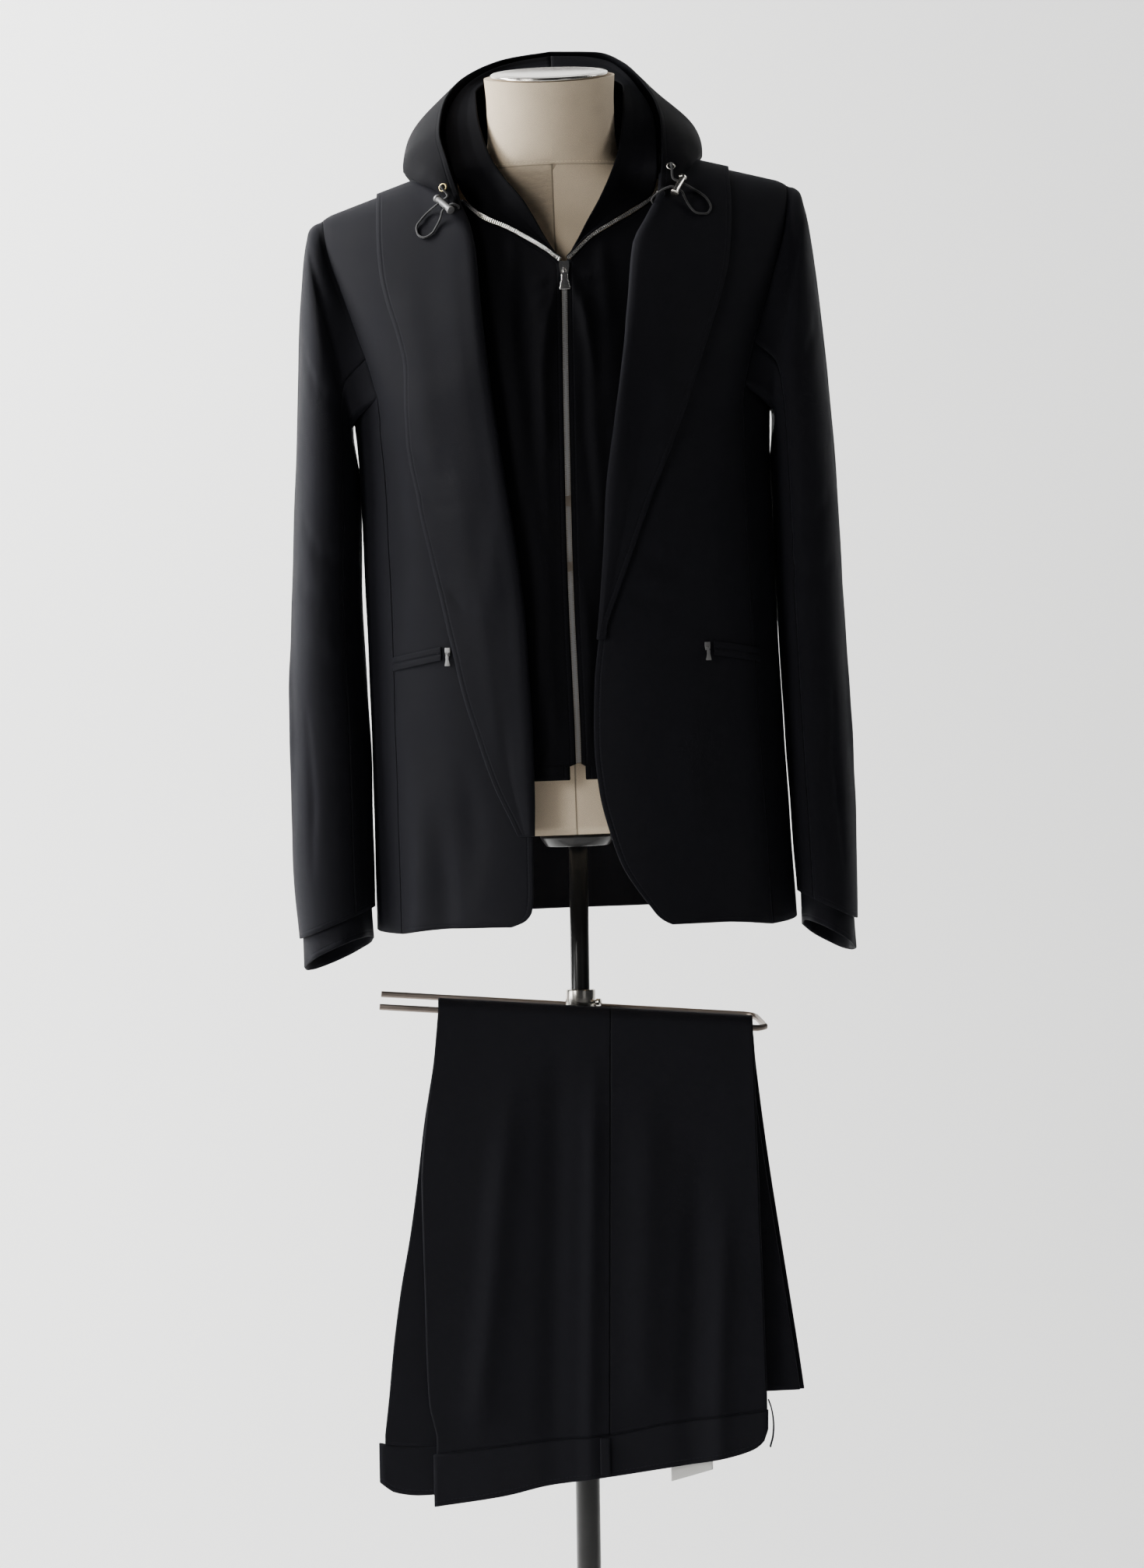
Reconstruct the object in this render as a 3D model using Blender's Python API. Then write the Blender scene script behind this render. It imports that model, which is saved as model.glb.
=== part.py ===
"""A business suit on a limbless dress form and its stand.

The jacket hangs open over a hooded zip insert, and the trousers are folded over the stand's bar.
Sizes are in millimetres and are turned into metres when a mesh is made. The front faces -Y, and
the wearer's right side is at -X. The figure (form, jacket and insert) is drawn upright and then
leans a little on its mast; the stand and the trousers are drawn where they stand.
"""

import math

import bmesh
import bpy
import numpy as np
from mathutils import Matrix, Vector

# ---------------------------------------------------------------- driving dimensions, millimetres
METRES = 0.001
SEAM_GAP = 0.3
JACKET_WALL = 1.8
SLEEVE_WALL = 1.6
INSERT_WALL = 1.6
HOOD_WALL = 1.8
TROUSER_WALL = 1.6

FIGURE_LEAN = 0.0227
FIGURE_PIVOT = 885.0

HEM_FRONT = 816.0
HEM_BACK = 825.0
UNDERARM_ROW = 1290.0
UNDERARM_DIP = 20.0
SHOULDER_NECK_X = 86.0
SHOULDER_NECK_Z = 1501.0
SHOULDER_SLOPE = 0.30
SHOULDER_TILT = 0.04
BACK_NECK_DIP = 12.0

FORM_BOTTOM = 897.0
SOCKET_RADIUS = 34.0
SOCKET_HEIGHT = 12.0
MAST_UPPER_RADIUS = 8.5
MAST_UPPER_BOTTOM = 500.0
MAST_LOWER_RADIUS = 11.0
MAST_LOWER_BORE = 8.9
MAST_LOWER_TOP = 752.0
COLLAR_RADIUS = 13.5
COLLAR_BOTTOM = 722.0
COLLAR_TOP = 755.5
SCREW_HEIGHT = 744.0
BASE_RADIUS = 155.0

RAIL_FRONT_Y = -26.0
RAIL_REAR_Y = 15.8
RAIL_HALF_HEIGHT = 2.8
RAIL_HALF_WIDTH = 2.0
RAIL_MID_Z = 731.0
RAIL_DROP = math.tan(math.radians(4.07))
RAIL_LEFT_X = -180.0
RAIL_RIGHT_X = 167.0
RAIL_REAR_RISE = 9.0
FAR_REACH = 3.1
NEAR_REACH = 8.6
NEAR_SLACK = 3.4
FAR_SEAM_GAP = 1.2
BAND_EXTRA = 0.6

INSERT_INSET = 8.0
INSERT_HALF = 110.0
INSERT_COLUMNS = (0, 0.1, 0.21, 0.34, 0.48, 0.64, 0.76, 1.0)
ZIP_TOP_Z = 1398.0
ZIP_END_Z = 958.0
ZIP_HALF = 2.4
ZIP_DEPTH = 2.2

CORD_RADIUS = 0.95
CORD_STEP = 4.0
CLEAR = 0.6
LOCK_CLEAR = 1.2
LOCK_RADIUS = 3.0
LOCK_CAP_RADIUS = 3.7
LOCK_HALF = 12.0
LOCK_LIFT = 4.4
LOCK_HOLE_AT = 5.0
LOCK_HOLE_RADIUS = 1.6
EYELET_RADIUS = 3.4
EYELET_TUBE = 0.75

ZIP_PULL_AT = (7.0, 1393.0)
POCKET_PULL_SCALE = 0.56
WELT_HALF_HEIGHT = 6.0
WELT_THICK = 1.0

# Jacket body: height, centre x, half width, front depth, back depth.
JACKET_SECTIONS = (
    (805, 5.5, 189.5, 123, 119),
    (900, 4.5, 187.0, 120, 116),
    (1000, 3.0, 185.0, 119, 107),
    (1110, 2.0, 184.0, 120, 98),
    (1200, 1.0, 184.0, 126, 106),
    (1290, 0.0, 188.0, 129, 119),
    (1340, 0.0, 199.0, 128, 124),
    (1390, 0.0, 214.0, 126, 126),
    (1440, 0.0, 226.0, 124, 126),
    (1520, 0.0, 231.0, 122, 124),
)
# Dress form: height, half width, front depth, back depth, centre y, forward tilt of the ring.
FORM_SECTIONS = (
    (897, 148, 90, 94, 0, 0.0),
    (904, 154, 95, 99, 0, 0.0),
    (960, 154, 97, 98, 0, 0.0),
    (1050, 144, 97, 86, 0, 0.0),
    (1120, 140, 98, 82, 0, 0.0),
    (1200, 149, 104, 90, 0, 0.0),
    (1290, 161, 109, 102, 0, 0.0),
    (1345, 172, 101, 106, 0, 0.0),
    (1385, 181, 82, 100, 0, 0.0),
    (1412, 184, 66, 92, 0, 0.0),
    (1434, 177, 54, 84, 0, 0.0),
    (1450, 160, 45, 75, 0, 0.0),
    (1463, 136, 40, 66, -1, 0.0),
    (1474, 110, 38, 58, -2, 0.0),
    (1483, 86, 40, 49, -3, 0.0),
    (1492, 68, 44, 45, -4, 0.0),
    (1503, 60, 47, 47, -5, 0.02),
    (1525, 57, 49, 47, -7, 0.07),
    (1550, 57, 50, 48, -9, 0.14),
    (1574, 58.5, 51, 49, -11, 0.22),
)
# Where each front ends toward the middle (the roll, then the cutaway edge): height, right, left.
ROLL_LINE = (
    (811, -100.0, 89.0),
    (816, -72.0, 80.0),
    (819, -60.0, 74.0),
    (824, -48.5, 68.0),
    (832, -43.0, 62.0),
    (849, -41.0, 50.0),
    (870, -40.5, 38.0),
    (898, -40.0, 29.0),
    (935, -38.8, 21.0),
    (976, -38.5, 18.1),
    (1030, -39.5, 20.4),
    (1084, -41.0, 27.9),
    (1150, -46.4, 34.9),
    (1195, -52.0, 38.6),
    (1258, -59.5, 48.1),
    (1309, -65.0, 56.2),
    (1359, -69.2, 63.5),
    (1415, -73.0, 71.0),
    (1437, -77.0, 83.0),
    (1462, -86.0, 95.0),
    (1504, -90.0, 98.0),
)
# Armhole edge as seen from the front and from behind: height, front x, back x.
ARMHOLE = (
    (1290, 163.0, 172.0),
    (1318, 170.0, 177.0),
    (1346, 179.0, 184.0),
    (1382, 190.5, 193.0),
    (1431, 205.0, 206.0),
    (1462, 209.0, 209.0),
)
# Free edge of each turned-back front: height, right, left.
LAPEL_EDGE = (
    (892, -49.0, 40.0),
    (909, -56.5, 40.0),
    (942, -71.0, 40.0),
    (980, -83.0, 40.0),
    (1021, -94.5, 40.0),
    (1066, -103.6, 29.5),
    (1083, -107.0, 33.5),
    (1110, -112.0, 43.9),
    (1149, -120.0, 59.0),
    (1184, -126.5, 72.5),
    (1210, -130.3, 83.1),
    (1240, -135.3, 95.0),
    (1275, -135.5, 110.0),
    (1313, -135.0, 124.0),
    (1350, -141.3, 136.0),
    (1384, -150.2, 146.0),
    (1412, -154.7, 152.0),
    (1465, -157.0, 156.0),
    (1490, -157.0, 156.0),
)
LAPEL_START = {"right": 896.0, "left": 1068.0}
# The turned-back front across its width: distance out from the roll, height over the panel.
LAPEL_PROFILE = (
    (-2.4, 0.4),
    (-2.9, 2.6),
    (-1.0, 5.2),
    (4.0, 6.2),
    (14.0, 5.0),
)
LAPEL_HEIGHT = 3.4

# Right sleeve: outer x, outer z, inner x, inner z, half depth, centre y. Left differs in inner x.
SLEEVE_RINGS = (
    (220.0, 1453, 188.8, 1266, 72, 0),
    (226.0, 1436, 189.2, 1258, 75, 1),
    (230.0, 1402, 189.2, 1246, 78, 2),
    (234.0, 1350, 188.6, 1226, 80, 4),
    (238.0, 1282, 188.0, 1198, 80, 6),
    (243.0, 1210, 187.6, 1160, 78, 8),
    (248.0, 1135, 187.6, 1110, 75, 8),
    (252.0, 1060, 187.8, 1052, 70, 5),
    (255.0, 985, 188.4, 990, 64, -2),
    (256.0, 915, 189.0, 928, 58, -10),
    (255.5, 858, 189.0, 875, 54, -17),
    (252.5, 812, 187.5, 838, 51, -22),
)
LEFT_SLEEVE_INNER = (190, 190.5, 190.5, 190.3, 190.2, 190.2, 190.5, 191.5, 193.5, 196, 198, 199)
LEFT_SLEEVE_OUTER = (221, 227, 231, 236, 241, 244.5, 246.5, 247.5, 249, 250, 249.5, 247.5)

# Folds in the jacket body: angle round the body in degrees, low end, high end, drift in degrees,
# half width in degrees, height. Troughs are negative.
JACKET_FOLDS = (
    (-58.0, 800, 960, 3.0, 4.0, 3.2),
    (-49.0, 800, 930, -2.0, 4.0, -2.6),
    (60.0, 800, 950, -3.0, 4.5, 2.8),
    (150.0, 800, 1010, -6.0, 7.0, 2.6),
    (-144.0, 800, 980, 5.0, 6.0, 2.8),
    (168.0, 1060, 1240, 8.0, 8.0, -1.8),
    (-160.0, 1040, 1220, -7.0, 8.0, -2.0),
)
# Folds in the insert: x at the top, x at the bottom, low end, high end, half width, height.
INSERT_FOLDS = (
    (-14.0, -30.0, 1000, 1390, 9.0, 3.0),
    (-34.0, -26.0, 1060, 1400, 8.0, -2.4),
    (24.0, 34.0, 1120, 1380, 8.0, 2.4),
    (40.0, 20.0, 960, 1200, 8.0, -1.8),
)

# Opened zip: x, height, from the slider out to each end.
ZIP_V_RIGHT = ((2.5, 1404), (-10, 1415), (-25.5, 1425.4), (-44.3, 1437), (-63, 1446), (-80, 1462))
ZIP_V_LEFT = ((12.0, 1405), (33, 1425.3), (52.5, 1437), (72, 1448), (85.5, 1457), (91.5, 1463))
# Rim of the hood lying back: x, y, z from the zip's end up to the centre seam.
RIM_RIGHT = (
    (-84, -73, 1464),
    (-93, -54, 1496),
    (-100, -33, 1526),
    (-97, -10, 1550),
    (-86, 20, 1573),
    (-68, 48, 1589),
    (-38, 70, 1602),
    (2, 78, 1608),
)
RIM_LEFT = (
    (95, -73, 1465),
    (98, -52, 1497),
    (99, -26, 1527),
    (96, 0, 1548),
    (86, 28, 1570),
    (69, 54, 1592),
    (45, 72, 1605),
    (2, 78, 1608),
)
# Lower edge of the hood's outer side, from the zip's end round to the centre of the back.
BASE_RIGHT = (
    (-88, -77, 1455),
    (-104, -59, 1471),
    (-119, -42, 1480),
    (-134, -4, 1494),
    (-134, 44, 1497),
    (-108, 98, 1472),
    (-60, 132, 1445),
    (2, 144, 1434),
)
BASE_LEFT = (
    (99, -76, 1456),
    (113, -56, 1474),
    (124, -42, 1486),
    (134, -4, 1500),
    (136, 44, 1503),
    (110, 98, 1478),
    (62, 132, 1449),
    (2, 144, 1434),
)
# Bulge of the hood between rim and lower edge: outward, backward, upward.
HOOD_BULGE = (
    (1, 0, 1),
    (3, 0, 2),
    (6, 0, 3),
    (9, 8, 4),
    (12, 22, 8),
    (16, 36, 12),
    (12, 46, 16),
    (0, 50, 18),
)
# Where the hood's inner side reaches the neck: x, y, z from the slider round to the back.
NECK_RIGHT = (
    (4, -86, 1400),
    (-13, -72, 1432),
    (-27, -67, 1458),
    (-46, -55, 1484),
    (-58, -40, 1509),
    (-66, -12, 1545),
    (-67, 18, 1566),
    (-52, 44, 1580),
    (-26, 56, 1588),
    (2, 60, 1591),
)
NECK_LEFT = (
    (11, -86, 1402),
    (27, -72, 1434),
    (42, -64, 1460),
    (53, -52, 1484),
    (61, -38, 1509),
    (66, -12, 1545),
    (67, 18, 1566),
    (52, 44, 1580),
    (28, 56, 1588),
    (2, 60, 1591),
)

# Drawcords: eyelet, lock's upper and lower ends, and the end sewn in by the zip, as x, z.
CORD_PLACES = {
    "right": ((-97.0, 1472.6), (-104.1, 1463.6), (-87.2, 1446.5), (-84.0, 1452.6)),
    "left": ((104.5, 1484.3), (115.4, 1474.2), (103.6, 1453.9), (88.0, 1451.0)),
}
# Each drawcord's free loop, from the lock's upper hole round to its lower one: x, z, lift.
CORD_LOOP = {
    "right": (
        (-110.6, 1450.0, 2.4),
        (-117.0, 1444.0, 1.7),
        (-121.6, 1437.1, 1.7),
        (-120.5, 1430.8, 1.7),
        (-115.1, 1427.2, 1.7),
        (-108.1, 1430.4, 1.7),
        (-103.4, 1437.1, 1.9),
        (-99.6, 1443.1, 3.0),
    ),
    "left": (
        (125.4, 1461.4, 2.4),
        (135.3, 1453.6, 1.7),
        (138.3, 1445.7, 1.7),
        (133.4, 1439.6, 1.7),
        (126.0, 1440.4, 1.7),
        (119.6, 1446.4, 1.9),
        (115.4, 1452.4, 3.0),
    ),
}
# Pocket lines on the fronts: x and z of the inner end, then of the outer end.
POCKET_LINE = {"right": (-113.5, 1060.6, -157.0, 1053.2), "left": (125.5, 1057.0, 166.0, 1050.0)}
POCKET_PULL_AT = {"right": (-107.6, 1060.8), "left": (119.8, 1057.4)}
# Zip pull from its barrel down: distance along, half width, half thickness.
PULL_ROWS = (
    (1.0, 1.2, 0.4),
    (0.6, 1.2, 0.85),
    (-0.6, 1.2, 0.85),
    (-1.1, 1.2, 0.5),
    (-3.6, 1.2, 0.5),
    (-4.8, 3.0, 0.5),
    (-10.0, 2.6, 0.5),
    (-18.0, 4.5, 0.5),
    (-20.0, 4.5, 0.5),
)

# Trousers, heights and edges: height, near left edge, near right edge, far left edge.
TROUSER_FRONT = (
    (360, -134.0, 161.0, -180.5),
    (393, -140.5, 161.0, -176.5),
    (440, -142.0, 160.0, -171.5),
    (489, -142.6, 159.0, -164.5),
    (540, -143.5, 157.5, -155.0),
    (587, -144.0, 156.5, -148.0),
    (640, -139.5, 155.0, -141.0),
    (700, -131.0, 154.0, -131.0),
    (745, -126.5, 153.0, -126.5),
)
# Back drop: height, left edge, right edge.
TROUSER_REAR = (
    (390, -22.0, 196.0),
    (428, -32.0, 191.0),
    (470, -44.0, 185.0),
    (532, -66.0, 176.0),
    (595, -88.0, 167.0),
    (660, -108.0, 159.0),
    (700, -118.0, 155.0),
    (745, -126.5, 153.0),
)
# Waistband: x, its sewn edge, its free edge.
WAIST_NEAR = (
    (-137, 343, 297),
    (-73, 350, 306),
    (-38, 354, 314),
    (24, 359, 322),
    (73, 368, 329),
    (115, 373, 335),
    (141, 376, 341),
    (158, 378, 351),
    (162, 379, 362),
)
WAIST_FAR = (
    (-186, 352, 318),
    (-173, 350, 309),
    (-152, 349, 306),
    (-100, 352, 310),
    (150, 376, 344),
)
TROUSER_SEAM_FRONT = ((745, 27.0), (330, 20.0))
REAR_SEAM = ((745, 27.0), (390, 96.0))
TROUSER_HEM_LEFT = 388.0
TROUSER_HEM_RIGHT = 395.0
# Folds in the trousers' front drop: x at the top, x at the bottom, low, high, half width, height.
TROUSER_FOLDS = (
    (-60.0, -95.0, 380, 700, 13.0, 4.0),
    (-20.0, -30.0, 360, 735, 12.0, -3.0),
    (12.0, 2.0, 350, 720, 8.0, 3.5),
    (60.0, 52.0, 400, 700, 16.0, 3.0),
    (105.0, 92.0, 370, 640, 12.0, -3.2),
    (128.0, 118.0, 365, 600, 9.0, 3.0),
)

SIDE = {"right": -1.0, "left": 1.0}
BODY_POWER = 2.4
RIDGE_FRONT = 1.8
RIDGE_BACK = 2.2

# Row places: parts of the way up, hem to underarm, then quarter-turn parts up to the shoulder.
LOWER_ROWS = (0.0, 0.012, 0.03, 0.055, 0.09, 0.14, 0.21, 0.3, 0.4, 0.5, 0.61, 0.72, 0.86, 1.0)
UPPER_ROWS = (0.14, 0.28, 0.43, 0.58, 0.73, 0.87, 0.9975)


# ---------------------------------------------------------------- small mathematics
def smooth(table, column, at):
    """A column of a table as a smooth curve of its first column, with no overshoot."""
    xs = np.array([row[0] for row in table], float)
    ys = np.array([row[column] for row in table], float)
    if xs[0] > xs[-1]:
        xs, ys = xs[::-1], ys[::-1]
    step = np.diff(xs)
    rise = np.diff(ys) / step
    slope = np.zeros(len(xs))
    same = rise[:-1] * rise[1:] > 0
    weight_a = 2 * step[1:] + step[:-1]
    weight_b = step[1:] + 2 * step[:-1]
    before = np.where(same, rise[:-1], 1.0)
    after = np.where(same, rise[1:], 1.0)
    mean = (weight_a + weight_b) / (weight_a / before + weight_b / after)
    slope[1:-1] = np.where(same, mean, 0.0)
    slope[0], slope[-1] = rise[0], rise[-1]
    at = np.clip(np.asarray(at, float), xs[0], xs[-1])
    index = np.clip(np.searchsorted(xs, at) - 1, 0, len(xs) - 2)
    t = (at - xs[index]) / step[index]
    h = step[index]
    low, high = ys[index], ys[index + 1]
    return (
        low * (1 + 2 * t) * (1 - t) ** 2
        + h * slope[index] * t * (1 - t) ** 2
        + high * t * t * (3 - 2 * t)
        + h * slope[index + 1] * t * t * (t - 1)
    )


def along(points, count=None, at=None):
    """Points spaced evenly by length on a smooth curve through the given ones."""
    points = np.array(points, float)
    run = np.concatenate([[0.0], np.cumsum(np.linalg.norm(np.diff(points, axis=0), axis=1))])
    run = run / run[-1]
    at = np.linspace(0, 1, count) if at is None else np.asarray(at, float)
    table = np.column_stack([run, points])
    return np.column_stack([smooth(table, axis + 1, at) for axis in range(points.shape[1])])


def hump(distance, half_width):
    """A soft ridge: 1 in the middle, 0 beyond about two half widths."""
    return np.exp(-((distance / half_width) ** 2))


def ramp(value, low, high):
    """0 below low, 1 above high and a soft step between."""
    t = np.clip((value - low) / (high - low), 0, 1)
    return t * t * (3 - 2 * t)


# ---------------------------------------------------------------- the jacket's body surface
def shoulder_top(x):
    """Height of the shoulder line over a place across the body."""
    beyond = np.maximum(np.abs(x) - SHOULDER_NECK_X, 0)
    drop = SHOULDER_SLOPE * beyond + 0.02 * np.maximum(np.abs(x) - 198, 0) ** 2
    return SHOULDER_NECK_Z - drop + SHOULDER_TILT * x


def body_depth(x, z, back, inset=0.0):
    """Distance in y of the jacket's outer face from the middle, at a place seen from the front."""
    half = smooth(JACKET_SECTIONS, 2, z) - inset
    centre = smooth(JACKET_SECTIONS, 1, z)
    deep = smooth(JACKET_SECTIONS, 4 if back else 3, z) - inset
    across = np.clip(np.abs(x - centre) / half, 0, 1)
    section = (1 - across**BODY_POWER) ** (1 / BODY_POWER)
    power = RIDGE_BACK if back else RIDGE_FRONT
    top = shoulder_top(x) - inset
    up = np.clip((z - UNDERARM_ROW) / (top - UNDERARM_ROW), 0, 1)
    ridge = (1 - up**power) ** (1 / power)
    return (1.0 if back else -1.0) * deep * section * ridge


def body_points(x, z, back, inset=0.0):
    """Points of the body surface for arrays of places across and up."""
    y = body_depth(x, z, back, inset)
    points = np.stack([x + 0 * y, y, z + 0 * y], axis=-1)
    angle = np.degrees(np.arctan2(x, -y))
    out = np.zeros_like(y)
    for at, low, high, drift, half_width, height in JACKET_FOLDS:
        middle = at + drift * (z - low) / (high - low)
        apart = (angle - middle + 180) % 360 - 180
        fade = 1 - ramp(z, low + 0.35 * (high - low), high)
        out += height * fade * hump(apart, half_width)
    points[..., 0] += out * np.sin(np.radians(angle))
    points[..., 1] -= out * np.cos(np.radians(angle))
    return points


def body_normals(x, z, back, inset=0.0):
    """Unit normals of the body surface, pointing away from the body."""
    step = 0.5
    toward = np.where(np.abs(x) > 1e-6, -np.sign(x), -1.0) * step
    here = body_points(x, z, back, inset)
    side = body_points(x + toward, z, back, inset) - here
    down = body_points(x, z - step, back, inset) - here
    normal = np.cross(side, down)
    normal /= np.linalg.norm(normal, axis=-1, keepdims=True)
    outward = here.copy()
    outward[..., 2] = np.maximum(here[..., 2] - 1400, 0)
    flip = np.sign(np.sum(normal * outward, axis=-1, keepdims=True))
    return normal * flip


def grid_normals(points, wrap=False):
    """Unit normals of a grid of points, by differences along its rows and columns."""
    down = np.gradient(points, axis=0)
    if wrap:
        across = np.roll(points, -1, axis=1) - np.roll(points, 1, axis=1)
    else:
        across = np.gradient(points, axis=1)
    normal = np.cross(across, down)
    return normal / np.maximum(np.linalg.norm(normal, axis=-1, keepdims=True), 1e-9)


# ---------------------------------------------------------------- making objects
def material(name, colour, roughness, metallic=0.0):
    """A plain Principled finish."""
    made = bpy.data.materials.new(name)
    made.use_nodes = True
    shader = made.node_tree.nodes["Principled BSDF"]
    shader.inputs["Base Color"].default_value = (*colour, 1.0)
    shader.inputs["Roughness"].default_value = roughness
    shader.inputs["Metallic"].default_value = metallic
    return made


FINISHES = {
    "suiting": ((0.012, 0.012, 0.018), 0.75, 0.0),
    "insert": ((0.010, 0.010, 0.014), 0.7, 0.0),
    "linen": ((0.42, 0.36, 0.29), 0.9, 0.0),
    "nickel": ((0.62, 0.60, 0.56), 0.25, 1.0),
    "gunmetal": ((0.10, 0.10, 0.11), 0.3, 1.0),
    "black_enamel": ((0.01, 0.01, 0.01), 0.2, 0.0),
    "brass": ((0.60, 0.48, 0.22), 0.3, 1.0),
    "elastic": ((0.015, 0.015, 0.015), 0.8, 0.0),
    "label": ((0.75, 0.75, 0.72), 0.8, 0.0),
}


def finish(name):
    """The shared material of that name, made when first asked for."""
    return bpy.data.materials.get(name) or material(name, *FINISHES[name])


def lean(points):
    """The figure's points, leaning on its mast."""
    points = np.asarray(points, float)
    turned = points.copy()
    up = points[..., 2] - FIGURE_PIVOT
    turned[..., 0] = points[..., 0] * math.cos(FIGURE_LEAN) - up * math.sin(FIGURE_LEAN)
    turned[..., 2] = (
        FIGURE_PIVOT + points[..., 0] * math.sin(FIGURE_LEAN) + up * math.cos(FIGURE_LEAN)
    )
    return turned


def add_object(name, points, faces, finish_name, leaning, smooth_angle=40, pivot=(0, 0, 0)):
    """One closed mesh object, with its faces turned outward and its origin at the pivot."""
    points = np.asarray(points, float)
    pivot = np.asarray(pivot, float)
    if leaning:
        points = lean(points)
        pivot = lean(pivot) if pivot.any() else pivot
    mesh = bpy.data.meshes.new(name)
    mesh.from_pydata(((points - pivot) * METRES).tolist(), [], faces)
    work = bmesh.new()
    work.from_mesh(mesh)
    bmesh.ops.recalc_face_normals(work, faces=work.faces)
    if work.calc_volume(signed=True) < 0:
        bmesh.ops.reverse_faces(work, faces=work.faces)
    work.to_mesh(mesh)
    work.free()
    mesh.shade_smooth()
    mesh.set_sharp_from_angle(angle=math.radians(smooth_angle))
    made = bpy.data.objects.new(name, mesh)
    made.location = pivot * METRES
    bpy.context.scene.collection.objects.link(made)
    made.data.materials.append(finish(finish_name))
    return made


def wall(name, outer, inner, finish_name, wrap=False, leaning=True):
    """A cloth wall between two matching grids, closed round its edges."""
    rows, columns = outer.shape[:2]
    count = rows * columns
    points = np.concatenate([outer.reshape(-1, 3), inner.reshape(-1, 3)])
    last = columns if wrap else columns - 1
    faces = []
    for i in range(rows - 1):
        for j in range(last):
            k = (j + 1) % columns
            quad = (i * columns + j, i * columns + k, (i + 1) * columns + k, (i + 1) * columns + j)
            faces.append(quad)
            faces.append(tuple(count + q for q in reversed(quad)))
    for i in (0, rows - 1):
        for j in range(last):
            a, b = i * columns + j, i * columns + (j + 1) % columns
            faces.append((a, b, count + b, count + a))
    if not wrap:
        for j in (0, columns - 1):
            for i in range(rows - 1):
                a, b = i * columns + j, (i + 1) * columns + j
                faces.append((a, b, count + b, count + a))
    return add_object(name, points, faces, finish_name, leaning)


def turned(name, profile, sides, finish_name, place=None, leaning=False):
    """A turned solid from (radius, height) pairs; a radius of 0 closes an end in one point."""
    points = []
    rings = []
    for radius, height in profile:
        if radius < 1e-6:
            rings.append([len(points)])
            points.append((0.0, 0.0, height))
            continue
        rings.append(list(range(len(points), len(points) + sides)))
        for k in range(sides):
            angle = 2 * math.pi * k / sides
            points.append((radius * math.cos(angle), radius * math.sin(angle), height))
    faces = []
    pairs = list(zip(rings, rings[1:]))
    if len(rings[0]) > 1 and len(rings[-1]) > 1:
        pairs.append((rings[-1], rings[0]))
    for low, high in pairs:
        for k in range(sides):
            n = (k + 1) % sides
            if len(low) == 1:
                faces.append((low[0], high[n], high[k]))
            elif len(high) == 1:
                faces.append((low[k], low[n], high[0]))
            else:
                faces.append((low[k], low[n], high[n], high[k]))
    points = np.array(points)
    if place is not None:
        points = np.array([place @ Vector(point) for point in points])
    return add_object(name, points, faces, finish_name, leaning)


def swept(name, path, section, finish_name, up, leaning=True):
    """A solid with one cross-section carried along a path; section pairs are (across, up)."""
    path = np.asarray(path, float)
    ahead = np.gradient(path, axis=0)
    ahead /= np.linalg.norm(ahead, axis=1, keepdims=True)
    up = np.broadcast_to(np.asarray(up, float), path.shape)
    across = np.cross(ahead, up)
    across /= np.linalg.norm(across, axis=1, keepdims=True)
    over = np.cross(across, ahead)
    sides = len(section)
    points = []
    for place, a, o in zip(path, across, over):
        points.extend(place + a * u + o * v for u, v in section)
    faces = [tuple(range(sides)), tuple(range((len(path) - 1) * sides, len(path) * sides))]
    for i in range(len(path) - 1):
        for k in range(sides):
            n = (k + 1) % sides
            faces.append((i * sides + k, i * sides + n, (i + 1) * sides + n, (i + 1) * sides + k))
    return add_object(name, points, faces, finish_name, leaning, smooth_angle=50)


def frame_at(origin, normal, along_axis):
    """A placing matrix: local Z is the normal, local X lies near along_axis."""
    z = Vector(normal).normalized()
    x = Vector(along_axis)
    x = (x - z * x.dot(z)).normalized()
    y = z.cross(x)
    turn = Matrix((x, y, z)).transposed().to_4x4()
    return Matrix.Translation(Vector(origin)) @ turn


# ---------------------------------------------------------------- jacket body
def hem_height(x, back):
    """Height of the hem: level in front, a little higher behind."""
    if back:
        return HEM_BACK - 6 * ramp(np.abs(x), 60, 180)
    return HEM_FRONT + 3 * ramp(-x, -60, 90) - 5 * ramp(np.abs(x - 5), 120, 180)


def seam_front_x(z, sign):
    """Where the front panel meets the side body, seen from the front."""
    centre = smooth(JACKET_SECTIONS, 1, z)
    half = smooth(JACKET_SECTIONS, 2, z)
    return centre + sign * 0.866 * half


def seam_back_x(z, sign):
    """Where the back panel meets the side body, seen from behind."""
    centre = smooth(JACKET_SECTIONS, 1, z)
    half = smooth(JACKET_SECTIONS, 2, z)
    return centre + sign * 0.914 * half


def panel_rows(back):
    """(part up the lower body or None, part up the shoulder) for each row of a panel."""
    return [(low, None) for low in LOWER_ROWS] + [(1.0, up) for up in UPPER_ROWS]


def row_height(x, low, up, back):
    """Height of a row at a place across: level rows below the underarm, then up to the shoulder."""
    if up is None:
        bottom = hem_height(x, back)
        return bottom + (UNDERARM_ROW - bottom) * low
    power = RIDGE_BACK if back else RIDGE_FRONT
    part = np.sin(up * math.pi / 2) ** (2 / power)
    return UNDERARM_ROW + (shoulder_top(x) - UNDERARM_ROW) * part


def outer_edge(low, up, sign, back):
    """x of a panel's outer edge on a row: the side seam, then the armhole."""
    x = sign * 190.0
    for _ in range(4):
        z = row_height(np.array(x), low, up, back)
        if up is None:
            x = seam_back_x(z, sign) if back else seam_front_x(z, sign)
        else:
            x = sign * smooth(ARMHOLE, 2 if back else 1, z)
    return float(x)


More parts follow.
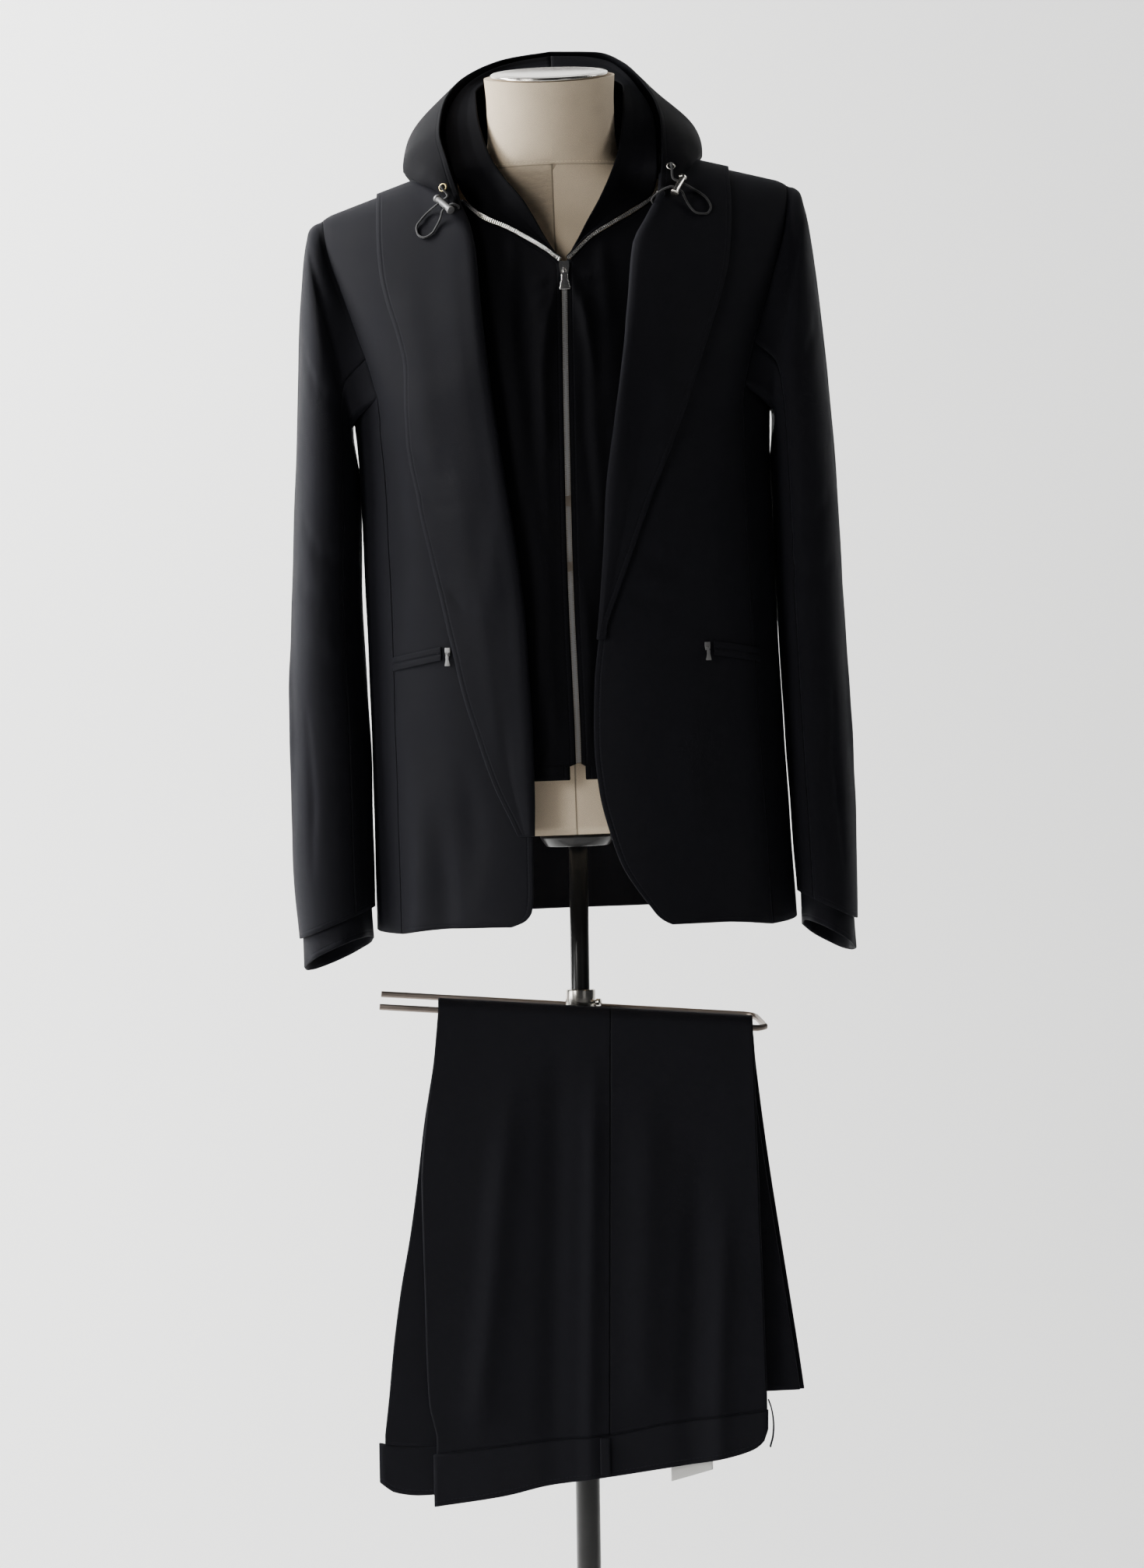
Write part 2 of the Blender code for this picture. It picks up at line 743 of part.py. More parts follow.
def inner_edge(low, up, side, back):
    """x of a panel's inner edge on a row: the centre back, or the roll and the front edge."""
    sign = SIDE[side]
    if back:
        return sign * SEAM_GAP
    x = sign * 60.0
    for _ in range(4):
        z = row_height(np.array(x), low, up, back)
        x = smooth(ROLL_LINE, 1 if side == "right" else 2, z)
    return float(x)


def spread_across(inner, outer, z, columns):
    """x places across a panel, closer together where the body turns away."""
    centre = float(smooth(JACKET_SECTIONS, 1, z))
    half = float(smooth(JACKET_SECTIONS, 2, z))

    def to_angle(x):
        part = min(abs(x - centre) / half, 1.0)
        return math.copysign(math.asin(part ** (BODY_POWER / 2)), x - centre)

    angles = np.linspace(to_angle(inner), to_angle(outer), columns)
    return centre + half * np.sign(angles) * np.abs(np.sin(angles)) ** (2 / BODY_POWER)


def body_panel(side, back, columns):
    """(outer, inner) grids of a front or a back panel."""
    sign = SIDE[side]
    outer, normals = [], []
    for low, up in panel_rows(back):
        edge = outer_edge(low, up, sign, back) - sign * SEAM_GAP / 2
        start = inner_edge(low, up, side, back)
        middle = float(row_height(np.array((edge + start) / 2), low, up, back))
        x = spread_across(start, edge, middle, columns)
        z = row_height(x, low, up, back)
        if back and up is not None:
            neck = SHOULDER_NECK_Z - BACK_NECK_DIP * np.sqrt(
                np.clip(1 - (x / SHOULDER_NECK_X) ** 2, 0, 1)
            )
            part = (z - UNDERARM_ROW) / (shoulder_top(x) - UNDERARM_ROW)
            z = UNDERARM_ROW + (np.minimum(neck, shoulder_top(x)) - UNDERARM_ROW) * part
        outer.append(body_points(x, z, back))
        normals.append(body_normals(x, z, back))
    outer, normals = np.array(outer), np.array(normals)
    inner = outer - JACKET_WALL * normals
    if back:
        outer[:, 0, 0] = sign * SEAM_GAP / 2
        inner[:, 0, 0] = outer[:, 0, 0]
    gap = 0.25 * (1 if back else -1)
    wide = np.abs(outer[-1, :, 0]) > SHOULDER_NECK_X - 12
    outer[-1, wide, 1] = gap
    inner[-1, wide, 1] = gap
    return outer, inner


def side_angle(part):
    """x and which face of the body, part of the way round the side from front to back seam."""
    front = math.asin(0.866 ** (BODY_POWER / 2))
    back = math.pi - math.asin(0.914 ** (BODY_POWER / 2))
    return front + (back - front) * part


def side_point(side, part, z):
    """A point of the side body, and its normal."""
    sign = SIDE[side]
    angle = side_angle(part)
    half = float(smooth(JACKET_SECTIONS, 2, z))
    centre = float(smooth(JACKET_SECTIONS, 1, z))
    x = np.array(centre + sign * half * abs(math.sin(angle)) ** (2 / BODY_POWER))
    is_back = angle > math.pi / 2
    z = np.array(float(z))
    point = body_points(x, z, is_back)
    step = 0.01
    near = []
    for turn, rise in ((-step, 0), (step, 0), (0, -1.0), (0, 1.0)):
        at = side_angle(part) + turn
        wide = float(smooth(JACKET_SECTIONS, 2, z + rise))
        mid = float(smooth(JACKET_SECTIONS, 1, z + rise))
        px = np.array(mid + sign * wide * abs(math.sin(at)) ** (2 / BODY_POWER))
        near.append(body_points(px, z + rise, at > math.pi / 2))
    normal = np.cross(near[1] - near[0], near[3] - near[2])
    normal /= np.linalg.norm(normal)
    return point, normal * np.sign(normal[0]) * sign


def side_top(part):
    """Height of the side body's top edge, which dips under the arm."""
    return UNDERARM_ROW - UNDERARM_DIP * math.sin(math.pi * part) ** 0.8


SIDE_PARTS = (0.0, 0.25, 0.5, 0.75, 1.0)


def side_panel(side):
    """(outer, inner) grids of a side body."""
    outer, inner = [], []
    for low in LOWER_ROWS:
        row, back_row = [], []
        for part in SIDE_PARTS:
            front_x = float(seam_front_x(HEM_FRONT, SIDE[side]))
            back_x = float(seam_back_x(HEM_BACK, SIDE[side]))
            start = float(hem_height(np.array(front_x), False))
            end = float(hem_height(np.array(back_x), True))
            bottom = start + (end - start) * part
            z = bottom + (side_top(part) - bottom) * low
            shift = {0.0: SEAM_GAP / 2 / 95, 1.0: -SEAM_GAP / 2 / 95}.get(part, 0.0)
            point, normal = side_point(side, part + shift, z)
            row.append(point)
            back_row.append(point - JACKET_WALL * normal)
        outer.append(row)
        inner.append(back_row)
    return np.array(outer), np.array(inner)


def make_jacket_body():
    """Fronts, side bodies and backs; gives the fronts' outer grids."""
    fronts = {}
    for side in SIDE:
        outer, inner = body_panel(side, False, 8)
        fronts[side] = outer
        wall(f"jacket_front_{side}", outer, inner, "suiting")
        outer, inner = side_panel(side)
        wall(f"jacket_side_{side}", outer, inner, "suiting")
        outer, inner = body_panel(side, True, 8)
        wall(f"jacket_back_{side}", outer, inner, "suiting")
    return fronts


# ---------------------------------------------------------------- lapels and collar
def lapel_rows(side):
    """(part up the lower body, part up the shoulder) of the lapel's rows, as on its panel."""
    span = UNDERARM_ROW - HEM_FRONT
    first = (LAPEL_START[side] - HEM_FRONT) / span
    lower = [first, first + 0.03] + [low for low in LOWER_ROWS if low > first + 0.05]
    return [(low, None) for low in lower] + [(1.0, up) for up in UPPER_ROWS[:-1]] + [(1.0, 0.94)]


def lapel_places(width):
    """(distance out from the roll, height over the panel) across the lapel."""
    room = min(1.0, max(width, 4.0) / 40.0)
    rolled = [(out * (room if out > 0 else 1.0), high) for out, high in LAPEL_PROFILE[:2]]
    for out, high in LAPEL_PROFILE[2:]:
        rolled.append((out * room, LAPEL_HEIGHT + (high - LAPEL_HEIGHT) * room))
    start = rolled[-1][0]
    return rolled + [(start + (width - start) * part, LAPEL_HEIGHT) for part in (0.3, 0.65, 1.0)]


def make_lapel(side):
    """The turned-back front: a soft roll, then a wall that lies on the front panel."""
    sign = SIDE[side]
    column = 1 if side == "right" else 2
    outer = []
    for low, up in lapel_rows(side):
        roll = inner_edge(low, up, side, False)
        height = float(row_height(np.array(roll), low, up, False))
        width = sign * (float(smooth(LAPEL_EDGE, column, height)) - roll)
        row = []
        for out, high in lapel_places(max(width, 5.0)):
            x = np.array(roll + sign * out)
            z = row_height(x, low, up, False)
            row.append(body_points(x, z, False) + body_normals(x, z, False) * high)
        outer.append(row)
    outer = np.array(outer)
    normals = grid_normals(outer)
    if np.sum(normals[:, -2, 1]) > 0:
        normals = -normals
    inner = outer - SLEEVE_WALL * normals
    wall(f"jacket_lapel_{side}", outer, inner, "suiting")
    return outer


def make_collar():
    """The collar's fall, lying on the back round the neck."""
    outer = []
    for down in (0.0, 14.0, 28.0, 40.0):
        row = []
        for x in np.linspace(-SHOULDER_NECK_X, SHOULDER_NECK_X, 9):
            dip = BACK_NECK_DIP * math.sqrt(max(0.0, 1 - (x / (SHOULDER_NECK_X + 4)) ** 2))
            z = np.array(SHOULDER_NECK_Z - dip - 4 - down * (1 - 0.25 * (x / SHOULDER_NECK_X) ** 2))
            at = np.array(float(x))
            row.append(body_points(at, z, True) + body_normals(at, z, True) * 3.2)
        outer.append(row)
    outer = np.array(outer)
    normals = grid_normals(outer)
    if np.sum(normals[..., 1]) < 0:
        normals = -normals
    wall("jacket_collar", outer, outer - SLEEVE_WALL * normals, "suiting")


# ---------------------------------------------------------------- sleeves
def armhole_ring(side, inset):
    """Points round the armhole, from the shoulder down the front, under and up the back."""
    sign = SIDE[side]
    ring = []
    gap = 2 * SEAM_GAP

    def edge_point(low, up, back):
        x = np.array(outer_edge(low, up, sign, back) + sign * gap)
        z = row_height(x, low, up, back)
        return body_points(x, z, back) - inset * body_normals(x, z, back)

    top_x = np.array(sign * (209.0 + gap))
    top = np.array([float(top_x), 0.0, float(shoulder_top(top_x)) - inset])
    ring.append(top)
    for up in reversed(UPPER_ROWS[:-1]):
        ring.append(edge_point(1.0, up, False))
    for part in SIDE_PARTS:
        z = side_top(part)
        point, normal = side_point(side, part, z)
        lifted = point - inset * normal
        lifted[2] += gap
        ring.append(lifted)
    for up in UPPER_ROWS[:-1]:
        ring.append(edge_point(1.0, up, True))
    return np.array(ring)


def sleeve_ring(side, row, angles):
    """One ring of the sleeve below the armhole: an oval between its inner and outer edges."""
    sign = SIDE[side]
    outer_x, outer_z, inner_x, inner_z, depth, centre_y = SLEEVE_RINGS[row]
    if side == "left":
        outer_x, inner_x = LEFT_SLEEVE_OUTER[row], LEFT_SLEEVE_INNER[row]
    rise = SHOULDER_TILT * sign * 220 * (1 - row / 11)
    high = np.array([sign * outer_x, centre_y, outer_z + rise])
    low =np.array([sign * inner_x, centre_y, inner_z])
    centre = (high + low) / 2
    reach = (high - low) / 2
    ring = []
    for angle in angles:
        across = math.copysign(abs(math.cos(angle)) ** 0.9, math.cos(angle))
        forward = math.copysign(abs(math.sin(angle)) ** 0.9, math.sin(angle))
        ring.append(centre + reach * across + np.array([0, -depth * forward, 0]))
    return np.array(ring)


def sleeve_angles(ring):
    """Angle of each armhole point round the sleeve: 0 at the shoulder, positive to the front."""
    count = len(ring)
    front = np.linspace(0, math.pi, count // 2 + 1)
    back = np.linspace(math.pi, 2 * math.pi, count - count // 2 + 1)[1:-1]
    return np.concatenate([front, back])


def sleeve_grid(side):
    """(outer, inner) rings of the whole sleeve, shoulder to cuff."""
    first = armhole_ring(side, 0.0)
    angles = sleeve_angles(first)
    rings = [first]
    rings.extend(sleeve_ring(side, row, angles) for row in range(len(SLEEVE_RINGS)))
    blend = (0.55, 0.25, 0.08)
    for index, keep in enumerate(blend):
        shift = rings[index + 1].mean(axis=0) - first.mean(axis=0)
        rings[index + 1] = keep * (first + shift) + (1 - keep) * rings[index + 1]
    outer = np.array(rings)
    normals = grid_normals(outer, wrap=True)
    middle = outer.mean(axis=1, keepdims=True)
    if np.sum(normals * (outer - middle)) < 0:
        normals = -normals
    inner = outer - SLEEVE_WALL * normals
    inner[0] = armhole_ring(side, SLEEVE_WALL)
    return outer, inner


def make_sleeve(side):
    """Top sleeve and under sleeve, parted along two seams, and the inner cuff."""
    outer, inner = sleeve_grid(side)
    count = outer.shape[1]
    front = 6
    back = count - 6
    for name, first, last in (("under", front, back), ("top", back, front + count)):
        columns = [k % count for k in range(first, last + 1)]
        skin, lining = outer[:, columns].copy(), inner[:, columns].copy()
        for edge, neighbour in ((0, 1), (-1, -2)):
            for grid in (skin, lining):
                step = grid[:, neighbour] - grid[:, edge]
                step /= np.linalg.norm(step, axis=1, keepdims=True)
                grid[:, edge] += step * SEAM_GAP / 2
        wall(f"sleeve_{name}_{side}", skin, lining, "suiting")
    make_inner_cuff(side, outer)


def make_inner_cuff(side, sleeve):
    """The inner cuff: a tube a little inside the sleeve's end, longer behind than in front."""
    inset = SLEEVE_WALL + 1.6
    last, before = sleeve[-1], sleeve[-2]
    middle = last.mean(axis=0)
    out = last - middle
    out[:, 2] = 0
    out /= np.linalg.norm(out, axis=1, keepdims=True)
    down = last - before
    down /= np.linalg.norm(down, axis=1, keepdims=True)
    outer = []
    for drop in (-22.0, -6.0, 10.0, 22.0):
        ring = last - out * inset + down * drop
        if drop > 0:
            behind = (ring[:, 1] - middle[1]) / 50.0
            ring[:, 2] -= (6.0 + 8.0 * behind) * drop / 22.0
            ring[:, :2] += out[:, :2] * 1.2 * drop / 22.0
        outer.append(ring)
    outer = np.array(outer)
    normals = grid_normals(outer, wrap=True)
    if np.sum(normals * (outer - outer.mean(axis=1, keepdims=True))) < 0:
        normals = -normals
    wall(f"cuff_inner_{side}", outer, outer - SLEEVE_WALL * normals, "suiting", wrap=True)


# ---------------------------------------------------------------- insert, zip and hood
def zip_x(z):
    """x of the zip's middle."""
    return smooth(((945, 2.6), (970, 3.5), (1114, 2.2), (1260, 4.0), (1394, 7.0)), 1, z)


def insert_points(x, z):
    """Points of the insert's outer face."""
    points = body_points(x, z, False, INSERT_INSET)
    for top, bottom, low, high, half_width, height in INSERT_FOLDS:
        middle = bottom + (top - bottom) * (z - low) / (high - low)
        fade = ramp(z, low - 60, low + 60) * (1 - ramp(z, high - 50, high + 10))
        points[..., 1] -= height * fade * hump(x - middle, half_width)
    return points


def v_height(side, x):
    """Height of the opened zip's edge at a place across."""
    table = ZIP_V_RIGHT if side == "right" else ZIP_V_LEFT
    return smooth(table, 1, x)


def make_insert(side):
    """One front of the insert, from the zip out to where the jacket covers it."""
    sign = SIDE[side]
    rows = (946, 957, 959.5, 985, 1020, 1060, 1100, 1140, 1180, 1220, 1260, 1300, 1340, 1375, 1404)
    outer = []
    for index, z in enumerate(rows):
        low = float(zip_x(z)) + sign * (ZIP_HALF + SEAM_GAP)
        if z < ZIP_END_Z:
            low = -5.0 if side == "right" else 9.6
        x = low + (sign * INSERT_HALF - low) * np.array(INSERT_COLUMNS)
        top = v_height(side, x) - 2.6
        height = 946 + (top - 946) * (z - 946) / (1404 - 946)
        height = np.where(index < 3, z, height)
        outer.append(insert_points(x, height))
    outer = np.array(outer)
    normals = grid_normals(outer)
    if np.sum(normals[..., 1]) > 0:
        normals = -normals
    inner = outer - INSERT_WALL * normals
    inner[:, 0, 0] = outer[:, 0, 0]
    wall(f"insert_front_{side}", outer, inner, "insert")
    return outer


def box_section(width, height):
    """A rectangle as (across, up) pairs."""
    w, h = width / 2, height / 2
    return ((-w, -h), (w, -h), (w, h), (-w, h))


def make_zip(inserts):
    """The closed chain, and the two opened chains along the inserts' top edges."""
    heights = np.linspace(ZIP_END_Z + 2, ZIP_TOP_Z - 14, 12)
    path = insert_points(zip_x(heights), heights)
    path[:, 1] += INSERT_WALL / 2
    swept("zip_chain_lower", path, box_section(2 * ZIP_HALF, ZIP_DEPTH), "gunmetal", (0, -1, 0))
    for side, outer in inserts.items():
        path = outer[-1, :-1].copy()
        path[:, 1] += INSERT_WALL / 2 - 0.4
        path[:, 2] += 1.4 + 2 * SEAM_GAP
        swept(f"zip_chain_{side}", path, box_section(2.4, ZIP_DEPTH), "nickel", (0, -1, 0))


def make_hood(side):
    """Outer side of the hood, from the rim over the bulge to its lower edge and under it."""
    sign = SIDE[side]
    rim_table, base_table = (RIM_RIGHT, BASE_RIGHT) if side == "right" else (RIM_LEFT, BASE_LEFT)
    columns = 12
    rim = along(rim_table, count=columns)
    base = along(base_table, count=columns)
    bulge = along(HOOD_BULGE, count=columns)
    bulge = bulge * np.array([sign, 1, 1])
    rows = []
    for part in (0.0, 0.1, 0.25, 0.45, 0.65, 0.85, 1.0):
        swell = 4 * part * (1 - part)
        rows.append(rim * (1 - part) + base * part + bulge * swell)
    tuck = base.copy()
    amount = np.linspace(2, 22, columns)
    level = np.ones(columns)
    inward = np.stack([-0.5 * sign * level, np.linspace(0.5, -0.9, columns), -0.2 * level], axis=1)
    tuck += inward * amount[:, None]
    rows.append(tuck)
    outer = np.array(rows)
    outer[:, -1, 0] = 2 + sign * SEAM_GAP / 2
    normals = grid_normals(outer)
    if np.sum(normals * np.array([sign, 0.6, 0.4])) < 0:
        normals = -normals
    inner = outer - HOOD_WALL * normals
    inner[:, -1, 0] = outer[:, -1, 0]
    wall(f"hood_outer_{side}", outer, inner, "insert")
    return outer


def make_hood_inner(side):
    """Inner side of the hood: from the opened zip and the rim down to the neck."""
    sign = SIDE[side]
    rim_table = RIM_RIGHT if side == "right" else RIM_LEFT
    neck_table = NECK_RIGHT if side == "right" else NECK_LEFT
    v_table = ZIP_V_RIGHT if side == "right" else ZIP_V_LEFT
    v_line = along(v_table, count=5)
    lower = insert_points(v_line[:, 0], v_line[:, 1])
    lower += np.array([-sign * 2.5, 6.5, 2.0])
    upper = along(rim_table, count=10)[1:]
    toward = np.array([0.0, 10.0, 0.0]) - upper
    toward[:, 2] = 0
    toward /= np.linalg.norm(toward, axis=1, keepdims=True)
    upper = upper + toward * 6.0 + np.array([0, 0, -5.0])
    edge = along(np.concatenate([lower, upper]), count=14)
    neck = along(neck_table, count=14)
    rows = []
    for part in (0.0, 0.33, 0.66, 1.0):
        rows.append(edge * (1 - part) + neck * part)
    outer = np.array(rows)
    outer[1:3, :, 1] += 2.0
    outer[:, -1, 0] = 2 + sign * SEAM_GAP / 2
    normals = grid_normals(outer)
    inner = outer - HOOD_WALL * normals
    inner[:, -1, 0] = outer[:, -1, 0]
    wall(f"hood_inner_{side}", outer, inner, "insert")


# ---------------------------------------------------------------- small pieces
def front_most(grids, x, z):
    """The front-most point that any of the grids has at a place, and its normal to the front."""
    best, best_normal = None, None
    for grid in grids:
        a, b, c, d = grid[:-1, :-1], grid[:-1, 1:], grid[1:, 1:], grid[1:, :-1]
        for corners in ((a, b, c), (a, c, d)):
            first, second, third = (corner.reshape(-1, 3) for corner in corners)
            u, v = second - first, third - first
            area = u[:, 0] * v[:, 2] - u[:, 2] * v[:, 0]
            area = np.where(np.abs(area) < 1e-9, 1e-9, area)
            dx, dz = x - first[:, 0], z - first[:, 2]
            s = (dx * v[:, 2] - dz * v[:, 0]) / area
            t = (u[:, 0] * dz - u[:, 2] * dx) / area
            inside = (s > -1e-6) & (t > -1e-6) & (s + t < 1 + 1e-6)
            y = np.where(inside, first[:, 1] + s * u[:, 1] + t * v[:, 1], np.inf)
            k = int(np.argmin(y))
            if np.isfinite(y[k]) and (best is None or y[k] < best[1]):
                normal = np.cross(u[k], v[k])
                best = np.array([x, y[k], z])
                best_normal = -normal * np.sign(normal[1]) / np.linalg.norm(normal)
    return best, best_normal


def lifted(grids, x, z, lift):
    """A point that far off the front-most surface at a place."""
    point, normal = front_most(grids, x, z)
    return point + normal * lift


def shortfall(grids, point, reach):
    """How far forward a round thing of that radius must move at a point to clear the surfaces."""
    worst = 0.0
    for dx, dz in ((0, 0), (1, 0), (-1, 0), (0, 1), (0, -1)):
        surface, normal = front_most(grids, point[0] + dx * reach, point[2] + dz * reach)
        if surface is not None:
            inside = 1 - 0.5 * (dx * dx + dz * dz)
            room = surface[1] - (reach + CLEAR) * inside / max(abs(normal[1]), 0.5)
            worst = max(worst, point[1] - room)
    return worst


def stacked(name, rows, finish_name, place, pivot):
    """A bar of rectangles: rows of (distance along local Y, half width, half thickness)."""
    points = []
    for y, half, thick in rows:
        points += [(-half, y, -thick), (half, y, -thick), (half, y, thick), (-half, y, thick)]
    points = np.array([place @ Vector(point) for point in points])
    faces = [(0, 1, 2, 3), tuple(range(len(points) - 4, len(points)))]
    for i in range(len(rows) - 1):
        for k in range(4):
            n = (k + 1) % 4
            faces.append((4 * i + k, 4 * i + n, 4 * i + 4 + n, 4 * i + 4 + k))
    return add_object(name, points, faces, finish_name, True, pivot=pivot)


def lugged_plate(name, scale, finish_name, place):
    """A slider: a tapered plate with two lugs, between which the pull's barrel turns."""
    rows = ((8.6, 4.2), (4.0, 4.6), (1.2, 4.2), (-1.6, 3.8), (-4.2, 3.2))
    lug_in, lug_out = 1.2 * scale + 0.35, 1.2 * scale + 0.35 + 0.9 * scale
    back, front, lug = -0.85 * scale - 0.5 - 1.4, -0.85 * scale - 0.5, 0.9 * scale
    points, faces = [], []
    for height in (front, back):
        for y, half in rows:
            for x in (-half * scale, -lug_out, -lug_in, lug_in, lug_out, half * scale):
                points.append((x, y * scale, height))
    count = len(points) // 2
    for i in range(len(rows) - 1):
        for j in range(5):
            quad = (6 * i + j, 6 * i + j + 1, 6 * i + j + 7, 6 * i + j + 6)
            faces.append(tuple(count + q for q in reversed(quad)))
            if i != 2 or j not in (1, 3):
                faces.append(quad)
                continue
            raised = []
            for corner in quad:
                x, y, _ = points[corner]
                raised.append(len(points))
                points.append((x, y, lug))
            faces.append(tuple(raised))
            for k in range(4):
                n = (k + 1) % 4
                faces.append((quad[k], quad[n], raised[n], raised[k]))
    edge = [0, 1, 2, 3, 4, 5, 11, 17, 23, 29, 28, 27, 26, 25, 24, 18, 12, 6]
    for a, b in zip(edge, edge[1:] + edge[:1]):
        faces.append((a, b, count + b, count + a))
    points = np.array([place @ Vector(point) for point in points])
    return add_object(name, points, faces, finish_name, True, smooth_angle=30)


def make_slider(names, grids, x, z, scale, finish_name):
    """A zip slider on the cloth and its pull, which hangs from the slider's lugs."""
    point, normal = front_most(grids, x, z)
    pivot = point + normal * (0.5 + 1.4 + 0.5 + 0.85 * scale)
    place = frame_at(pivot, normal, (1, 0, 0))
    lugged_plate(names[0], scale, finish_name, place)
    rows = [(y * scale, half * scale, thick * scale) for y, half, thick in PULL_ROWS]
    stacked(names[1], rows, finish_name, place, pivot)


def make_pocket(side, fronts):
    """The pocket's welt on the front, with the slider and pull at its inner end."""
    start_x, start_z, end_x, end_z = POCKET_LINE[side]
    outer, inner = [], []
    for across in (-1.0, 0.0, 1.0):
        rows = ([], [])
        for part in np.linspace(0, 1, 7):
            x = start_x + (end_x - start_x) * part
            z = start_z + (end_z - start_z) * part + across * WELT_HALF_HEIGHT
            x, z = np.array(x), np.array(z)
            point, normal = body_points(x, z, False), body_normals(x, z, False)
            rows[0].append(point + normal * (0.45 + WELT_THICK))
            rows[1].append(point + normal * 0.45)
        outer.append(rows[0])
        inner.append(rows[1])
    wall(f"pocket_welt_{side}", np.array(outer), np.array(inner), "suiting")
    x, z = POCKET_PULL_AT[side]
    names = (f"pocket_slider_{side}", f"pocket_pull_{side}")
    make_slider(names, [fronts[side]], x, z, POCKET_PULL_SCALE, "gunmetal")


def make_eyelet(side, grids):
    """The metal ring that the drawcord leaves the hood by."""
    x, z = CORD_PLACES[side][0]
    point, normal = front_most(grids, x, z)
    place = frame_at(point + normal * (EYELET_TUBE + 0.5), normal, (1, 0, 0))
    profile = []
    for k in range(6):
        angle = 2 * math.pi * k / 6
        across = EYELET_RADIUS + EYELET_TUBE * math.cos(angle)
        profile.append((across, EYELET_TUBE * math.sin(angle)))
    turned(f"hood_eyelet_{side}", profile, 18, "brass", place, leaning=True)


def lock_frame(side, grids):
    """The lock's middle, its long direction and the direction of its holes."""
    (upper_x, upper_z), (lower_x, lower_z) = CORD_PLACES[side][1:3]
    upper = lifted(grids, upper_x, upper_z, LOCK_LIFT)
    lower = lifted(grids, lower_x, lower_z, LOCK_LIFT)
    middle = (upper + lower) / 2
    _, normal = front_most(grids, middle[0], middle[2])
    places = [lower + (upper - lower) * part for part in (0.0, 0.25, 0.5, 0.75, 1.0)]
    middle[1] -= max(shortfall(grids, place, LOCK_CAP_RADIUS) for place in places) + LOCK_CLEAR
    length = (upper - lower) / np.linalg.norm(upper - lower)
    hole = np.cross(length, normal)
    hole /= np.linalg.norm(hole)
    return middle, length, hole * np.sign(hole[0]) * SIDE[side]


def make_lock(side, grids):
    """The cord lock: a barrel with flanged ends and two cross holes."""
    middle, length, hole = lock_frame(side, grids)
    place = frame_at(middle, length, hole)
    cap, body, half = LOCK_CAP_RADIUS, LOCK_RADIUS, LOCK_HALF
    profile = (
        (0, -half),
        (cap, -half),
        (cap, 2 - half),
        (body, 2.6 - half),
        (body, half - 2.6),
        (cap, half - 2),
        (cap, half),
        (0, half),
    )
    barrel = turned(f"cord_lock_{side}", profile, 16, "gunmetal", place, leaning=True)
    for end in (-1, 1):
        cutter_place = frame_at(middle + length * end * LOCK_HOLE_AT, hole, length)
        reach = LOCK_CAP_RADIUS + 2
        radius = LOCK_HOLE_RADIUS
        outline = ((0, -reach), (radius, -reach), (radius, reach), (0, reach))
        cutter = turned(f"cut_lock_{side}_{end}", outline, 12, "gunmetal", cutter_place, True)
        cutter.hide_render = True
        cutter.display_type = "WIRE"
        cut = barrel.modifiers.new("cord hole", "BOOLEAN")
        cut.object = cutter
        cut.solver = "EXACT"


def cord_route(side, grids):
    """Points of the drawcord: eyelet, lock, free loop, lock again, and its sewn end."""
    middle, length, hole = lock_frame(side, grids)
    upper, lower = middle + length * LOCK_HOLE_AT, middle - length * LOCK_HOLE_AT
    start_x, start_z = CORD_PLACES[side][0]
    end_x, end_z = CORD_PLACES[side][3]
    first = lifted(grids, start_x, start_z, 1.2)
    risen = lifted(grids, start_x, start_z, 5.0)
    forward = np.array([0.0, -1.4, 0.0])
    before = upper - hole * 8.0
    route = [first, risen, 0.6 * risen + 0.4 * before + forward, before]
    route += [upper + hole * away for away in (-4.4, -2.2, 0.0, 2.2, 4.4)]
    route += [lifted(grids, x, z, lift) for x, z, lift in CORD_LOOP[side]]
    route += [lower + hole * away for away in (4.4, 2.2, 0.0, -2.2, -4.4)]
    last = lifted(grids, end_x, end_z, 0.6)
    route += [lifted(grids, end_x, end_z, 2.8), last]
    return np.array(route)


def make_drawcord(side, grids):
    """The drawcord as a round tube along its route."""
    route = cord_route(side, grids)
    length = float(np.sum(np.linalg.norm(np.diff(route, axis=0), axis=1)))
    points = along(route, count=int(length / CORD_STEP) + 1)
    for point in points[2:-1]:
        point[1] -= shortfall(grids, point, CORD_RADIUS + 0.4)
    points = lean(points) * METRES
    curve = bpy.data.curves.new(f"drawcord_{side}", "CURVE")
    curve.dimensions = "3D"
    curve.bevel_depth = CORD_RADIUS * METRES
    curve.bevel_resolution = 2
    curve.use_fill_caps = True
    spline = curve.splines.new("POLY")
    spline.points.add(len(points) - 1)
    for target, place in zip(spline.points, points):
        target.co = (*place, 1.0)
    cord = bpy.data.objects.new(f"drawcord_{side}", curve)
    bpy.context.scene.collection.objects.link(cord)
    cord.data.materials.append(finish("elastic"))


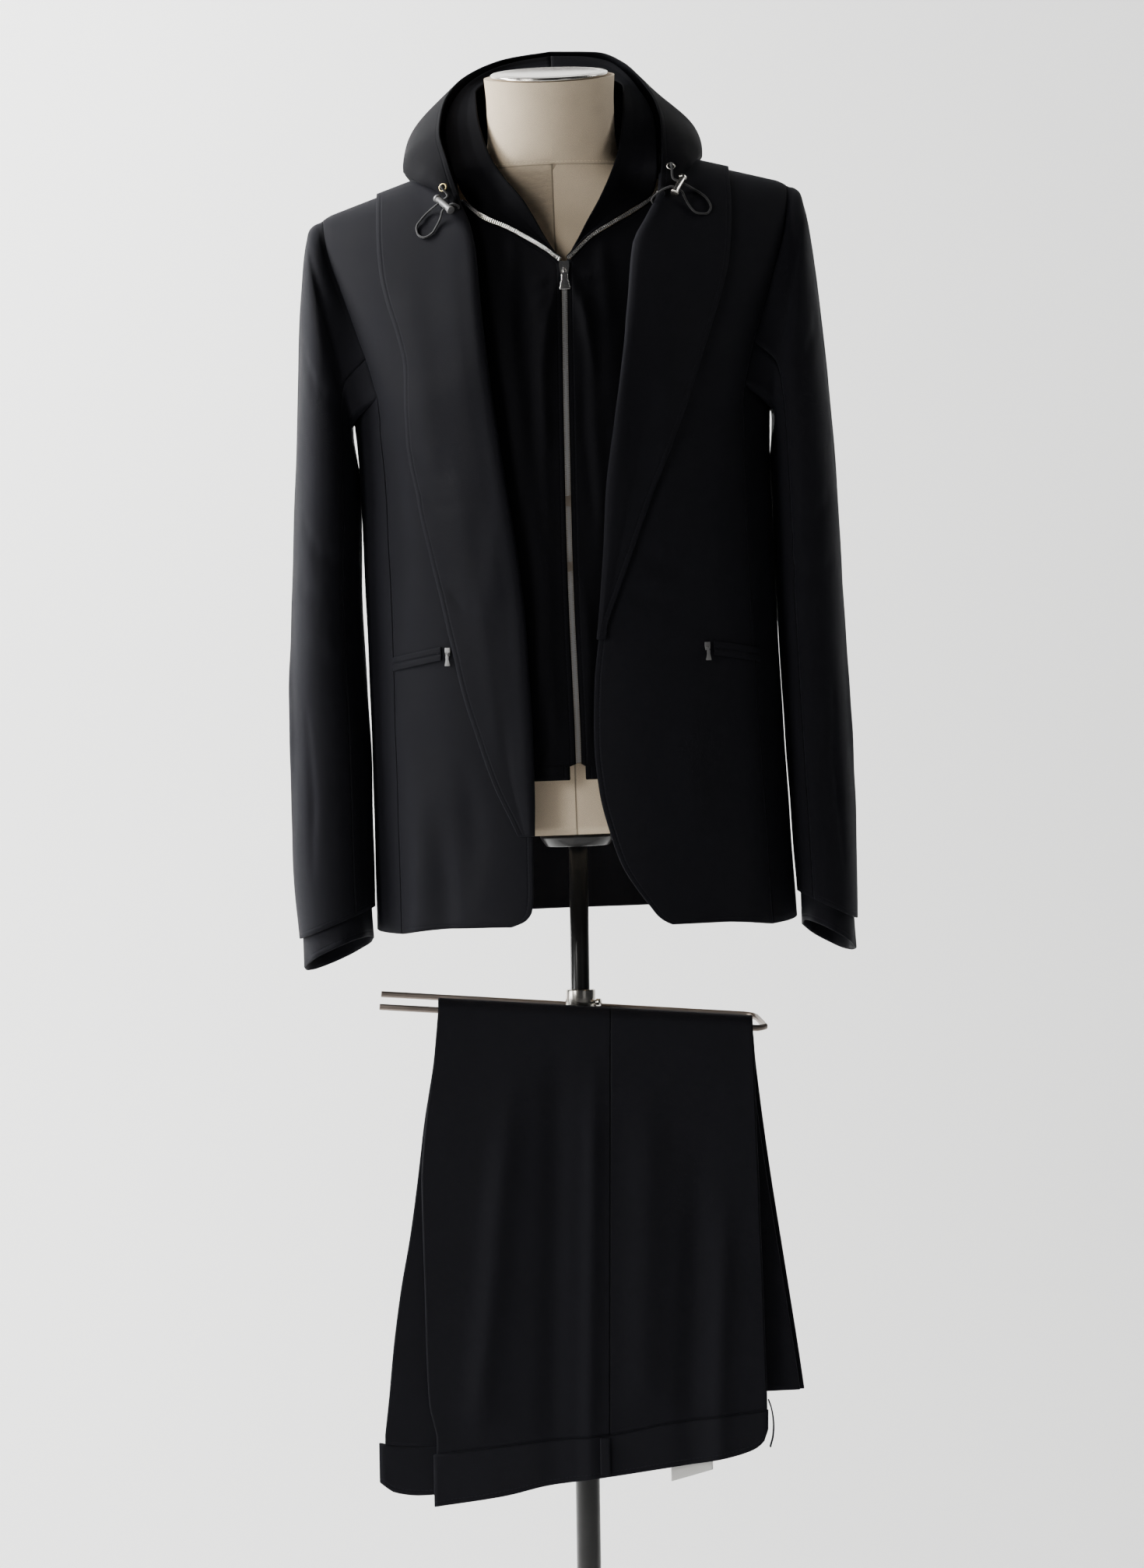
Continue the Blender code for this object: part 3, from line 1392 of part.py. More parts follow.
# ---------------------------------------------------------------- form and stand
def make_form():
    """The dress form, its cap, its socket, and the stand that carries it."""
    sides = 26
    heights = [row[0] for row in FORM_SECTIONS]
    points = []
    for z, half, front, back, centre, tilt in FORM_SECTIONS:
        for k in range(sides):
            angle = 2 * math.pi * k / sides
            power = 2 / (2.3 if z < 1480 else 2.0)
            s, c = math.sin(angle), math.cos(angle)
            x = half * math.copysign(abs(s) ** power, s)
            y = -(front if c > 0 else back) * math.copysign(abs(c) ** power, c)
            points.append((x, centre + y, z + tilt * y))
    faces = [tuple(range(sides)), tuple(range(len(points) - sides, len(points)))]
    for i in range(len(heights) - 1):
        for k in range(sides):
            n = (k + 1) % sides
            faces.append((i * sides + k, i * sides + n, (i + 1) * sides + n, (i + 1) * sides + k))
    add_object("dress_form", points, faces, "linen", True)
    top = FORM_SECTIONS[-1]
    place = frame_at((0, top[4], top[0] + 0.4), (0, -math.sin(math.atan(top[5])), 1), (1, 0, 0))
    cap = ((0, 0), (52.0, 0), (52.8, 1.0), (52.6, 2.6), (51.0, 3.4), (0, 3.8))
    turned("neck_cap", cap, 32, "nickel", place, leaning=True)
    socket_top = FORM_BOTTOM - SEAM_GAP
    socket = (
        (0, socket_top - SOCKET_HEIGHT),
        (SOCKET_RADIUS - 6, socket_top - SOCKET_HEIGHT),
        (SOCKET_RADIUS, socket_top - 4),
        (SOCKET_RADIUS, socket_top),
        (0, socket_top),
    )
    turned("form_socket", socket, 24, "black_enamel", leaning=True)


def make_stand():
    """Mast, clamp collar, trouser bar and base."""
    mast_top = FORM_BOTTOM - SOCKET_HEIGHT - 1.0
    radius = MAST_UPPER_RADIUS
    upper = ((0, MAST_UPPER_BOTTOM), (radius, MAST_UPPER_BOTTOM), (radius, mast_top), (0, mast_top))
    turned("mast_upper", upper, 20, "black_enamel")
    bore, out = MAST_LOWER_BORE, MAST_LOWER_RADIUS
    lower = ((bore, 8.3), (out, 8.3), (out, MAST_LOWER_TOP), (bore, MAST_LOWER_TOP))
    turned("mast_lower", lower, 20, "black_enamel")
    collar = (
        (out + 0.4, COLLAR_BOTTOM),
        (COLLAR_RADIUS, COLLAR_BOTTOM),
        (COLLAR_RADIUS, COLLAR_TOP),
        (bore, COLLAR_TOP),
        (bore, MAST_LOWER_TOP + SEAM_GAP),
        (out + 0.4, MAST_LOWER_TOP + SEAM_GAP),
    )
    turned("mast_collar", collar, 24, "nickel")
    away = Vector((0.9, -0.436, 0.0))
    place = frame_at(away * (COLLAR_RADIUS + SEAM_GAP), away, (0, 0, 1))
    place = Matrix.Translation((0, 0, SCREW_HEIGHT)) @ place
    screw = ((0, 0), (2.0, 0), (2.0, 2.0), (3.4, 2.4), (3.4, 6.0), (0, 6.6))
    turned("collar_screw", screw, 12, "nickel", place)
    base = (
        (0, 0),
        (BASE_RADIUS, 0),
        (BASE_RADIUS, 5),
        (BASE_RADIUS - 5, 8),
        (60, 11),
        (24, 16),
        (18, 22),
        (18, 40),
        (out + 0.4, 40),
        (out + 0.4, 8),
        (0, 8),
    )
    turned("stand_base", base, 24, "black_enamel")
    make_bar()


def rail_z(x):
    """Height of the front rail's middle, which droops to the right."""
    return RAIL_MID_Z - np.asarray(x, float) * RAIL_DROP


def make_bar():
    """The trouser bar: one rod bent into a long hairpin, open at its left end."""
    turn = [(-1, RAIL_FRONT_Y), (0.0, RAIL_FRONT_Y + 2.0), (1.5, RAIL_FRONT_Y + 6.5)]
    points = [(RAIL_LEFT_X, RAIL_FRONT_Y), (-60, RAIL_FRONT_Y), (60, RAIL_FRONT_Y)]
    points += [(RAIL_RIGHT_X - 6 + 3 * a, y) for a, y in turn]
    points += [(RAIL_RIGHT_X - 8, RAIL_REAR_Y - 8), (RAIL_RIGHT_X - 12, RAIL_REAR_Y - 2)]
    points += [(RAIL_RIGHT_X - 18, RAIL_REAR_Y), (60, RAIL_REAR_Y), (-60, RAIL_REAR_Y)]
    points += [(RAIL_LEFT_X, RAIL_REAR_Y)]
    path = []
    for x, y in points:
        rise = RAIL_REAR_RISE * (y - RAIL_FRONT_Y) / (RAIL_REAR_Y - RAIL_FRONT_Y)
        path.append((x, y, float(rail_z(x)) + rise))
    corners = [(1, 0.5), (0.5, 1), (-0.5, 1), (-1, 0.5)]
    corners += [(-a, -b) for a, b in corners]
    section = [(RAIL_HALF_WIDTH * a, RAIL_HALF_HEIGHT * b) for a, b in corners]
    swept("trouser_bar", path, section, "nickel", (0, 0, 1), leaning=False)


# ---------------------------------------------------------------- trousers
def trouser_bulge(x, z):
    """How far the folds stand out on the front drop."""
    out = 0.0 * x
    for top, bottom, low, high, half_width, height in TROUSER_FOLDS:
        middle = bottom + (top - bottom) * (z - low) / (high - low)
        fade = ramp(z, low - 40, low + 30) * (1 - ramp(z, high - 120, high))
        out = out + height * fade * hump(x - middle, half_width)
    return out


def drop_slack(x, z):
    """How far the near leg stands off the layers behind it."""
    hang = NEAR_SLACK * (1 - ramp(z, 560, 735))
    return hang + float(trouser_bulge(np.array(x), np.array(z)))


def drop_places(reach, edges, bottom, hem, columns, loose):
    """Grid over the bar at one distance from the rail: up the front, over and down the back."""
    left, right, rear_left, rear_right = edges
    across = np.linspace(0, 1, columns)
    rows = []
    for part in (0.0, 0.05, 0.13, 0.23, 0.34, 0.45, 0.56, 0.67, 0.78, 0.9):
        row = []
        for c in across:
            x = 0.0
            z = 500.0
            for _ in range(4):
                z = bottom(x) + (float(rail_z(x)) - bottom(x)) * part
                x = left(z) + (right(z) - left(z)) * c
            out = drop_slack(x, z) if loose else 0.0
            row.append((x, RAIL_FRONT_Y - reach - out, z))
        rows.append(row)
    for step in range(7):
        angle = math.pi * (1 - step / 6)
        row = []
        for c in across:
            z = 741.0
            x = left(z) + (right(z) - left(z)) * c
            top = float(rail_z(x)) + 1.0
            y = RAIL_FRONT_Y + reach * math.cos(angle)
            row.append((x, y, top + reach * math.sin(angle)))
        rows.append(row)
    for part in (0.1, 0.25, 0.42, 0.6, 0.78, 0.91, 1.0):
        row = []
        for c in across:
            x = 60.0
            z = 500.0
            for _ in range(4):
                z = float(rail_z(x)) + (hem(x) - float(rail_z(x))) * part
                x = rear_left(z) + (rear_right(z) - rear_left(z)) * c
            row.append((x, RAIL_FRONT_Y + reach, z))
        rows.append(row)
    return np.array(rows)


def trouser_wall(name, reach, thick, edges, columns, bottom, loose):
    """One layer of the folded trousers, as a wall of that thickness outside its reach."""

    def hem(x):
        return TROUSER_HEM_LEFT + (TROUSER_HEM_RIGHT - TROUSER_HEM_LEFT) * (x + 20) / 215

    grids = []
    for distance in (reach + thick, reach):
        grids.append(drop_places(distance, edges, bottom, hem, columns, loose))
    wall(name, grids[0], grids[1], "suiting", leaning=False)


def column_of(table, column, add=0.0):
    """A one-number function of height, or of x, from a table's column."""
    return lambda at: float(smooth(table, column, at)) + add


def make_trousers():
    """The near leg outside, the far leg next to the bar, and the hidden layers between them.

    A leg's four edges are its left and right ones in front, then its left and right ones behind.
    """
    gap = SEAM_GAP / 2
    seam_left = column_of(TROUSER_SEAM_FRONT, 1, -gap)
    seam_right = column_of(TROUSER_SEAM_FRONT, 1, gap)
    rear_seam_left = column_of(REAR_SEAM, 1, -gap)
    rear_seam_right = column_of(REAR_SEAM, 1, gap)
    near_left = column_of(TROUSER_FRONT, 1)
    right = column_of(TROUSER_FRONT, 2)
    rear_left = column_of(TROUSER_REAR, 1)
    rear_right = column_of(TROUSER_REAR, 2)
    far_left = column_of(TROUSER_FRONT, 3)
    far_rear_left = column_of(TROUSER_REAR, 1, 4)
    far_right = column_of(TROUSER_FRONT, 2, -4)
    far_rear_right = column_of(TROUSER_REAR, 2, -4)
    near_bottom = column_of(WAIST_NEAR, 1, SEAM_GAP)
    far_bottom = column_of(WAIST_FAR, 1, FAR_SEAM_GAP)

    near = (
        ("front_near", (near_left, seam_left, rear_left, rear_seam_left), 9),
        ("back_near", (seam_right, right, rear_seam_right, rear_right), 8),
    )
    for name, edges, columns in near:
        trouser_wall(
            f"trouser_{name}", NEAR_REACH, TROUSER_WALL, edges, columns, near_bottom, True
        )
    far = (
        ("front_far", (far_left, seam_left, far_rear_left, rear_seam_left), 4),
        ("back_far", (seam_right, far_right, rear_seam_right, far_rear_right), 3),
    )
    for name, edges, columns in far:
        trouser_wall(f"trouser_{name}", FAR_REACH, TROUSER_WALL, edges, columns, far_bottom, False)
    edges = (
        column_of(TROUSER_FRONT, 1, 5),
        column_of(TROUSER_FRONT, 2, -5),
        column_of(TROUSER_REAR, 1, 6),
        column_of(TROUSER_REAR, 2, -6),
    )
    trouser_wall("trouser_layers", 5.1, 3.1, edges, 5, near_bottom, False)
    band = make_waistband("near", WAIST_NEAR, NEAR_REACH, (-137, 162), 12)
    make_waistband("far", WAIST_FAR, FAR_REACH, (-186, 150), 8)
    make_band_details(band)


def make_waistband(name, table, reach, ends, columns):
    """A waistband below its seam, on the same layer as its leg."""
    outer, inner = [], []
    for part in (0.0, 0.5, 1.0):
        rows = ([], [])
        for x in np.linspace(ends[0], ends[1], columns):
            top = float(smooth(table, 1, x))
            low = float(smooth(table, 2, x))
            z = top + (low - top) * part
            out = drop_slack(x, top) + BAND_EXTRA if reach == NEAR_REACH else 0.0
            y = RAIL_FRONT_Y - reach - out
            rows[0].append((x, y - TROUSER_WALL, z))
            rows[1].append((x, y, z))
        outer.append(rows[0])
        inner.append(rows[1])
    wall(f"waistband_{name}", np.array(outer), np.array(inner), "suiting", leaning=False)
    return np.array(outer)


def make_band_details(band):
    """Belt loops on the near waistband, and the blank label behind its free edge."""
    heights = ((356, 1.4), (346, 2.2), (332, 2.2), (323, 1.4))
    path = [lifted([band], 16.0, z, lift) for z, lift in heights]
    swept("belt_loop_front", path, box_section(8.0, 1.4), "suiting", (0, -1, 0), leaning=False)
    side = [(162.6, 388), (165.2, 380), (166.8, 368), (166.2, 356), (163.6, 346)]
    path = [(x, RAIL_FRONT_Y - NEAR_REACH - NEAR_SLACK, z) for x, z in side]
    swept("belt_loop_side", path, box_section(1.4, 7.0), "suiting", (0, -1, 0), leaning=False)
    outer, inner = [], []
    for x, low in ((75.0, 316.0), (112.0, 326.0)):
        y = RAIL_FRONT_Y - NEAR_REACH
        outer.append([(x, y - 0.9, low), (x, y - 0.9, low + 16)])
        inner.append([(x, y, low), (x, y, low + 16)])
    wall("waist_label", np.array(outer), np.array(inner), "label", leaning=False)


def clear_scene():
    """Removes what the scene holds at the start."""
    for old in list(bpy.data.objects):
        bpy.data.objects.remove(old, do_unlink=True)


def main():
    """Makes every solid, from the form and its stand out to the trims."""
    clear_scene()
    make_form()
    make_stand()
    fronts = make_jacket_body()
    inserts = {}
    for side in SIDE:
        lapel = make_lapel(side)
        make_sleeve(side)
        inserts[side] = make_insert(side)
        hood = make_hood(side)
        make_hood_inner(side)
        make_pocket(side, fronts)
        surfaces = [hood, lapel, fronts[side], inserts[side]]
        make_eyelet(side, surfaces)
        make_lock(side, surfaces)
        make_drawcord(side, surfaces)
    make_collar()
    make_zip(inserts)
    between = np.stack([inserts["right"][:, 0], inserts["left"][:, 0]], axis=1)
    make_slider(("zip_slider", "zip_pull"), [between], *ZIP_PULL_AT, 1.0, "nickel")
    make_trousers()


main()
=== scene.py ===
"""The looks of a business suit on its dress form and stand.

Each cloth piece is drawn again at a fine pitch from the garment's own sizes, with its small folds,
seams and stitching, and rides on the body of the solid that it stands for. Sizes are in
millimetres and are turned into metres when a mesh is made. The front faces -Y and the wearer's
right side is at -X. The figure is drawn upright and then leans a little on its mast.
"""

import logging
import math
from dataclasses import dataclass
from enum import Enum
from typing import Callable

import bmesh
import bpy
import numpy as np
from mathutils import Matrix, Vector


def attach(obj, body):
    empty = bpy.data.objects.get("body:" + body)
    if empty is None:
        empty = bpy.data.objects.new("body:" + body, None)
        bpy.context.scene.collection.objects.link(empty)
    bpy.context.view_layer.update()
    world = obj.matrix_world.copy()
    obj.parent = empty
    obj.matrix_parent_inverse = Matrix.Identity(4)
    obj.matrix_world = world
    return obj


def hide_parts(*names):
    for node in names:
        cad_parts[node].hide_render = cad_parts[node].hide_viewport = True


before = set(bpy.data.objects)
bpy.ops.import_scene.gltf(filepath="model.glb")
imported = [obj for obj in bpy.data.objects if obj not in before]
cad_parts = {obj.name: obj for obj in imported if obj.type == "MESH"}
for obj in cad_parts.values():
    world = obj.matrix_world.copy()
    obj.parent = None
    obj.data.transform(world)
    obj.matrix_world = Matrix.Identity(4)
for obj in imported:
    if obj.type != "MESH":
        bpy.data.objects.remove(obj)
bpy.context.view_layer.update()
LOG = logging.getLogger("suit")

Table = tuple[tuple[float, ...], ...]

# ---------------------------------------------------------------- driving sizes, millimetres
METRES = 0.001
SEAM_GAP = 0.3
JACKET_WALL = 1.8
SLEEVE_WALL = 1.6
INSERT_WALL = 1.6
HOOD_WALL = 1.8
TROUSER_WALL = 1.6

FIGURE_LEAN = 0.0227
FIGURE_PIVOT = 885.0

HEM_FRONT = 816.0
HEM_BACK = 825.0
UNDERARM_ROW = 1290.0
UNDERARM_DIP = 20.0
SHOULDER_NECK_X = 86.0
SHOULDER_NECK_Z = 1501.0
SHOULDER_SLOPE = 0.30
SHOULDER_TILT = 0.04
BACK_NECK_DIP = 12.0

RAIL_FRONT_Y = -26.0
RAIL_MID_Z = 731.0
RAIL_DROP = math.tan(math.radians(4.07))
FAR_REACH = 3.1
NEAR_REACH = 8.6
NEAR_SLACK = 3.4
FAR_SEAM_GAP = 1.2
BAND_EXTRA = 0.6

# The insert: how far it lies inside the jacket, and where its fronts end at the sides.
INSERT_INSET = 8.0
INSERT_HALF = 110.0

ZIP_END_Z = 958.0
ZIP_TOP_Z = 1398.0
ZIP_HALF = 2.4
# How square the body's sections are.
BODY_POWER = 2.4
# Where the side body's seams lie, as parts of the body's half width.
SIDE_SEAM_FRONT = 0.866
SIDE_SEAM_BACK = 0.914
# The hidden layers of the trousers: how far their faces are from the rail's middle.
LAYERS_INSIDE = 5.1
LAYERS_OUTSIDE = 8.2
NECK_SEAM_Z = 1492.0
# Where the turned-back fronts start.
LAPEL_START = {"right": 896.0, "left": 1068.0}
# The gap between the right sleeve and the body: its width, middle height and half height.
SLEEVE_OFF = (3.2, 1085.0, 62.0)
# The fronts of the insert: their edges below the zip's end, and the top of their level rows.
FRONT_LOW_X = {"right": -5.0, "left": 9.6}
LEVEL_ROWS_Z = 959.5
# The cloth over the bar has the edges that it has at this height.
OVER_BAR_Z = 741.0
# Where the hem behind starts, and how wide it is.
HEM_LEFT_X = -20.0
HEM_WIDTH = 215.0
# A degree round a sleeve in the table of its folds, millimetres.
PER_DEGREE = 1.3
LABEL_WALL = 0.9
LOOP_WALL = 1.4
# How far a cloth's cut edge stands out, as a part of its thickness.
EDGE_BULGE = 0.32
# A distance in the maps that is far from every seam.
FAR_AWAY = 900.0
RIDGE_FRONT = 1.8
RIDGE_BACK = 2.2
LAPEL_HEIGHT = 3.4
CORD_RADIUS = 0.95

# Jacket body: height, centre x, half width, front depth, back depth.
JACKET_SECTIONS = (
    (805, 5.5, 189.5, 123, 119), (900, 4.5, 187.0, 120, 116), (1000, 3.0, 185.0, 119, 107),
    (1110, 2.0, 184.0, 120, 98), (1200, 1.0, 184.0, 126, 106), (1290, 0.0, 188.0, 129, 119),
    (1340, 0.0, 199.0, 128, 124), (1390, 0.0, 214.0, 126, 126), (1440, 0.0, 226.0, 124, 126),
    (1520, 0.0, 231.0, 122, 124)
)
# Dress form: height, half width, front depth, back depth, centre y, forward tilt of the ring.
FORM_SECTIONS = (
    (897, 148, 90, 94, 0, 0.0), (904, 154, 95, 99, 0, 0.0), (960, 154, 97, 98, 0, 0.0),
    (1050, 144, 97, 86, 0, 0.0), (1120, 140, 98, 82, 0, 0.0), (1200, 149, 104, 90, 0, 0.0),
    (1290, 161, 109, 102, 0, 0.0), (1345, 172, 101, 106, 0, 0.0), (1385, 181, 82, 100, 0, 0.0),
    (1412, 184, 66, 92, 0, 0.0), (1434, 177, 54, 84, 0, 0.0), (1450, 160, 45, 75, 0, 0.0),
    (1463, 136, 40, 66, -1, 0.0), (1474, 110, 38, 58, -2, 0.0), (1483, 86, 40, 49, -3, 0.0),
    (1492, 68, 44, 45, -4, 0.0), (1503, 60, 47, 47, -5, 0.02), (1525, 57, 49, 47, -7, 0.07),
    (1550, 57, 50, 48, -9, 0.14), (1574, 58.5, 51, 49, -11, 0.22)
)
# Where each front ends toward the middle (the roll, then the cutaway edge): height, right, left.
ROLL_LINE = (
    (811, -100.0, 89.0), (816, -72.0, 80.0), (819, -60.0, 74.0), (824, -48.5, 68.0),
    (832, -43.0, 62.0), (849, -41.0, 50.0), (870, -40.5, 38.0), (898, -40.0, 29.0),
    (935, -38.8, 21.0), (976, -38.5, 18.1), (1030, -39.5, 20.4), (1084, -41.0, 27.9),
    (1150, -46.4, 34.9), (1195, -52.0, 38.6), (1258, -59.5, 48.1), (1309, -65.0, 56.2),
    (1359, -69.2, 63.5), (1415, -73.0, 71.0), (1437, -77.0, 83.0), (1462, -86.0, 95.0),
    (1504, -90.0, 98.0)
)
# Armhole edge as seen from the front and from behind: height, front x, back x.
ARMHOLE = (
    (1290, 163.0, 172.0), (1318, 170.0, 177.0), (1346, 179.0, 184.0), (1382, 190.5, 193.0),
    (1431, 205.0, 206.0), (1462, 209.0, 209.0)
)
# Free edge of each turned-back front: height, right, left.
LAPEL_EDGE = (
    (892, -49.0, 40.0), (909, -56.5, 40.0), (942, -71.0, 40.0), (980, -83.0, 40.0),
    (1021, -94.5, 40.0), (1066, -103.6, 29.5), (1083, -107.0, 33.5), (1110, -112.0, 43.9),
    (1149, -120.0, 59.0), (1184, -126.5, 72.5), (1210, -130.3, 83.1), (1240, -135.3, 95.0),
    (1275, -135.5, 110.0), (1313, -135.0, 124.0), (1350, -141.3, 136.0), (1384, -150.2, 146.0),
    (1412, -154.7, 152.0), (1465, -157.0, 156.0), (1490, -157.0, 156.0)
)
# The turned-back front across its width: distance out from the roll, height over the panel.
LAPEL_PROFILE = ((-2.4, 0.4), (-2.9, 2.6), (-1.0, 5.2), (4.0, 6.2), (14.0, 5.0))

# Right sleeve: outer x, outer z, inner x, inner z, half depth, centre y.
SLEEVE_RINGS = (
    (220.0, 1453, 188.8, 1266, 72, 0), (226.0, 1436, 189.2, 1258, 75, 1),
    (230.0, 1402, 189.2, 1246, 78, 2), (234.0, 1350, 188.6, 1226, 80, 4),
    (238.0, 1282, 188.0, 1198, 80, 6), (243.0, 1210, 187.6, 1160, 78, 8),
    (248.0, 1135, 187.6, 1110, 75, 8), (252.0, 1060, 187.8, 1052, 70, 5),
    (255.0, 985, 188.4, 990, 64, -2), (256.0, 915, 189.0, 928, 58, -10),
    (255.5, 858, 189.0, 875, 54, -17), (252.5, 812, 187.5, 838, 51, -22)
)
# Left sleeve, where it differs: inner x and outer x.
LEFT_SLEEVE_INNER = (190, 190.5, 190.5, 190.3, 190.2, 190.2, 190.5, 191.5, 193.5, 196, 198, 199)
LEFT_SLEEVE_OUTER = (221, 227, 231, 236, 241, 244.5, 246.5, 247.5, 249, 250, 249.5, 247.5)

# Large folds in the jacket body: angle round the body in degrees, low end, high end, drift in
# degrees, half width in degrees, height.
JACKET_FOLDS = (
    (-58.0, 800, 960, 3.0, 4.0, 3.2), (-49.0, 800, 930, -2.0, 4.0, -2.6),
    (60.0, 800, 950, -3.0, 4.5, 2.8), (150.0, 800, 1010, -6.0, 7.0, 2.6),
    (-144.0, 800, 980, 5.0, 6.0, 2.8), (168.0, 1060, 1240, 8.0, 8.0, -1.8),
    (-160.0, 1040, 1220, -7.0, 8.0, -2.0)
)
# Folds in the insert: x at the top, x at the bottom, low end, high end, half width, height.
INSERT_FOLDS = (
    (-14.0, -30.0, 1000, 1390, 9.0, 3.0), (-34.0, -26.0, 1060, 1400, 8.0, -2.4),
    (24.0, 34.0, 1120, 1380, 8.0, 2.4), (40.0, 20.0, 960, 1200, 8.0, -1.8)
)
ZIP_MIDDLE = ((945, 2.6), (970, 3.5), (1114, 2.2), (1260, 4.0), (1394, 7.0))
# Opened zip: x, height, from the slider out to each end.
ZIP_V = {
    "right": ((2.5, 1404), (-10, 1415), (-25.5, 1425.4), (-44.3, 1437), (-63, 1446), (-80, 1462)),
    "left": ((12.0, 1405), (33, 1425.3), (52.5, 1437), (72, 1448), (85.5, 1457), (91.5, 1463)),
}
# Rim of the hood lying back: x, y, z from the zip's end up to the centre seam.
RIM = {
    "right": (
        (-84, -73, 1464),
        (-93, -54, 1496),
        (-100, -33, 1526),
        (-97, -10, 1550),
        (-86, 20, 1573),
        (-68, 48, 1589),
        (-38, 70, 1602),
        (2, 78, 1608),
    ),
    "left": (
        (95, -73, 1465),
        (98, -52, 1497),
        (99, -26, 1527),
        (96, 0, 1548),
        (86, 28, 1570),
        (69, 54, 1592),
        (45, 72, 1605),
        (2, 78, 1608),
    ),
}
# Lower edge of the hood's outer side, from the zip's end round to the centre of the back.
BASE = {
    "right": (
        (-88, -77, 1455),
        (-104, -59, 1471),
        (-119, -42, 1480),
        (-134, -4, 1494),
        (-134, 44, 1497),
        (-108, 98, 1472),
        (-60, 132, 1445),
        (2, 144, 1434),
    ),
    "left": (
        (99, -76, 1456),
        (113, -56, 1474),
        (124, -42, 1486),
        (134, -4, 1500),
        (136, 44, 1503),
        (110, 98, 1478),
        (62, 132, 1449),
        (2, 144, 1434),
    ),
}
# Bulge of the hood between rim and lower edge: outward, backward, upward.
HOOD_BULGE = (
    (1, 0, 1), (3, 0, 2), (6, 0, 3), (9, 8, 4), (12, 22, 8), (16, 36, 12), (12, 46, 16), (0, 50, 18)
)
# Where the hood's inner side reaches the neck: x, y, z from the slider round to the back.
NECK = {
    "right": (
        (4, -86, 1400),
        (-13, -72, 1432),
        (-27, -67, 1458),
        (-46, -55, 1484),
        (-58, -40, 1509),
        (-66, -12, 1545),
        (-67, 18, 1566),
        (-52, 44, 1580),
        (-26, 56, 1588),
        (2, 60, 1591),
    ),
    "left": (
        (11, -86, 1402),
        (27, -72, 1434),
        (42, -64, 1460),
        (53, -52, 1484),
        (61, -38, 1509),
        (66, -12, 1545),
        (67, 18, 1566),
        (52, 44, 1580),
        (28, 56, 1588),
        (2, 60, 1591),
    ),
}
# The drawcords' routes on the upright figure, from the eyelet through the lock, round the free
# loop, through the lock again and into the seam.
CORD_ROUTE = {
    "right": (
        (-97.58, -66.63, 1472.89),
        (-99.40, -69.92, 1473.78),
        (-97.04, -70.80, 1470.32),
        (-94.34, -71.37, 1466.99),
        (-93.83, -72.34, 1464.11),
        (-97.49, -69.54, 1461.77),
        (-100.72, -70.13, 1459.38),
        (-103.93, -70.51, 1457.01),
        (-107.11, -69.05, 1454.80),
        (-110.18, -67.40, 1452.52),
        (-113.09, -67.40, 1449.94),
        (-115.86, -68.41, 1447.04),
        (-118.38, -70.12, 1443.99),
        (-121.00, -70.98, 1440.75),
        (-122.04, -72.60, 1437.42),
        (-121.57, -74.86, 1433.81),
        (-120.52, -76.89, 1430.89),
        (-117.52, -79.22, 1428.54),
        (-113.99, -80.47, 1428.28),
        (-110.07, -80.71, 1430.17),
        (-107.20, -80.30, 1432.67),
        (-105.05, -79.11, 1436.11),
        (-103.03, -78.04, 1439.60),
        (-101.12, -77.42, 1443.16),
        (-99.72, -77.24, 1447.03),
        (-98.54, -77.16, 1451.01),
        (-95.81, -76.72, 1453.66),
        (-92.59, -76.13, 1456.05),
        (-88.86, -78.20, 1456.95),
        (-84.42, -76.26, 1455.09),
        (-83.93, -74.51, 1452.93),
    ),
    "left": (
        (104.70, -60.58, 1484.91),
        (105.34, -63.99, 1486.83),
        (105.42, -66.59, 1483.73),
        (105.48, -68.30, 1479.62),
        (105.55, -69.55, 1475.30),
        (106.66, -69.88, 1472.47),
        (110.66, -69.93, 1470.56),
        (114.26, -69.98, 1468.59),
        (117.61, -69.70, 1466.82),
        (120.15, -66.57, 1465.69),
        (122.42, -62.08, 1464.73),
        (124.76, -58.74, 1463.59),
        (127.60, -58.40, 1461.90),
        (131.07, -59.12, 1459.44),
        (134.27, -60.31, 1456.57),
        (136.32, -62.08, 1453.60),
        (137.87, -64.32, 1450.27),
        (138.69, -66.79, 1446.97),
        (137.71, -68.74, 1443.57),
        (134.97, -71.09, 1440.71),
        (131.63, -72.18, 1440.49),
        (127.34, -73.10, 1441.02),
        (123.98, -73.19, 1442.58),
        (121.11, -72.18, 1445.89),
        (118.84, -71.22, 1449.30),
        (116.98, -70.52, 1453.02),
        (115.49, -71.55, 1456.21),
        (114.29, -75.27, 1459.07),
        (112.23, -76.82, 1461.44),
        (108.53, -76.76, 1463.39),
        (104.93, -76.71, 1465.20),
        (100.87, -76.64, 1464.40),
        (96.34, -76.57, 1462.48),
        (91.99, -76.46, 1459.84),
        (88.49, -76.30, 1456.87),
        (86.47, -76.05, 1453.98),
        (87.62, -74.93, 1451.38),
    ),
}

# The pockets' middle lines, as x and height of both ends.
POCKET_LINE = {"right": (-113.5, 1060.6, -157.0, 1053.2), "left": (125.5, 1057.0, 166.0, 1050.0)}

# Trousers, heights and edges: height, near left edge, near right edge, far left edge.
TROUSER_FRONT = (
    (360, -134.0, 161.0, -180.5), (393, -140.5, 161.0, -176.5), (440, -142.0, 160.0, -171.5),
    (489, -142.6, 159.0, -164.5), (540, -143.5, 157.5, -155.0), (587, -144.0, 156.5, -148.0),
    (640, -139.5, 155.0, -141.0), (700, -131.0, 154.0, -131.0), (745, -126.5, 153.0, -126.5)
)
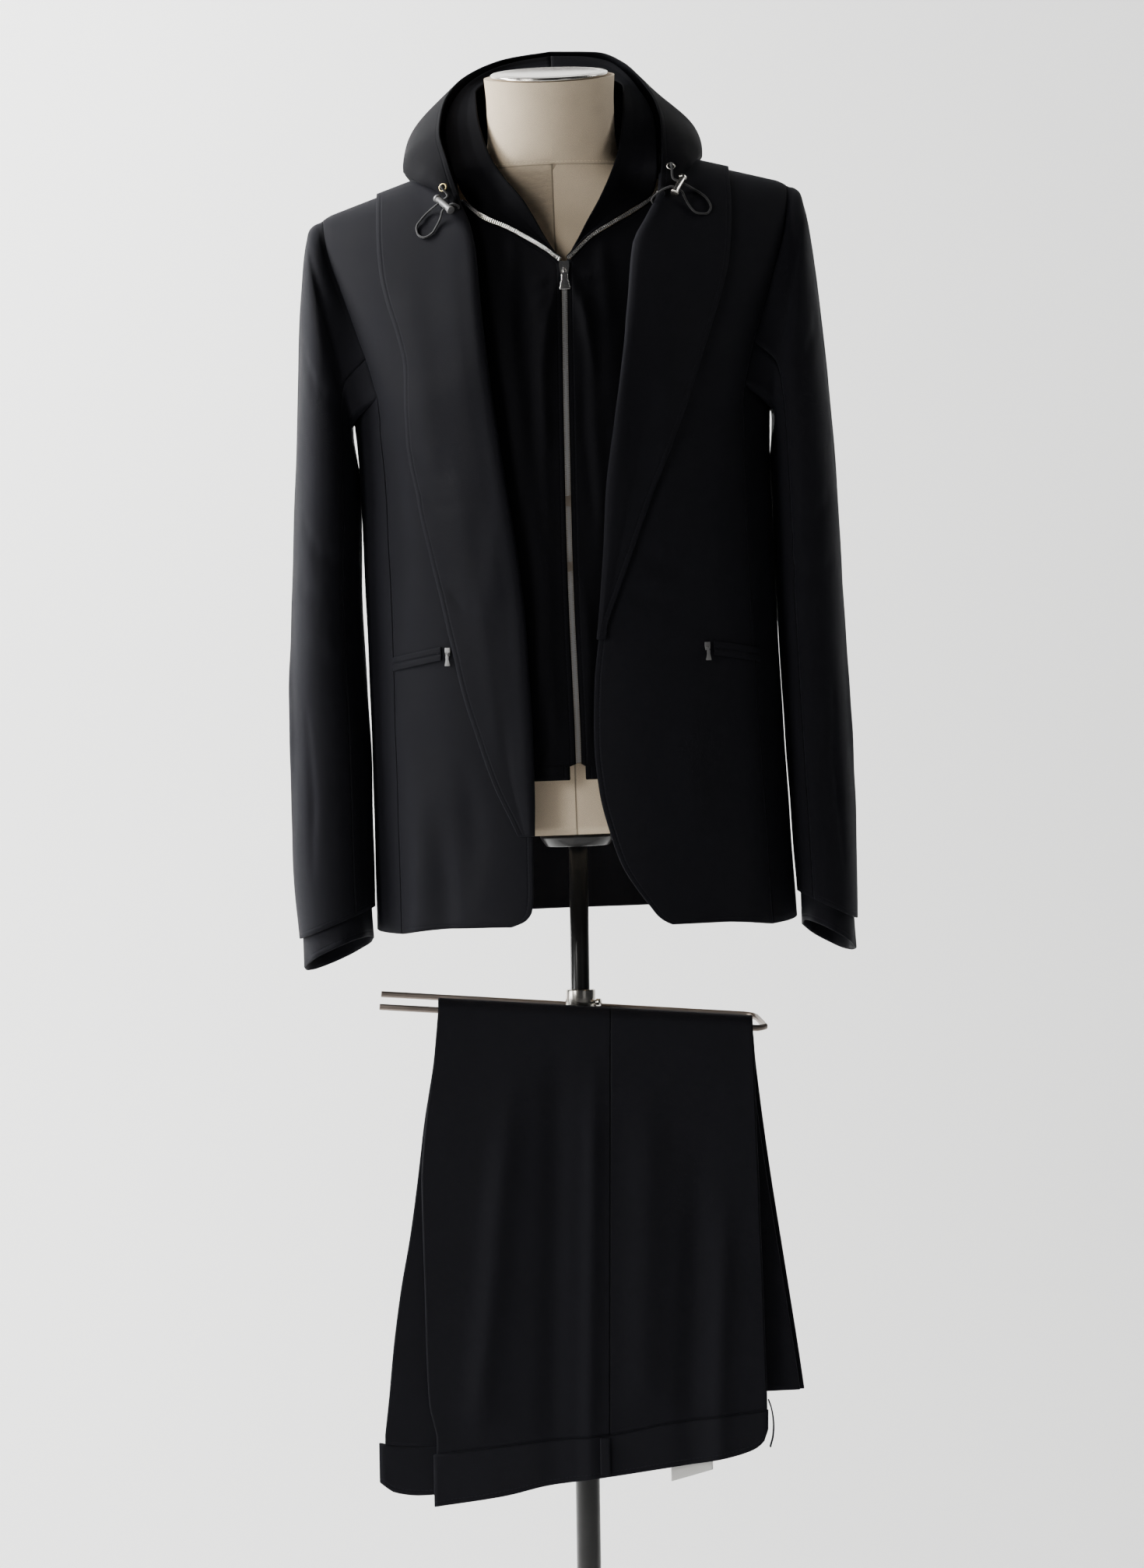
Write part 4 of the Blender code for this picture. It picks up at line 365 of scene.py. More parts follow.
# Back drop: height, left edge, right edge.
TROUSER_REAR = (
    (390, -22.0, 196.0), (428, -32.0, 191.0), (470, -44.0, 185.0), (532, -66.0, 176.0),
    (595, -88.0, 167.0), (660, -108.0, 159.0), (700, -118.0, 155.0), (745, -126.5, 153.0)
)
# Waistband: x, its sewn edge, its free edge.
WAIST_NEAR = (
    (-137, 343, 297), (-73, 350, 306), (-38, 354, 314), (24, 359, 322), (73, 368, 329),
    (115, 373, 335), (141, 376, 341), (158, 378, 351), (162, 379, 362)
)
WAIST_FAR = (
    (-186, 352, 318), (-173, 350, 309), (-152, 349, 306), (-100, 352, 310), (150, 376, 344)
)
TROUSER_SEAM_FRONT = ((745, 27.0), (330, 20.0))
REAR_SEAM = ((745, 27.0), (390, 96.0))
TROUSER_HEM_LEFT = 388.0
TROUSER_HEM_RIGHT = 395.0
# Folds in the trousers' front drop: x at the top, x at the bottom, low, high, half width, height.
TROUSER_FOLDS = (
    (-60.0, -95.0, 380, 700, 13.0, 4.0), (-20.0, -30.0, 360, 735, 12.0, -3.0),
    (12.0, 2.0, 350, 720, 8.0, 3.5), (60.0, 52.0, 400, 700, 16.0, 3.0),
    (105.0, 92.0, 370, 640, 12.0, -3.2), (128.0, 118.0, 365, 600, 9.0, 3.0)
)


# ---------------------------------------------------------------- small mathematics
def smooth(table: Table, column: int, at: np.ndarray | float) -> np.ndarray:
    """A column of a table as a smooth curve of its first column, with no overshoot.

    Args:
        table: rows of numbers, the first column rising or falling.
        column: the column to read.
        at: places along the first column.

    Returns:
        The column's values there.
    """
    xs = np.array([row[0] for row in table], float)
    ys = np.array([row[column] for row in table], float)
    if xs[0] > xs[-1]:
        xs, ys = xs[::-1], ys[::-1]
    step = np.diff(xs)
    rise = np.diff(ys) / step
    slope = np.zeros(len(xs))
    same = rise[:-1] * rise[1:] > 0
    weight_a = 2 * step[1:] + step[:-1]
    weight_b = step[1:] + 2 * step[:-1]
    before = np.where(same, rise[:-1], 1.0)
    after = np.where(same, rise[1:], 1.0)
    mean = (weight_a + weight_b) / (weight_a / before + weight_b / after)
    slope[1:-1] = np.where(same, mean, 0.0)
    slope[0], slope[-1] = rise[0], rise[-1]
    at = np.clip(np.asarray(at, float), xs[0], xs[-1])
    index = np.clip(np.searchsorted(xs, at) - 1, 0, len(xs) - 2)
    t = (at - xs[index]) / step[index]
    h = step[index]
    low, high = ys[index], ys[index + 1]
    return (
        low * (1 + 2 * t) * (1 - t) ** 2
        + h * slope[index] * t * (1 - t) ** 2
        + high * t * t * (3 - 2 * t)
        + h * slope[index + 1] * t * t * (t - 1)
    )


def along(points: np.ndarray, at: np.ndarray) -> np.ndarray:
    """Points at parts of the length of a smooth curve through the given ones."""
    points = np.array(points, float)
    run = np.concatenate([[0.0], np.cumsum(np.linalg.norm(np.diff(points, axis=0), axis=1))])
    table = np.column_stack([run / run[-1], points])
    return np.column_stack([smooth(table, axis + 1, at) for axis in range(points.shape[1])])


def between_rows(rows: np.ndarray, at: np.ndarray) -> np.ndarray:
    """Rows of a grid at fractional row numbers, on smooth curves down its columns.

    Args:
        rows: grid of points, one entry of the first axis for each row.
        at: row numbers, which may lie between rows.

    Returns:
        One row for each of them.
    """
    first = 2 * rows[0] - rows[1]
    last = 2 * rows[-1] - rows[-2]
    padded = np.concatenate([first[None], rows, last[None]])
    k = np.clip(np.floor(at).astype(int), 0, len(rows) - 2)
    t = (at - k).reshape((-1,) + (1,) * (rows.ndim - 1))
    a, b, c, d = (padded[k + step] for step in range(4))
    return 0.5 * (
        2 * b + (c - a) * t + (2 * a - 5 * b + 4 * c - d) * t**2 + (3 * b - a - 3 * c + d) * t**3
    )


def hump(distance: np.ndarray, half_width: float) -> np.ndarray:
    """A soft ridge: 1 in the middle, 0 beyond about two half widths."""
    return np.exp(-((distance / half_width) ** 2))


def ramp(value: np.ndarray | float, low: float, high: float) -> np.ndarray:
    """0 below low, 1 above high and a soft step between."""
    t = np.clip((value - low) / (high - low), 0, 1)
    return t * t * (3 - 2 * t)


def ripple(points: np.ndarray, length: float, seed: int) -> np.ndarray:
    """Soft unevenness between about -1 and 1 that varies over about a length.

    Args:
        points: places, with x, y and z on the last axis.
        length: distance over which it varies, millimetres.
        seed: picks one pattern.

    Returns:
        One number for each place.
    """
    rng = np.random.default_rng(seed)
    total = np.zeros(points.shape[:-1])
    for _ in range(7):
        way = rng.normal(size=3)
        way *= 2 * math.pi / (np.linalg.norm(way) * length * rng.uniform(0.7, 1.7))
        total += np.sin(points @ way + rng.uniform(0, 2 * math.pi))
    return total / 3.2


def graded(count: int, near: float = 0.004) -> np.ndarray:
    """Parts from 0 to 1 across a piece, closer together at both ends."""
    inner = np.linspace(4 * near, 1 - 4 * near, count - 4)
    return np.concatenate([[0.0, 1.5 * near], inner, [1 - 1.5 * near, 1.0]])


def normals_of(points: np.ndarray, wrap: bool = False) -> np.ndarray:
    """Unit normals of a grid of points, by differences along its rows and columns."""
    down = np.gradient(points, axis=0)
    if wrap:
        across = np.roll(points, -1, axis=1) - np.roll(points, 1, axis=1)
    else:
        across = np.gradient(points, axis=1)
    normal = np.cross(across, down)
    return normal / np.maximum(np.linalg.norm(normal, axis=-1, keepdims=True), 1e-9)


def lean(points: np.ndarray) -> np.ndarray:
    """The figure's points, leaning on its mast."""
    points = np.asarray(points, float)
    turned = points.copy()
    up = points[..., 2] - FIGURE_PIVOT
    cos, sin = math.cos(FIGURE_LEAN), math.sin(FIGURE_LEAN)
    turned[..., 0] = points[..., 0] * cos - up * sin
    turned[..., 2] = FIGURE_PIVOT + points[..., 0] * sin + up * cos
    return turned


class Side(Enum):
    """A side of the wearer."""

    RIGHT = "right"
    LEFT = "left"

    @property
    def sign(self) -> float:
        """The direction of x on that side."""
        return -1.0 if self is Side.RIGHT else 1.0

    @property
    def column(self) -> int:
        """The side's column in a table of right and left places."""
        return 1 if self is Side.RIGHT else 2


class Body(Enum):
    """The bodies of the frame that pieces ride on."""

    STAND = "stand"
    MAST = "mast_tube"
    FIGURE = "figure"
    ZIP_PULL = "zip_pull_body"
    RIGHT_PULL = "pocket_pull_right_body"
    LEFT_PULL = "pocket_pull_left_body"


@dataclass(frozen=True)
class Fold:
    """A crease or a ridge along a line on a cloth, in millimetres.

    Attributes:
        line: places along the fold, as (across, up).
        width: half width in its middle.
        height: how far it stands out; negative for a trough.
    """

    line: tuple[tuple[float, float], ...]
    width: float
    height: float

    def relief(self, across: np.ndarray, up: np.ndarray) -> np.ndarray:
        """How far the fold lifts the cloth at each place."""
        run = 0.0
        best = np.full(np.broadcast(across, up).shape, np.inf)
        part = np.zeros_like(best)
        for (ax, az), (bx, bz) in zip(self.line, self.line[1:]):
            dx, dz = bx - ax, bz - az
            length = math.hypot(dx, dz)
            t = np.clip(((across - ax) * dx + (up - az) * dz) / length**2, 0, 1)
            away = np.hypot(across - ax - t * dx, up - az - t * dz)
            nearer = away < best
            best = np.where(nearer, away, best)
            part = np.where(nearer, run + t * length, part)
            run += length
        part = part / run
        taper = np.sin(np.pi * np.clip(0.04 + 0.92 * part, 0, 1)) ** 0.7
        uneven = 1 + 0.18 * np.sin(9.0 * part + self.width) + 0.1 * np.sin(23.0 * part)
        width = self.width * (0.65 + 0.35 * taper)
        return self.height * taper * uneven * hump(best, width)


# ---------------------------------------------------------------- finishes
class Shader:
    """A material's node tree, built one node at a time."""

    def __init__(self, name: str) -> None:
        """Starts a material that holds only its Principled shader."""
        self.material = bpy.data.materials.new(name)
        self.material.use_nodes = True
        self.nodes = self.material.node_tree.nodes
        self.principled = self.nodes["Principled BSDF"]

    def node(self, kind: str, **inputs: object) -> bpy.types.Node:
        """Adds a node.

        Args:
            kind: the node's type, such as ShaderNodeMath.
            inputs: its settings by attribute name, or its sockets by number as in_0.

        Returns:
            The node.
        """
        made = self.nodes.new(kind)
        for key, value in inputs.items():
            if key.startswith("in_"):
                index = int(key[3:]) if key[3:].isdigit() else key[3:].replace("_", " ")
                self.feed(made.inputs[index], value)
            else:
                setattr(made, key, value)
        return made

    def feed(self, socket: bpy.types.NodeSocket, value: object) -> None:
        """Links a socket to another one, or gives it a constant."""
        if isinstance(value, bpy.types.NodeSocket):
            self.material.node_tree.links.new(value, socket)
        else:
            socket.default_value = value

    def math(self, operation: str, a: object, b: object = 0.0) -> bpy.types.NodeSocket:
        """A Math node's result."""
        return self.node("ShaderNodeMath", operation=operation, in_0=a, in_1=b).outputs[0]

    def noise(self, vector: object, scale: float, detail: float = 2.0) -> bpy.types.NodeSocket:
        """A Noise texture's factor."""
        made = self.node("ShaderNodeTexNoise", in_Vector=vector, in_Scale=scale, in_Detail=detail)
        return made.outputs[0]

    def uv(self, layer: str) -> bpy.types.NodeSocket:
        """One of the piece's UV maps."""
        return self.node("ShaderNodeUVMap", uv_map=layer).outputs[0]

    def place(self) -> bpy.types.NodeSocket:
        """The piece's own coordinates."""
        return self.node("ShaderNodeTexCoord").outputs["Object"]

    def mix(self, factor: object, a: object, b: object) -> bpy.types.NodeSocket:
        """A colour between two."""
        made = self.node("ShaderNodeMix", data_type="RGBA")
        self.feed(made.inputs[0], factor)
        self.feed(made.inputs[6], a)
        self.feed(made.inputs[7], b)
        return made.outputs[2]

    def bump(self, height: object, distance: float, strength: float = 1.0) -> None:
        """Raises the surface by a height."""
        made = self.node("ShaderNodeBump", in_Height=height)
        made.inputs["Distance"].default_value = distance
        made.inputs["Strength"].default_value = strength
        self.feed(self.principled.inputs["Normal"], made.outputs[0])

    def set(self, **sockets: object) -> None:
        """Feeds the Principled shader's sockets, named with _ for a space."""
        for key, value in sockets.items():
            self.feed(self.principled.inputs[key.replace("_", " ")], value)


def rgba(colour: tuple[float, float, float], scale: float = 1.0) -> tuple[float, ...]:
    """A colour with its alpha."""
    return (*(min(1.0, part * scale) for part in colour), 1.0)


@dataclass(frozen=True)
class Finish:
    """One material of the part.

    Attributes:
        name: the material's name.
        slot: the slot that it belongs to; empty in the studio.
        colour: its mean colour.
    """

    name: str
    slot: str
    colour: tuple[float, float, float]

    def build(self) -> bpy.types.Material:
        """The material, made when first asked for."""
        known = bpy.data.materials.get(self.name)
        if known:
            return known
        make = Shader(self.name)
        self.draw(make)
        return make.material

    def draw(self, make: Shader) -> None:
        """Draws the finish into a new material."""
        raise NotImplementedError


@dataclass(frozen=True)
class ClothFinish(Finish):
    """A woven cloth: its colour, weave, nap and sheen, with sewn lines from the seam map and
    painted shade in its seam grooves.

    Attributes:
        pitch: width of one weave ridge, millimetres.
        contrast: how far raised threads differ in colour.
        twill: whether the ridges run diagonally.
        roughness: of the threads.
        sheen: weight of the nap's sheen.
        relief: height of the weave, millimetres.
        shine: strength of its plain reflection.
    """

    pitch: float
    contrast: float = 0.25
    twill: bool = True
    roughness: float = 0.7
    sheen: float = 0.3
    relief: float = 0.12
    shine: float = 0.09

    def draw(self, make: Shader) -> None:
        """Draws the finish into a new material."""
        uv = make.uv("UVMap")
        parts = make.node("ShaderNodeSeparateXYZ", in_0=uv).outputs
        turn = 2 * math.pi / (self.pitch * METRES)
        if self.twill:
            diagonal = make.math("ADD", parts[0], parts[1])
            ridge = make.math("SINE", make.math("MULTIPLY", diagonal, turn * 0.71))
            cross = make.math("SINE", make.math("MULTIPLY", parts[1], turn * 1.6))
            weave = make.math("ADD", ridge, make.math("MULTIPLY", cross, 0.45))
        else:
            warp = make.math("SINE", make.math("MULTIPLY", parts[0], turn))
            weft = make.math("SINE", make.math("MULTIPLY", parts[1], turn))
            weave = make.math("MULTIPLY", warp, weft)
        fibre = make.noise(uv, 1 / (0.9 * METRES), 3.0)
        mottle = make.noise(uv, 1 / (38 * METRES), 3.0)
        light = make.math("MULTIPLY", weave, self.contrast * 0.3)
        light = make.math("ADD", light, make.math("MULTIPLY", fibre, self.contrast * 1.2))
        light = make.math("ADD", light, make.math("MULTIPLY", mottle, 0.5))
        colour = make.mix(light, rgba(self.colour, 0.72), rgba(self.colour, 1.5))

        seam = make.node("ShaderNodeSeparateXYZ", in_0=make.uv("seam")).outputs
        groove_and_shade = self.near(make, seam[1], 0.0011)
        sewn = make.node("ShaderNodeSeparateXYZ", in_0=make.uv("stitch")).outputs
        off = make.math("ABSOLUTE", make.math("SUBTRACT", sewn[1], 0.0042))
        row = make.math("LESS_THAN", off, 0.00035)
        step = make.math("FRACT", make.math("MULTIPLY", sewn[0], 1 / 0.0036))
        thread = make.math("MULTIPLY", row, make.math("LESS_THAN", step, 0.62))
        sink = self.near(make, off, 0.0012)
        # Painted shade: the cloth is painted darker along each seam's groove, standing in for the
        # shade in the seam's dip; the same mask also bumps the groove in.
        colour = make.mix(make.math("MULTIPLY", groove_and_shade, 0.75), colour, rgba(self.colour, 0.25))
        colour = make.mix(make.math("MULTIPLY", thread, 0.5), colour, rgba(self.colour, 2.2))

        height = make.math("MULTIPLY", weave, self.relief * 0.35)
        height = make.math("ADD", height, make.math("MULTIPLY", fibre, self.relief))
        height = make.math("SUBTRACT", height, make.math("MULTIPLY", groove_and_shade, 0.75))
        height = make.math("SUBTRACT", height, make.math("MULTIPLY", sink, 0.3))
        height = make.math("ADD", height, make.math("MULTIPLY", thread, 0.35))
        make.bump(height, METRES)
        rough = make.math("ADD", self.roughness - 0.08, make.math("MULTIPLY", mottle, 0.16))
        make.set(Base_Color=colour, Roughness=rough, Sheen_Weight=self.sheen)
        make.set(Sheen_Roughness=0.4, Sheen_Tint=(0.5, 0.53, 0.68, 1.0))
        make.set(Specular_IOR_Level=self.shine)

    @staticmethod
    def near(make: Shader, away: bpy.types.NodeSocket, reach: float) -> bpy.types.NodeSocket:
        """1 on a line, falling to 0 at a distance from it.

        Args:
            make: the material being built.
            away: signed distance from the line, metres.
            reach: where it has faded, metres.

        Returns:
            The factor.
        """
        made = make.node("ShaderNodeMapRange", in_0=make.math("ABSOLUTE", away), in_1=0.0)
        for index, value in ((2, reach), (3, 1.0), (4, 0.0)):
            make.feed(made.inputs[index], value)
        return made.outputs[0]


@dataclass(frozen=True)
class MetalFinish(Finish):
    """A plated or polished metal with fine scratches.

    Attributes:
        roughness: of the clean metal.
        wear: how much the scratches and smudges add to it.
        scale: size of a smudge, millimetres.
    """

    roughness: float
    wear: float = 0.12
    scale: float = 6.0

    def draw(self, make: Shader) -> None:
        """Draws the finish into a new material."""
        place = make.place()
        smudge = make.noise(place, 1 / (self.scale * METRES), 4.0)
        stretched = make.node("ShaderNodeMapping", in_Vector=place)
        stretched.inputs["Scale"].default_value = (1.0, 1.0, 0.08)
        scratch = make.noise(stretched.outputs[0], 1 / (0.5 * METRES), 2.0)
        colour = make.mix(smudge, rgba(self.colour, 0.86), rgba(self.colour, 1.1))
        rough = make.math("ADD", self.roughness, make.math("MULTIPLY", smudge, self.wear))
        make.set(Base_Color=colour, Metallic=1.0, Roughness=rough)
        make.bump(scratch, 0.02 * METRES, 0.35)


@dataclass(frozen=True)
class EnamelFinish(Finish):
    """A glossy paint with a little orange peel and dust.

    Attributes:
        roughness: under its clear top.
    """

    roughness: float = 0.3

    def draw(self, make: Shader) -> None:
        """Draws the finish into a new material."""
        place = make.place()
        peel = make.noise(place, 1 / (2.6 * METRES), 2.0)
        dust = make.noise(place, 1 / (22 * METRES), 5.0)
        colour = make.mix(dust, rgba(self.colour), rgba(self.colour, 1.8))
        rough = make.math("ADD", self.roughness - 0.05, make.math("MULTIPLY", dust, 0.12))
        make.set(Base_Color=colour, Roughness=rough, Coat_Weight=0.2, Coat_Roughness=0.12)
        make.set(Specular_IOR_Level=0.2)
        make.bump(peel, 0.05 * METRES, 0.4)


@dataclass(frozen=True)
class CordFinish(Finish):
    """A braided round elastic: a diamond pattern on the cord's own map."""

    def draw(self, make: Shader) -> None:
        """Draws the finish into a new material."""
        parts = make.node("ShaderNodeSeparateXYZ", in_0=make.uv("UVMap")).outputs
        one = make.math("ADD", parts[0], parts[1])
        two = make.math("SUBTRACT", parts[0], parts[1])
        turn = 2 * math.pi / 0.0011
        weave = make.math(
            "MULTIPLY", make.math("SINE", make.math("MULTIPLY", one, turn)),
            make.math("SINE", make.math("MULTIPLY", two, turn))
        )
        light = make.math("ADD", 0.4, make.math("MULTIPLY", weave, 0.35))
        colour = make.mix(light, rgba(self.colour, 0.6), rgba(self.colour, 1.8))
        make.set(Base_Color=colour, Roughness=0.72, Sheen_Weight=0.2)
        make.bump(weave, 0.12 * METRES, 0.8)


@dataclass(frozen=True)
class StudioFinish(Finish):
    """The floor's and the backdrop's matt pale paper."""

    def draw(self, make: Shader) -> None:
        """Draws the finish into a new material."""
        cloud = make.noise(make.place(), 1.4, 3.0)
        make.set(
            Base_Color=make.mix(cloud, rgba(self.colour, 0.97), rgba(self.colour, 1.02)),
            Roughness=0.85,
        )
        make.bump(make.noise(make.place(), 900.0), 0.0001, 0.2)
        behind = make.node("ShaderNodeNewGeometry").outputs["Backfacing"]
        clear = make.node("ShaderNodeBsdfTransparent").outputs[0]
        paper = make.principled.outputs[0]
        both = make.node("ShaderNodeMixShader", in_0=behind, in_1=paper, in_2=clear)
        make.feed(make.nodes["Material Output"].inputs["Surface"], both.outputs[0])


SUITING = ClothFinish(
    "navy suiting", "suiting", (0.0056, 0.0056, 0.0078), 0.55, 0.3, True, 0.74, 0.035
)
INSERT_CLOTH = ClothFinish(
    "smooth navy cloth", "insert_cloth", (0.0036, 0.0036, 0.0048), 0.4, 0.2, True, 0.72, 0.012,
    relief=0.06, shine=0.05,
)
LINEN = ClothFinish("undyed linen", "linen", (0.50, 0.41, 0.30), 1.5, 0.8, False, 0.85, 0.12, 0.3)
LABEL_CLOTH = ClothFinish("white label", "label", (0.72, 0.72, 0.68), 0.5, 0.2, True, 0.7, 0.2)
NICKEL = MetalFinish("polished nickel", "nickel", (0.66, 0.63, 0.58), 0.16)
BRIGHT_NICKEL = MetalFinish("bright nickel", "nickel", (0.80, 0.78, 0.75), 0.14)
GUNMETAL = MetalFinish("gunmetal", "gunmetal", (0.11, 0.10, 0.095), 0.2)
DARK_COIL = MetalFinish("dark zip coil", "gunmetal", (0.20, 0.17, 0.14), 0.35)
BAR_STEEL = MetalFinish("brown nickel", "nickel", (0.20, 0.17, 0.15), 0.3)
BRASS = MetalFinish("aged brass", "brass", (0.62, 0.50, 0.24), 0.24)
ENAMEL = EnamelFinish("black enamel", "black_enamel", (0.008, 0.008, 0.008))
ELASTIC = CordFinish("black elastic", "elastic", (0.012, 0.012, 0.013))
PAPER = StudioFinish("studio paper", "", (0.80, 0.80, 0.79))


# ---------------------------------------------------------------- cloth pieces
@dataclass
class Cloth:
    """A sheet of cloth with a real thickness, made from a grid of its outer face.

    Attributes:
        name: the piece's name.
        outer: rows by columns by three, millimetres, on the upright figure or the stand.
        thick: the cloth's thickness.
        finish: what it is made of.
        body: what it rides on.
        stands_for: the solids that it replaces.
        toward: a direction, or one for each point, on the outer side.
        held: how the cloth is held; not used.
        rests_on: what carries it; not used.
        leaning: whether the figure's lean is still to be put in.
        wrap: whether the last column joins the first.
        seams: edges with a sewn seam, of top, bottom, first and last.
        stitched: edges with a row of stitches beside them.
        inner: the inner face, if it isn't just the outer one moved in.
        small: whether it is a small piece, whose cut size is not logged.
        trims: small pieces that are sewn on this one; not used.
    """

    name: str
    outer: np.ndarray
    thick: float
    finish: ClothFinish
    body: Body
    stands_for: tuple[str, ...]
    toward: np.ndarray | tuple[float, float, float]
    held: str = "draped"
    rests_on: tuple[str, ...] = ("dress_form",)
    leaning: bool = True
    wrap: bool = False
    seams: tuple[str, ...] = ()
    stitched: tuple[str, ...] = ()
    inner: np.ndarray | None = None
    small: bool = False
    trims: tuple[str, ...] = ()

    def faces_out(self) -> np.ndarray:
        """Unit normals of the outer face."""
        normals = normals_of(self.outer, self.wrap)
        toward = np.broadcast_to(np.asarray(self.toward, float), normals.shape)
        return -normals if float(np.sum(normals * toward)) < 0 else normals

    def whole(self) -> np.ndarray:
        """The outer grid, with its first column again at its end if it wraps."""
        return np.concatenate([self.outer, self.outer[:, : int(self.wrap)]], axis=1)

    def runs(self) -> tuple[np.ndarray, np.ndarray]:
        """Length along the rows and down the columns to each point."""
        grid = self.whole()
        step_across = np.linalg.norm(np.diff(grid, axis=1), axis=2)
        step_down = np.linalg.norm(np.diff(grid, axis=0), axis=2)
        across = np.concatenate([np.zeros((len(grid), 1)), np.cumsum(step_across, axis=1)], axis=1)
        down = np.concatenate([np.zeros((1, grid.shape[1])), np.cumsum(step_down, axis=0)])
        return across, down

    def edge_map(self, edges: tuple[str, ...]) -> tuple[np.ndarray, np.ndarray]:
        """(run along, distance from) the nearest of some edges, in millimetres."""
        across, down = self.runs()
        away = np.full(across.shape, FAR_AWAY)
        run = np.zeros(across.shape)
        options = {
            "first": (across, down), "last": (across[:, -1:] - across, down), "top": (down, across),
            "bottom": (down[-1:] - down, across)
        }
        for edge in edges:
            distance, length = options[edge]
            nearer = distance < away
            away = np.where(nearer, distance, away)
            run = np.where(nearer, length, run)
        return run, away

    def build(self) -> bpy.types.Object:
        """Returns:
            Its object.
        """
        outer = self.outer
        normals = self.faces_out()
        inner = outer - self.thick * normals if self.inner is None else self.inner
        rows, columns = outer.shape[:2]
        count = rows * columns
        last = columns if self.wrap else columns - 1
        middle = (outer + inner) / 2
        points = [outer.reshape(-1, 3), inner.reshape(-1, 3)]
        index = np.arange(count).reshape(rows, columns)
        faces: list[tuple[int, ...]] = []
        ring = np.concatenate([index, index[:, :1]], axis=1) if self.wrap else index
        a, b = ring[:-1, :last], ring[:-1, 1 : last + 1]
        c, d = ring[1:, 1 : last + 1], ring[1:, :last]
        quads = np.stack([a, b, c, d], axis=-1).reshape(-1, 4)
        faces.extend(map(tuple, quads.tolist()))
        faces.extend(map(tuple, (quads[:, ::-1] + count).tolist()))
        border: list[tuple[np.ndarray, np.ndarray]] = []
        for row, before in ((0, 1), (rows - 1, rows - 2)):
            border.append((ring[row], middle[row] - middle[before]))
        if not self.wrap:
            for column, before in ((0, 1), (columns - 1, columns - 2)):
                border.append((index[:, column], middle[:, column] - middle[:, before]))
        extra = 2 * count
        for line, away in border:
            away = away / np.maximum(np.linalg.norm(away, axis=1, keepdims=True), 1e-9)
            flat = middle.reshape(-1, 3)[line[: len(away)]]
            points.append(flat + away * self.thick * EDGE_BULGE)
            number = np.arange(extra, extra + len(away))
            extra += len(away)
            if len(line) > len(away):
                number = np.append(number, number[0])
            for k in range(len(line) - 1):
                i, j = int(line[k]), int(line[k + 1])
                m, n = int(number[k]), int(number[k + 1])
                faces.append((i, j, n, m))
                faces.append((m, n, j + count, i + count))
        allpoints = np.concatenate(points)
        if self.leaning:
            allpoints = lean(allpoints)
        mesh = bpy.data.meshes.new(self.name)
        mesh.from_pydata((allpoints * METRES).tolist(), [], faces)
        self.write_maps(mesh, count, columns)
        close(mesh)
        mesh.shade_smooth()
        made = shown(mesh, self.finish)
        self.declare(made)
        return made

    def write_maps(self, mesh: bpy.types.Mesh, count: int, columns: int) -> None:
        """Gives the mesh its weave map, its seam map and its stitch map, in metres.

        Args:
            mesh: the piece's mesh.
            count: how many points its outer face has.
            columns: how many of them are in a row.
        """
        maps = {
            "UVMap": self.runs(), "seam": self.edge_map(self.seams),
            "stitch": self.edge_map(self.stitched),
        }
        loops, row, column = face_corners(mesh, count, columns, self.wrap)
        rim = loops >= 2 * count
        for name, (u, v) in maps.items():
            values = np.stack([u[row, column], v[row, column]], axis=1) * METRES
            if rim.any():
                values[rim] = (0.0, FAR_AWAY * METRES)
            if name != "UVMap":
                inside = (loops >= count) & ~rim
                values[inside, 1] = FAR_AWAY * METRES
            write_layer(mesh, name, values)

    def declare(self, made: bpy.types.Object) -> None:
        """Rides the piece on its body in place of the solids that it stands for, and logs its cut
        size unless it is small.
        """
        across, down = self.runs()
        grid = self.whole()
        one = np.cross(grid[:-1, 1:] - grid[:-1, :-1], grid[1:, :-1] - grid[:-1, :-1])
        two = np.cross(grid[:-1, 1:] - grid[1:, 1:], grid[1:, :-1] - grid[1:, 1:])
        area = float(np.sum(np.linalg.norm(one, axis=2) + np.linalg.norm(two, axis=2)) / 2) * 1e-6
        width = round(float(across[:, -1].max()) * METRES, 3)
        length = round(float(down[-1].max()) * METRES, 3)
        area = min(area, width * length)
        dress(made, self.body, self.finish.slot, *self.stands_for)
        if self.small:
            return
        LOG.info("%s is cut %.3f by %.3f m, %.4f m2", self.name, width, length, area)


def sew(
    node: str, outer: np.ndarray, toward: np.ndarray | tuple[float, float, float],
    thick: float = SLEEVE_WALL, finish: ClothFinish = SUITING, body: Body = Body.FIGURE,
    **more: object
) -> None:
    """Builds the cloth that stands for one solid and is named after it.

    Args:
        node: the solid.
        outer: the grid of its outer face.
        toward: a direction on its outer side.
        thick: the cloth's thickness.
        finish: what it is made of.
        body: what it rides on.
        more: other fields of Cloth.
    """
    Cloth(f"{node}_cloth", outer, thick, finish, body, (node,), toward, **more).build()


def face_corners(
    mesh: bpy.types.Mesh, count: int, columns: int, wrap: bool
) -> tuple[np.ndarray, np.ndarray, np.ndarray]:
    """The grid places of a mesh's face corners.

    Args:
        mesh: a mesh whose points are one grid, or several of the same size.
        count: how many points a grid has.
        columns: how many of them are in a row.
        wrap: whether the last column joins the first, which then counts as one past the last.

    Returns:
        Each corner's point, row and column.
    """
    loops = np.empty(len(mesh.loops), np.int64)
    mesh.loops.foreach_get("vertex_index", loops)
    row, column = np.divmod(loops % count, columns)
    if wrap:
        starts = np.empty(len(mesh.polygons), np.int64)
        totals = np.empty(len(mesh.polygons), np.int64)
        mesh.polygons.foreach_get("loop_start", starts)
        mesh.polygons.foreach_get("loop_total", totals)
        owner = np.repeat(np.arange(len(starts)), totals)
        widest = np.zeros(len(starts), np.int64)
        np.maximum.at(widest, owner, column)
        column = np.where((column == 0) & (widest[owner] > 1), columns, column)
    return loops, row, column


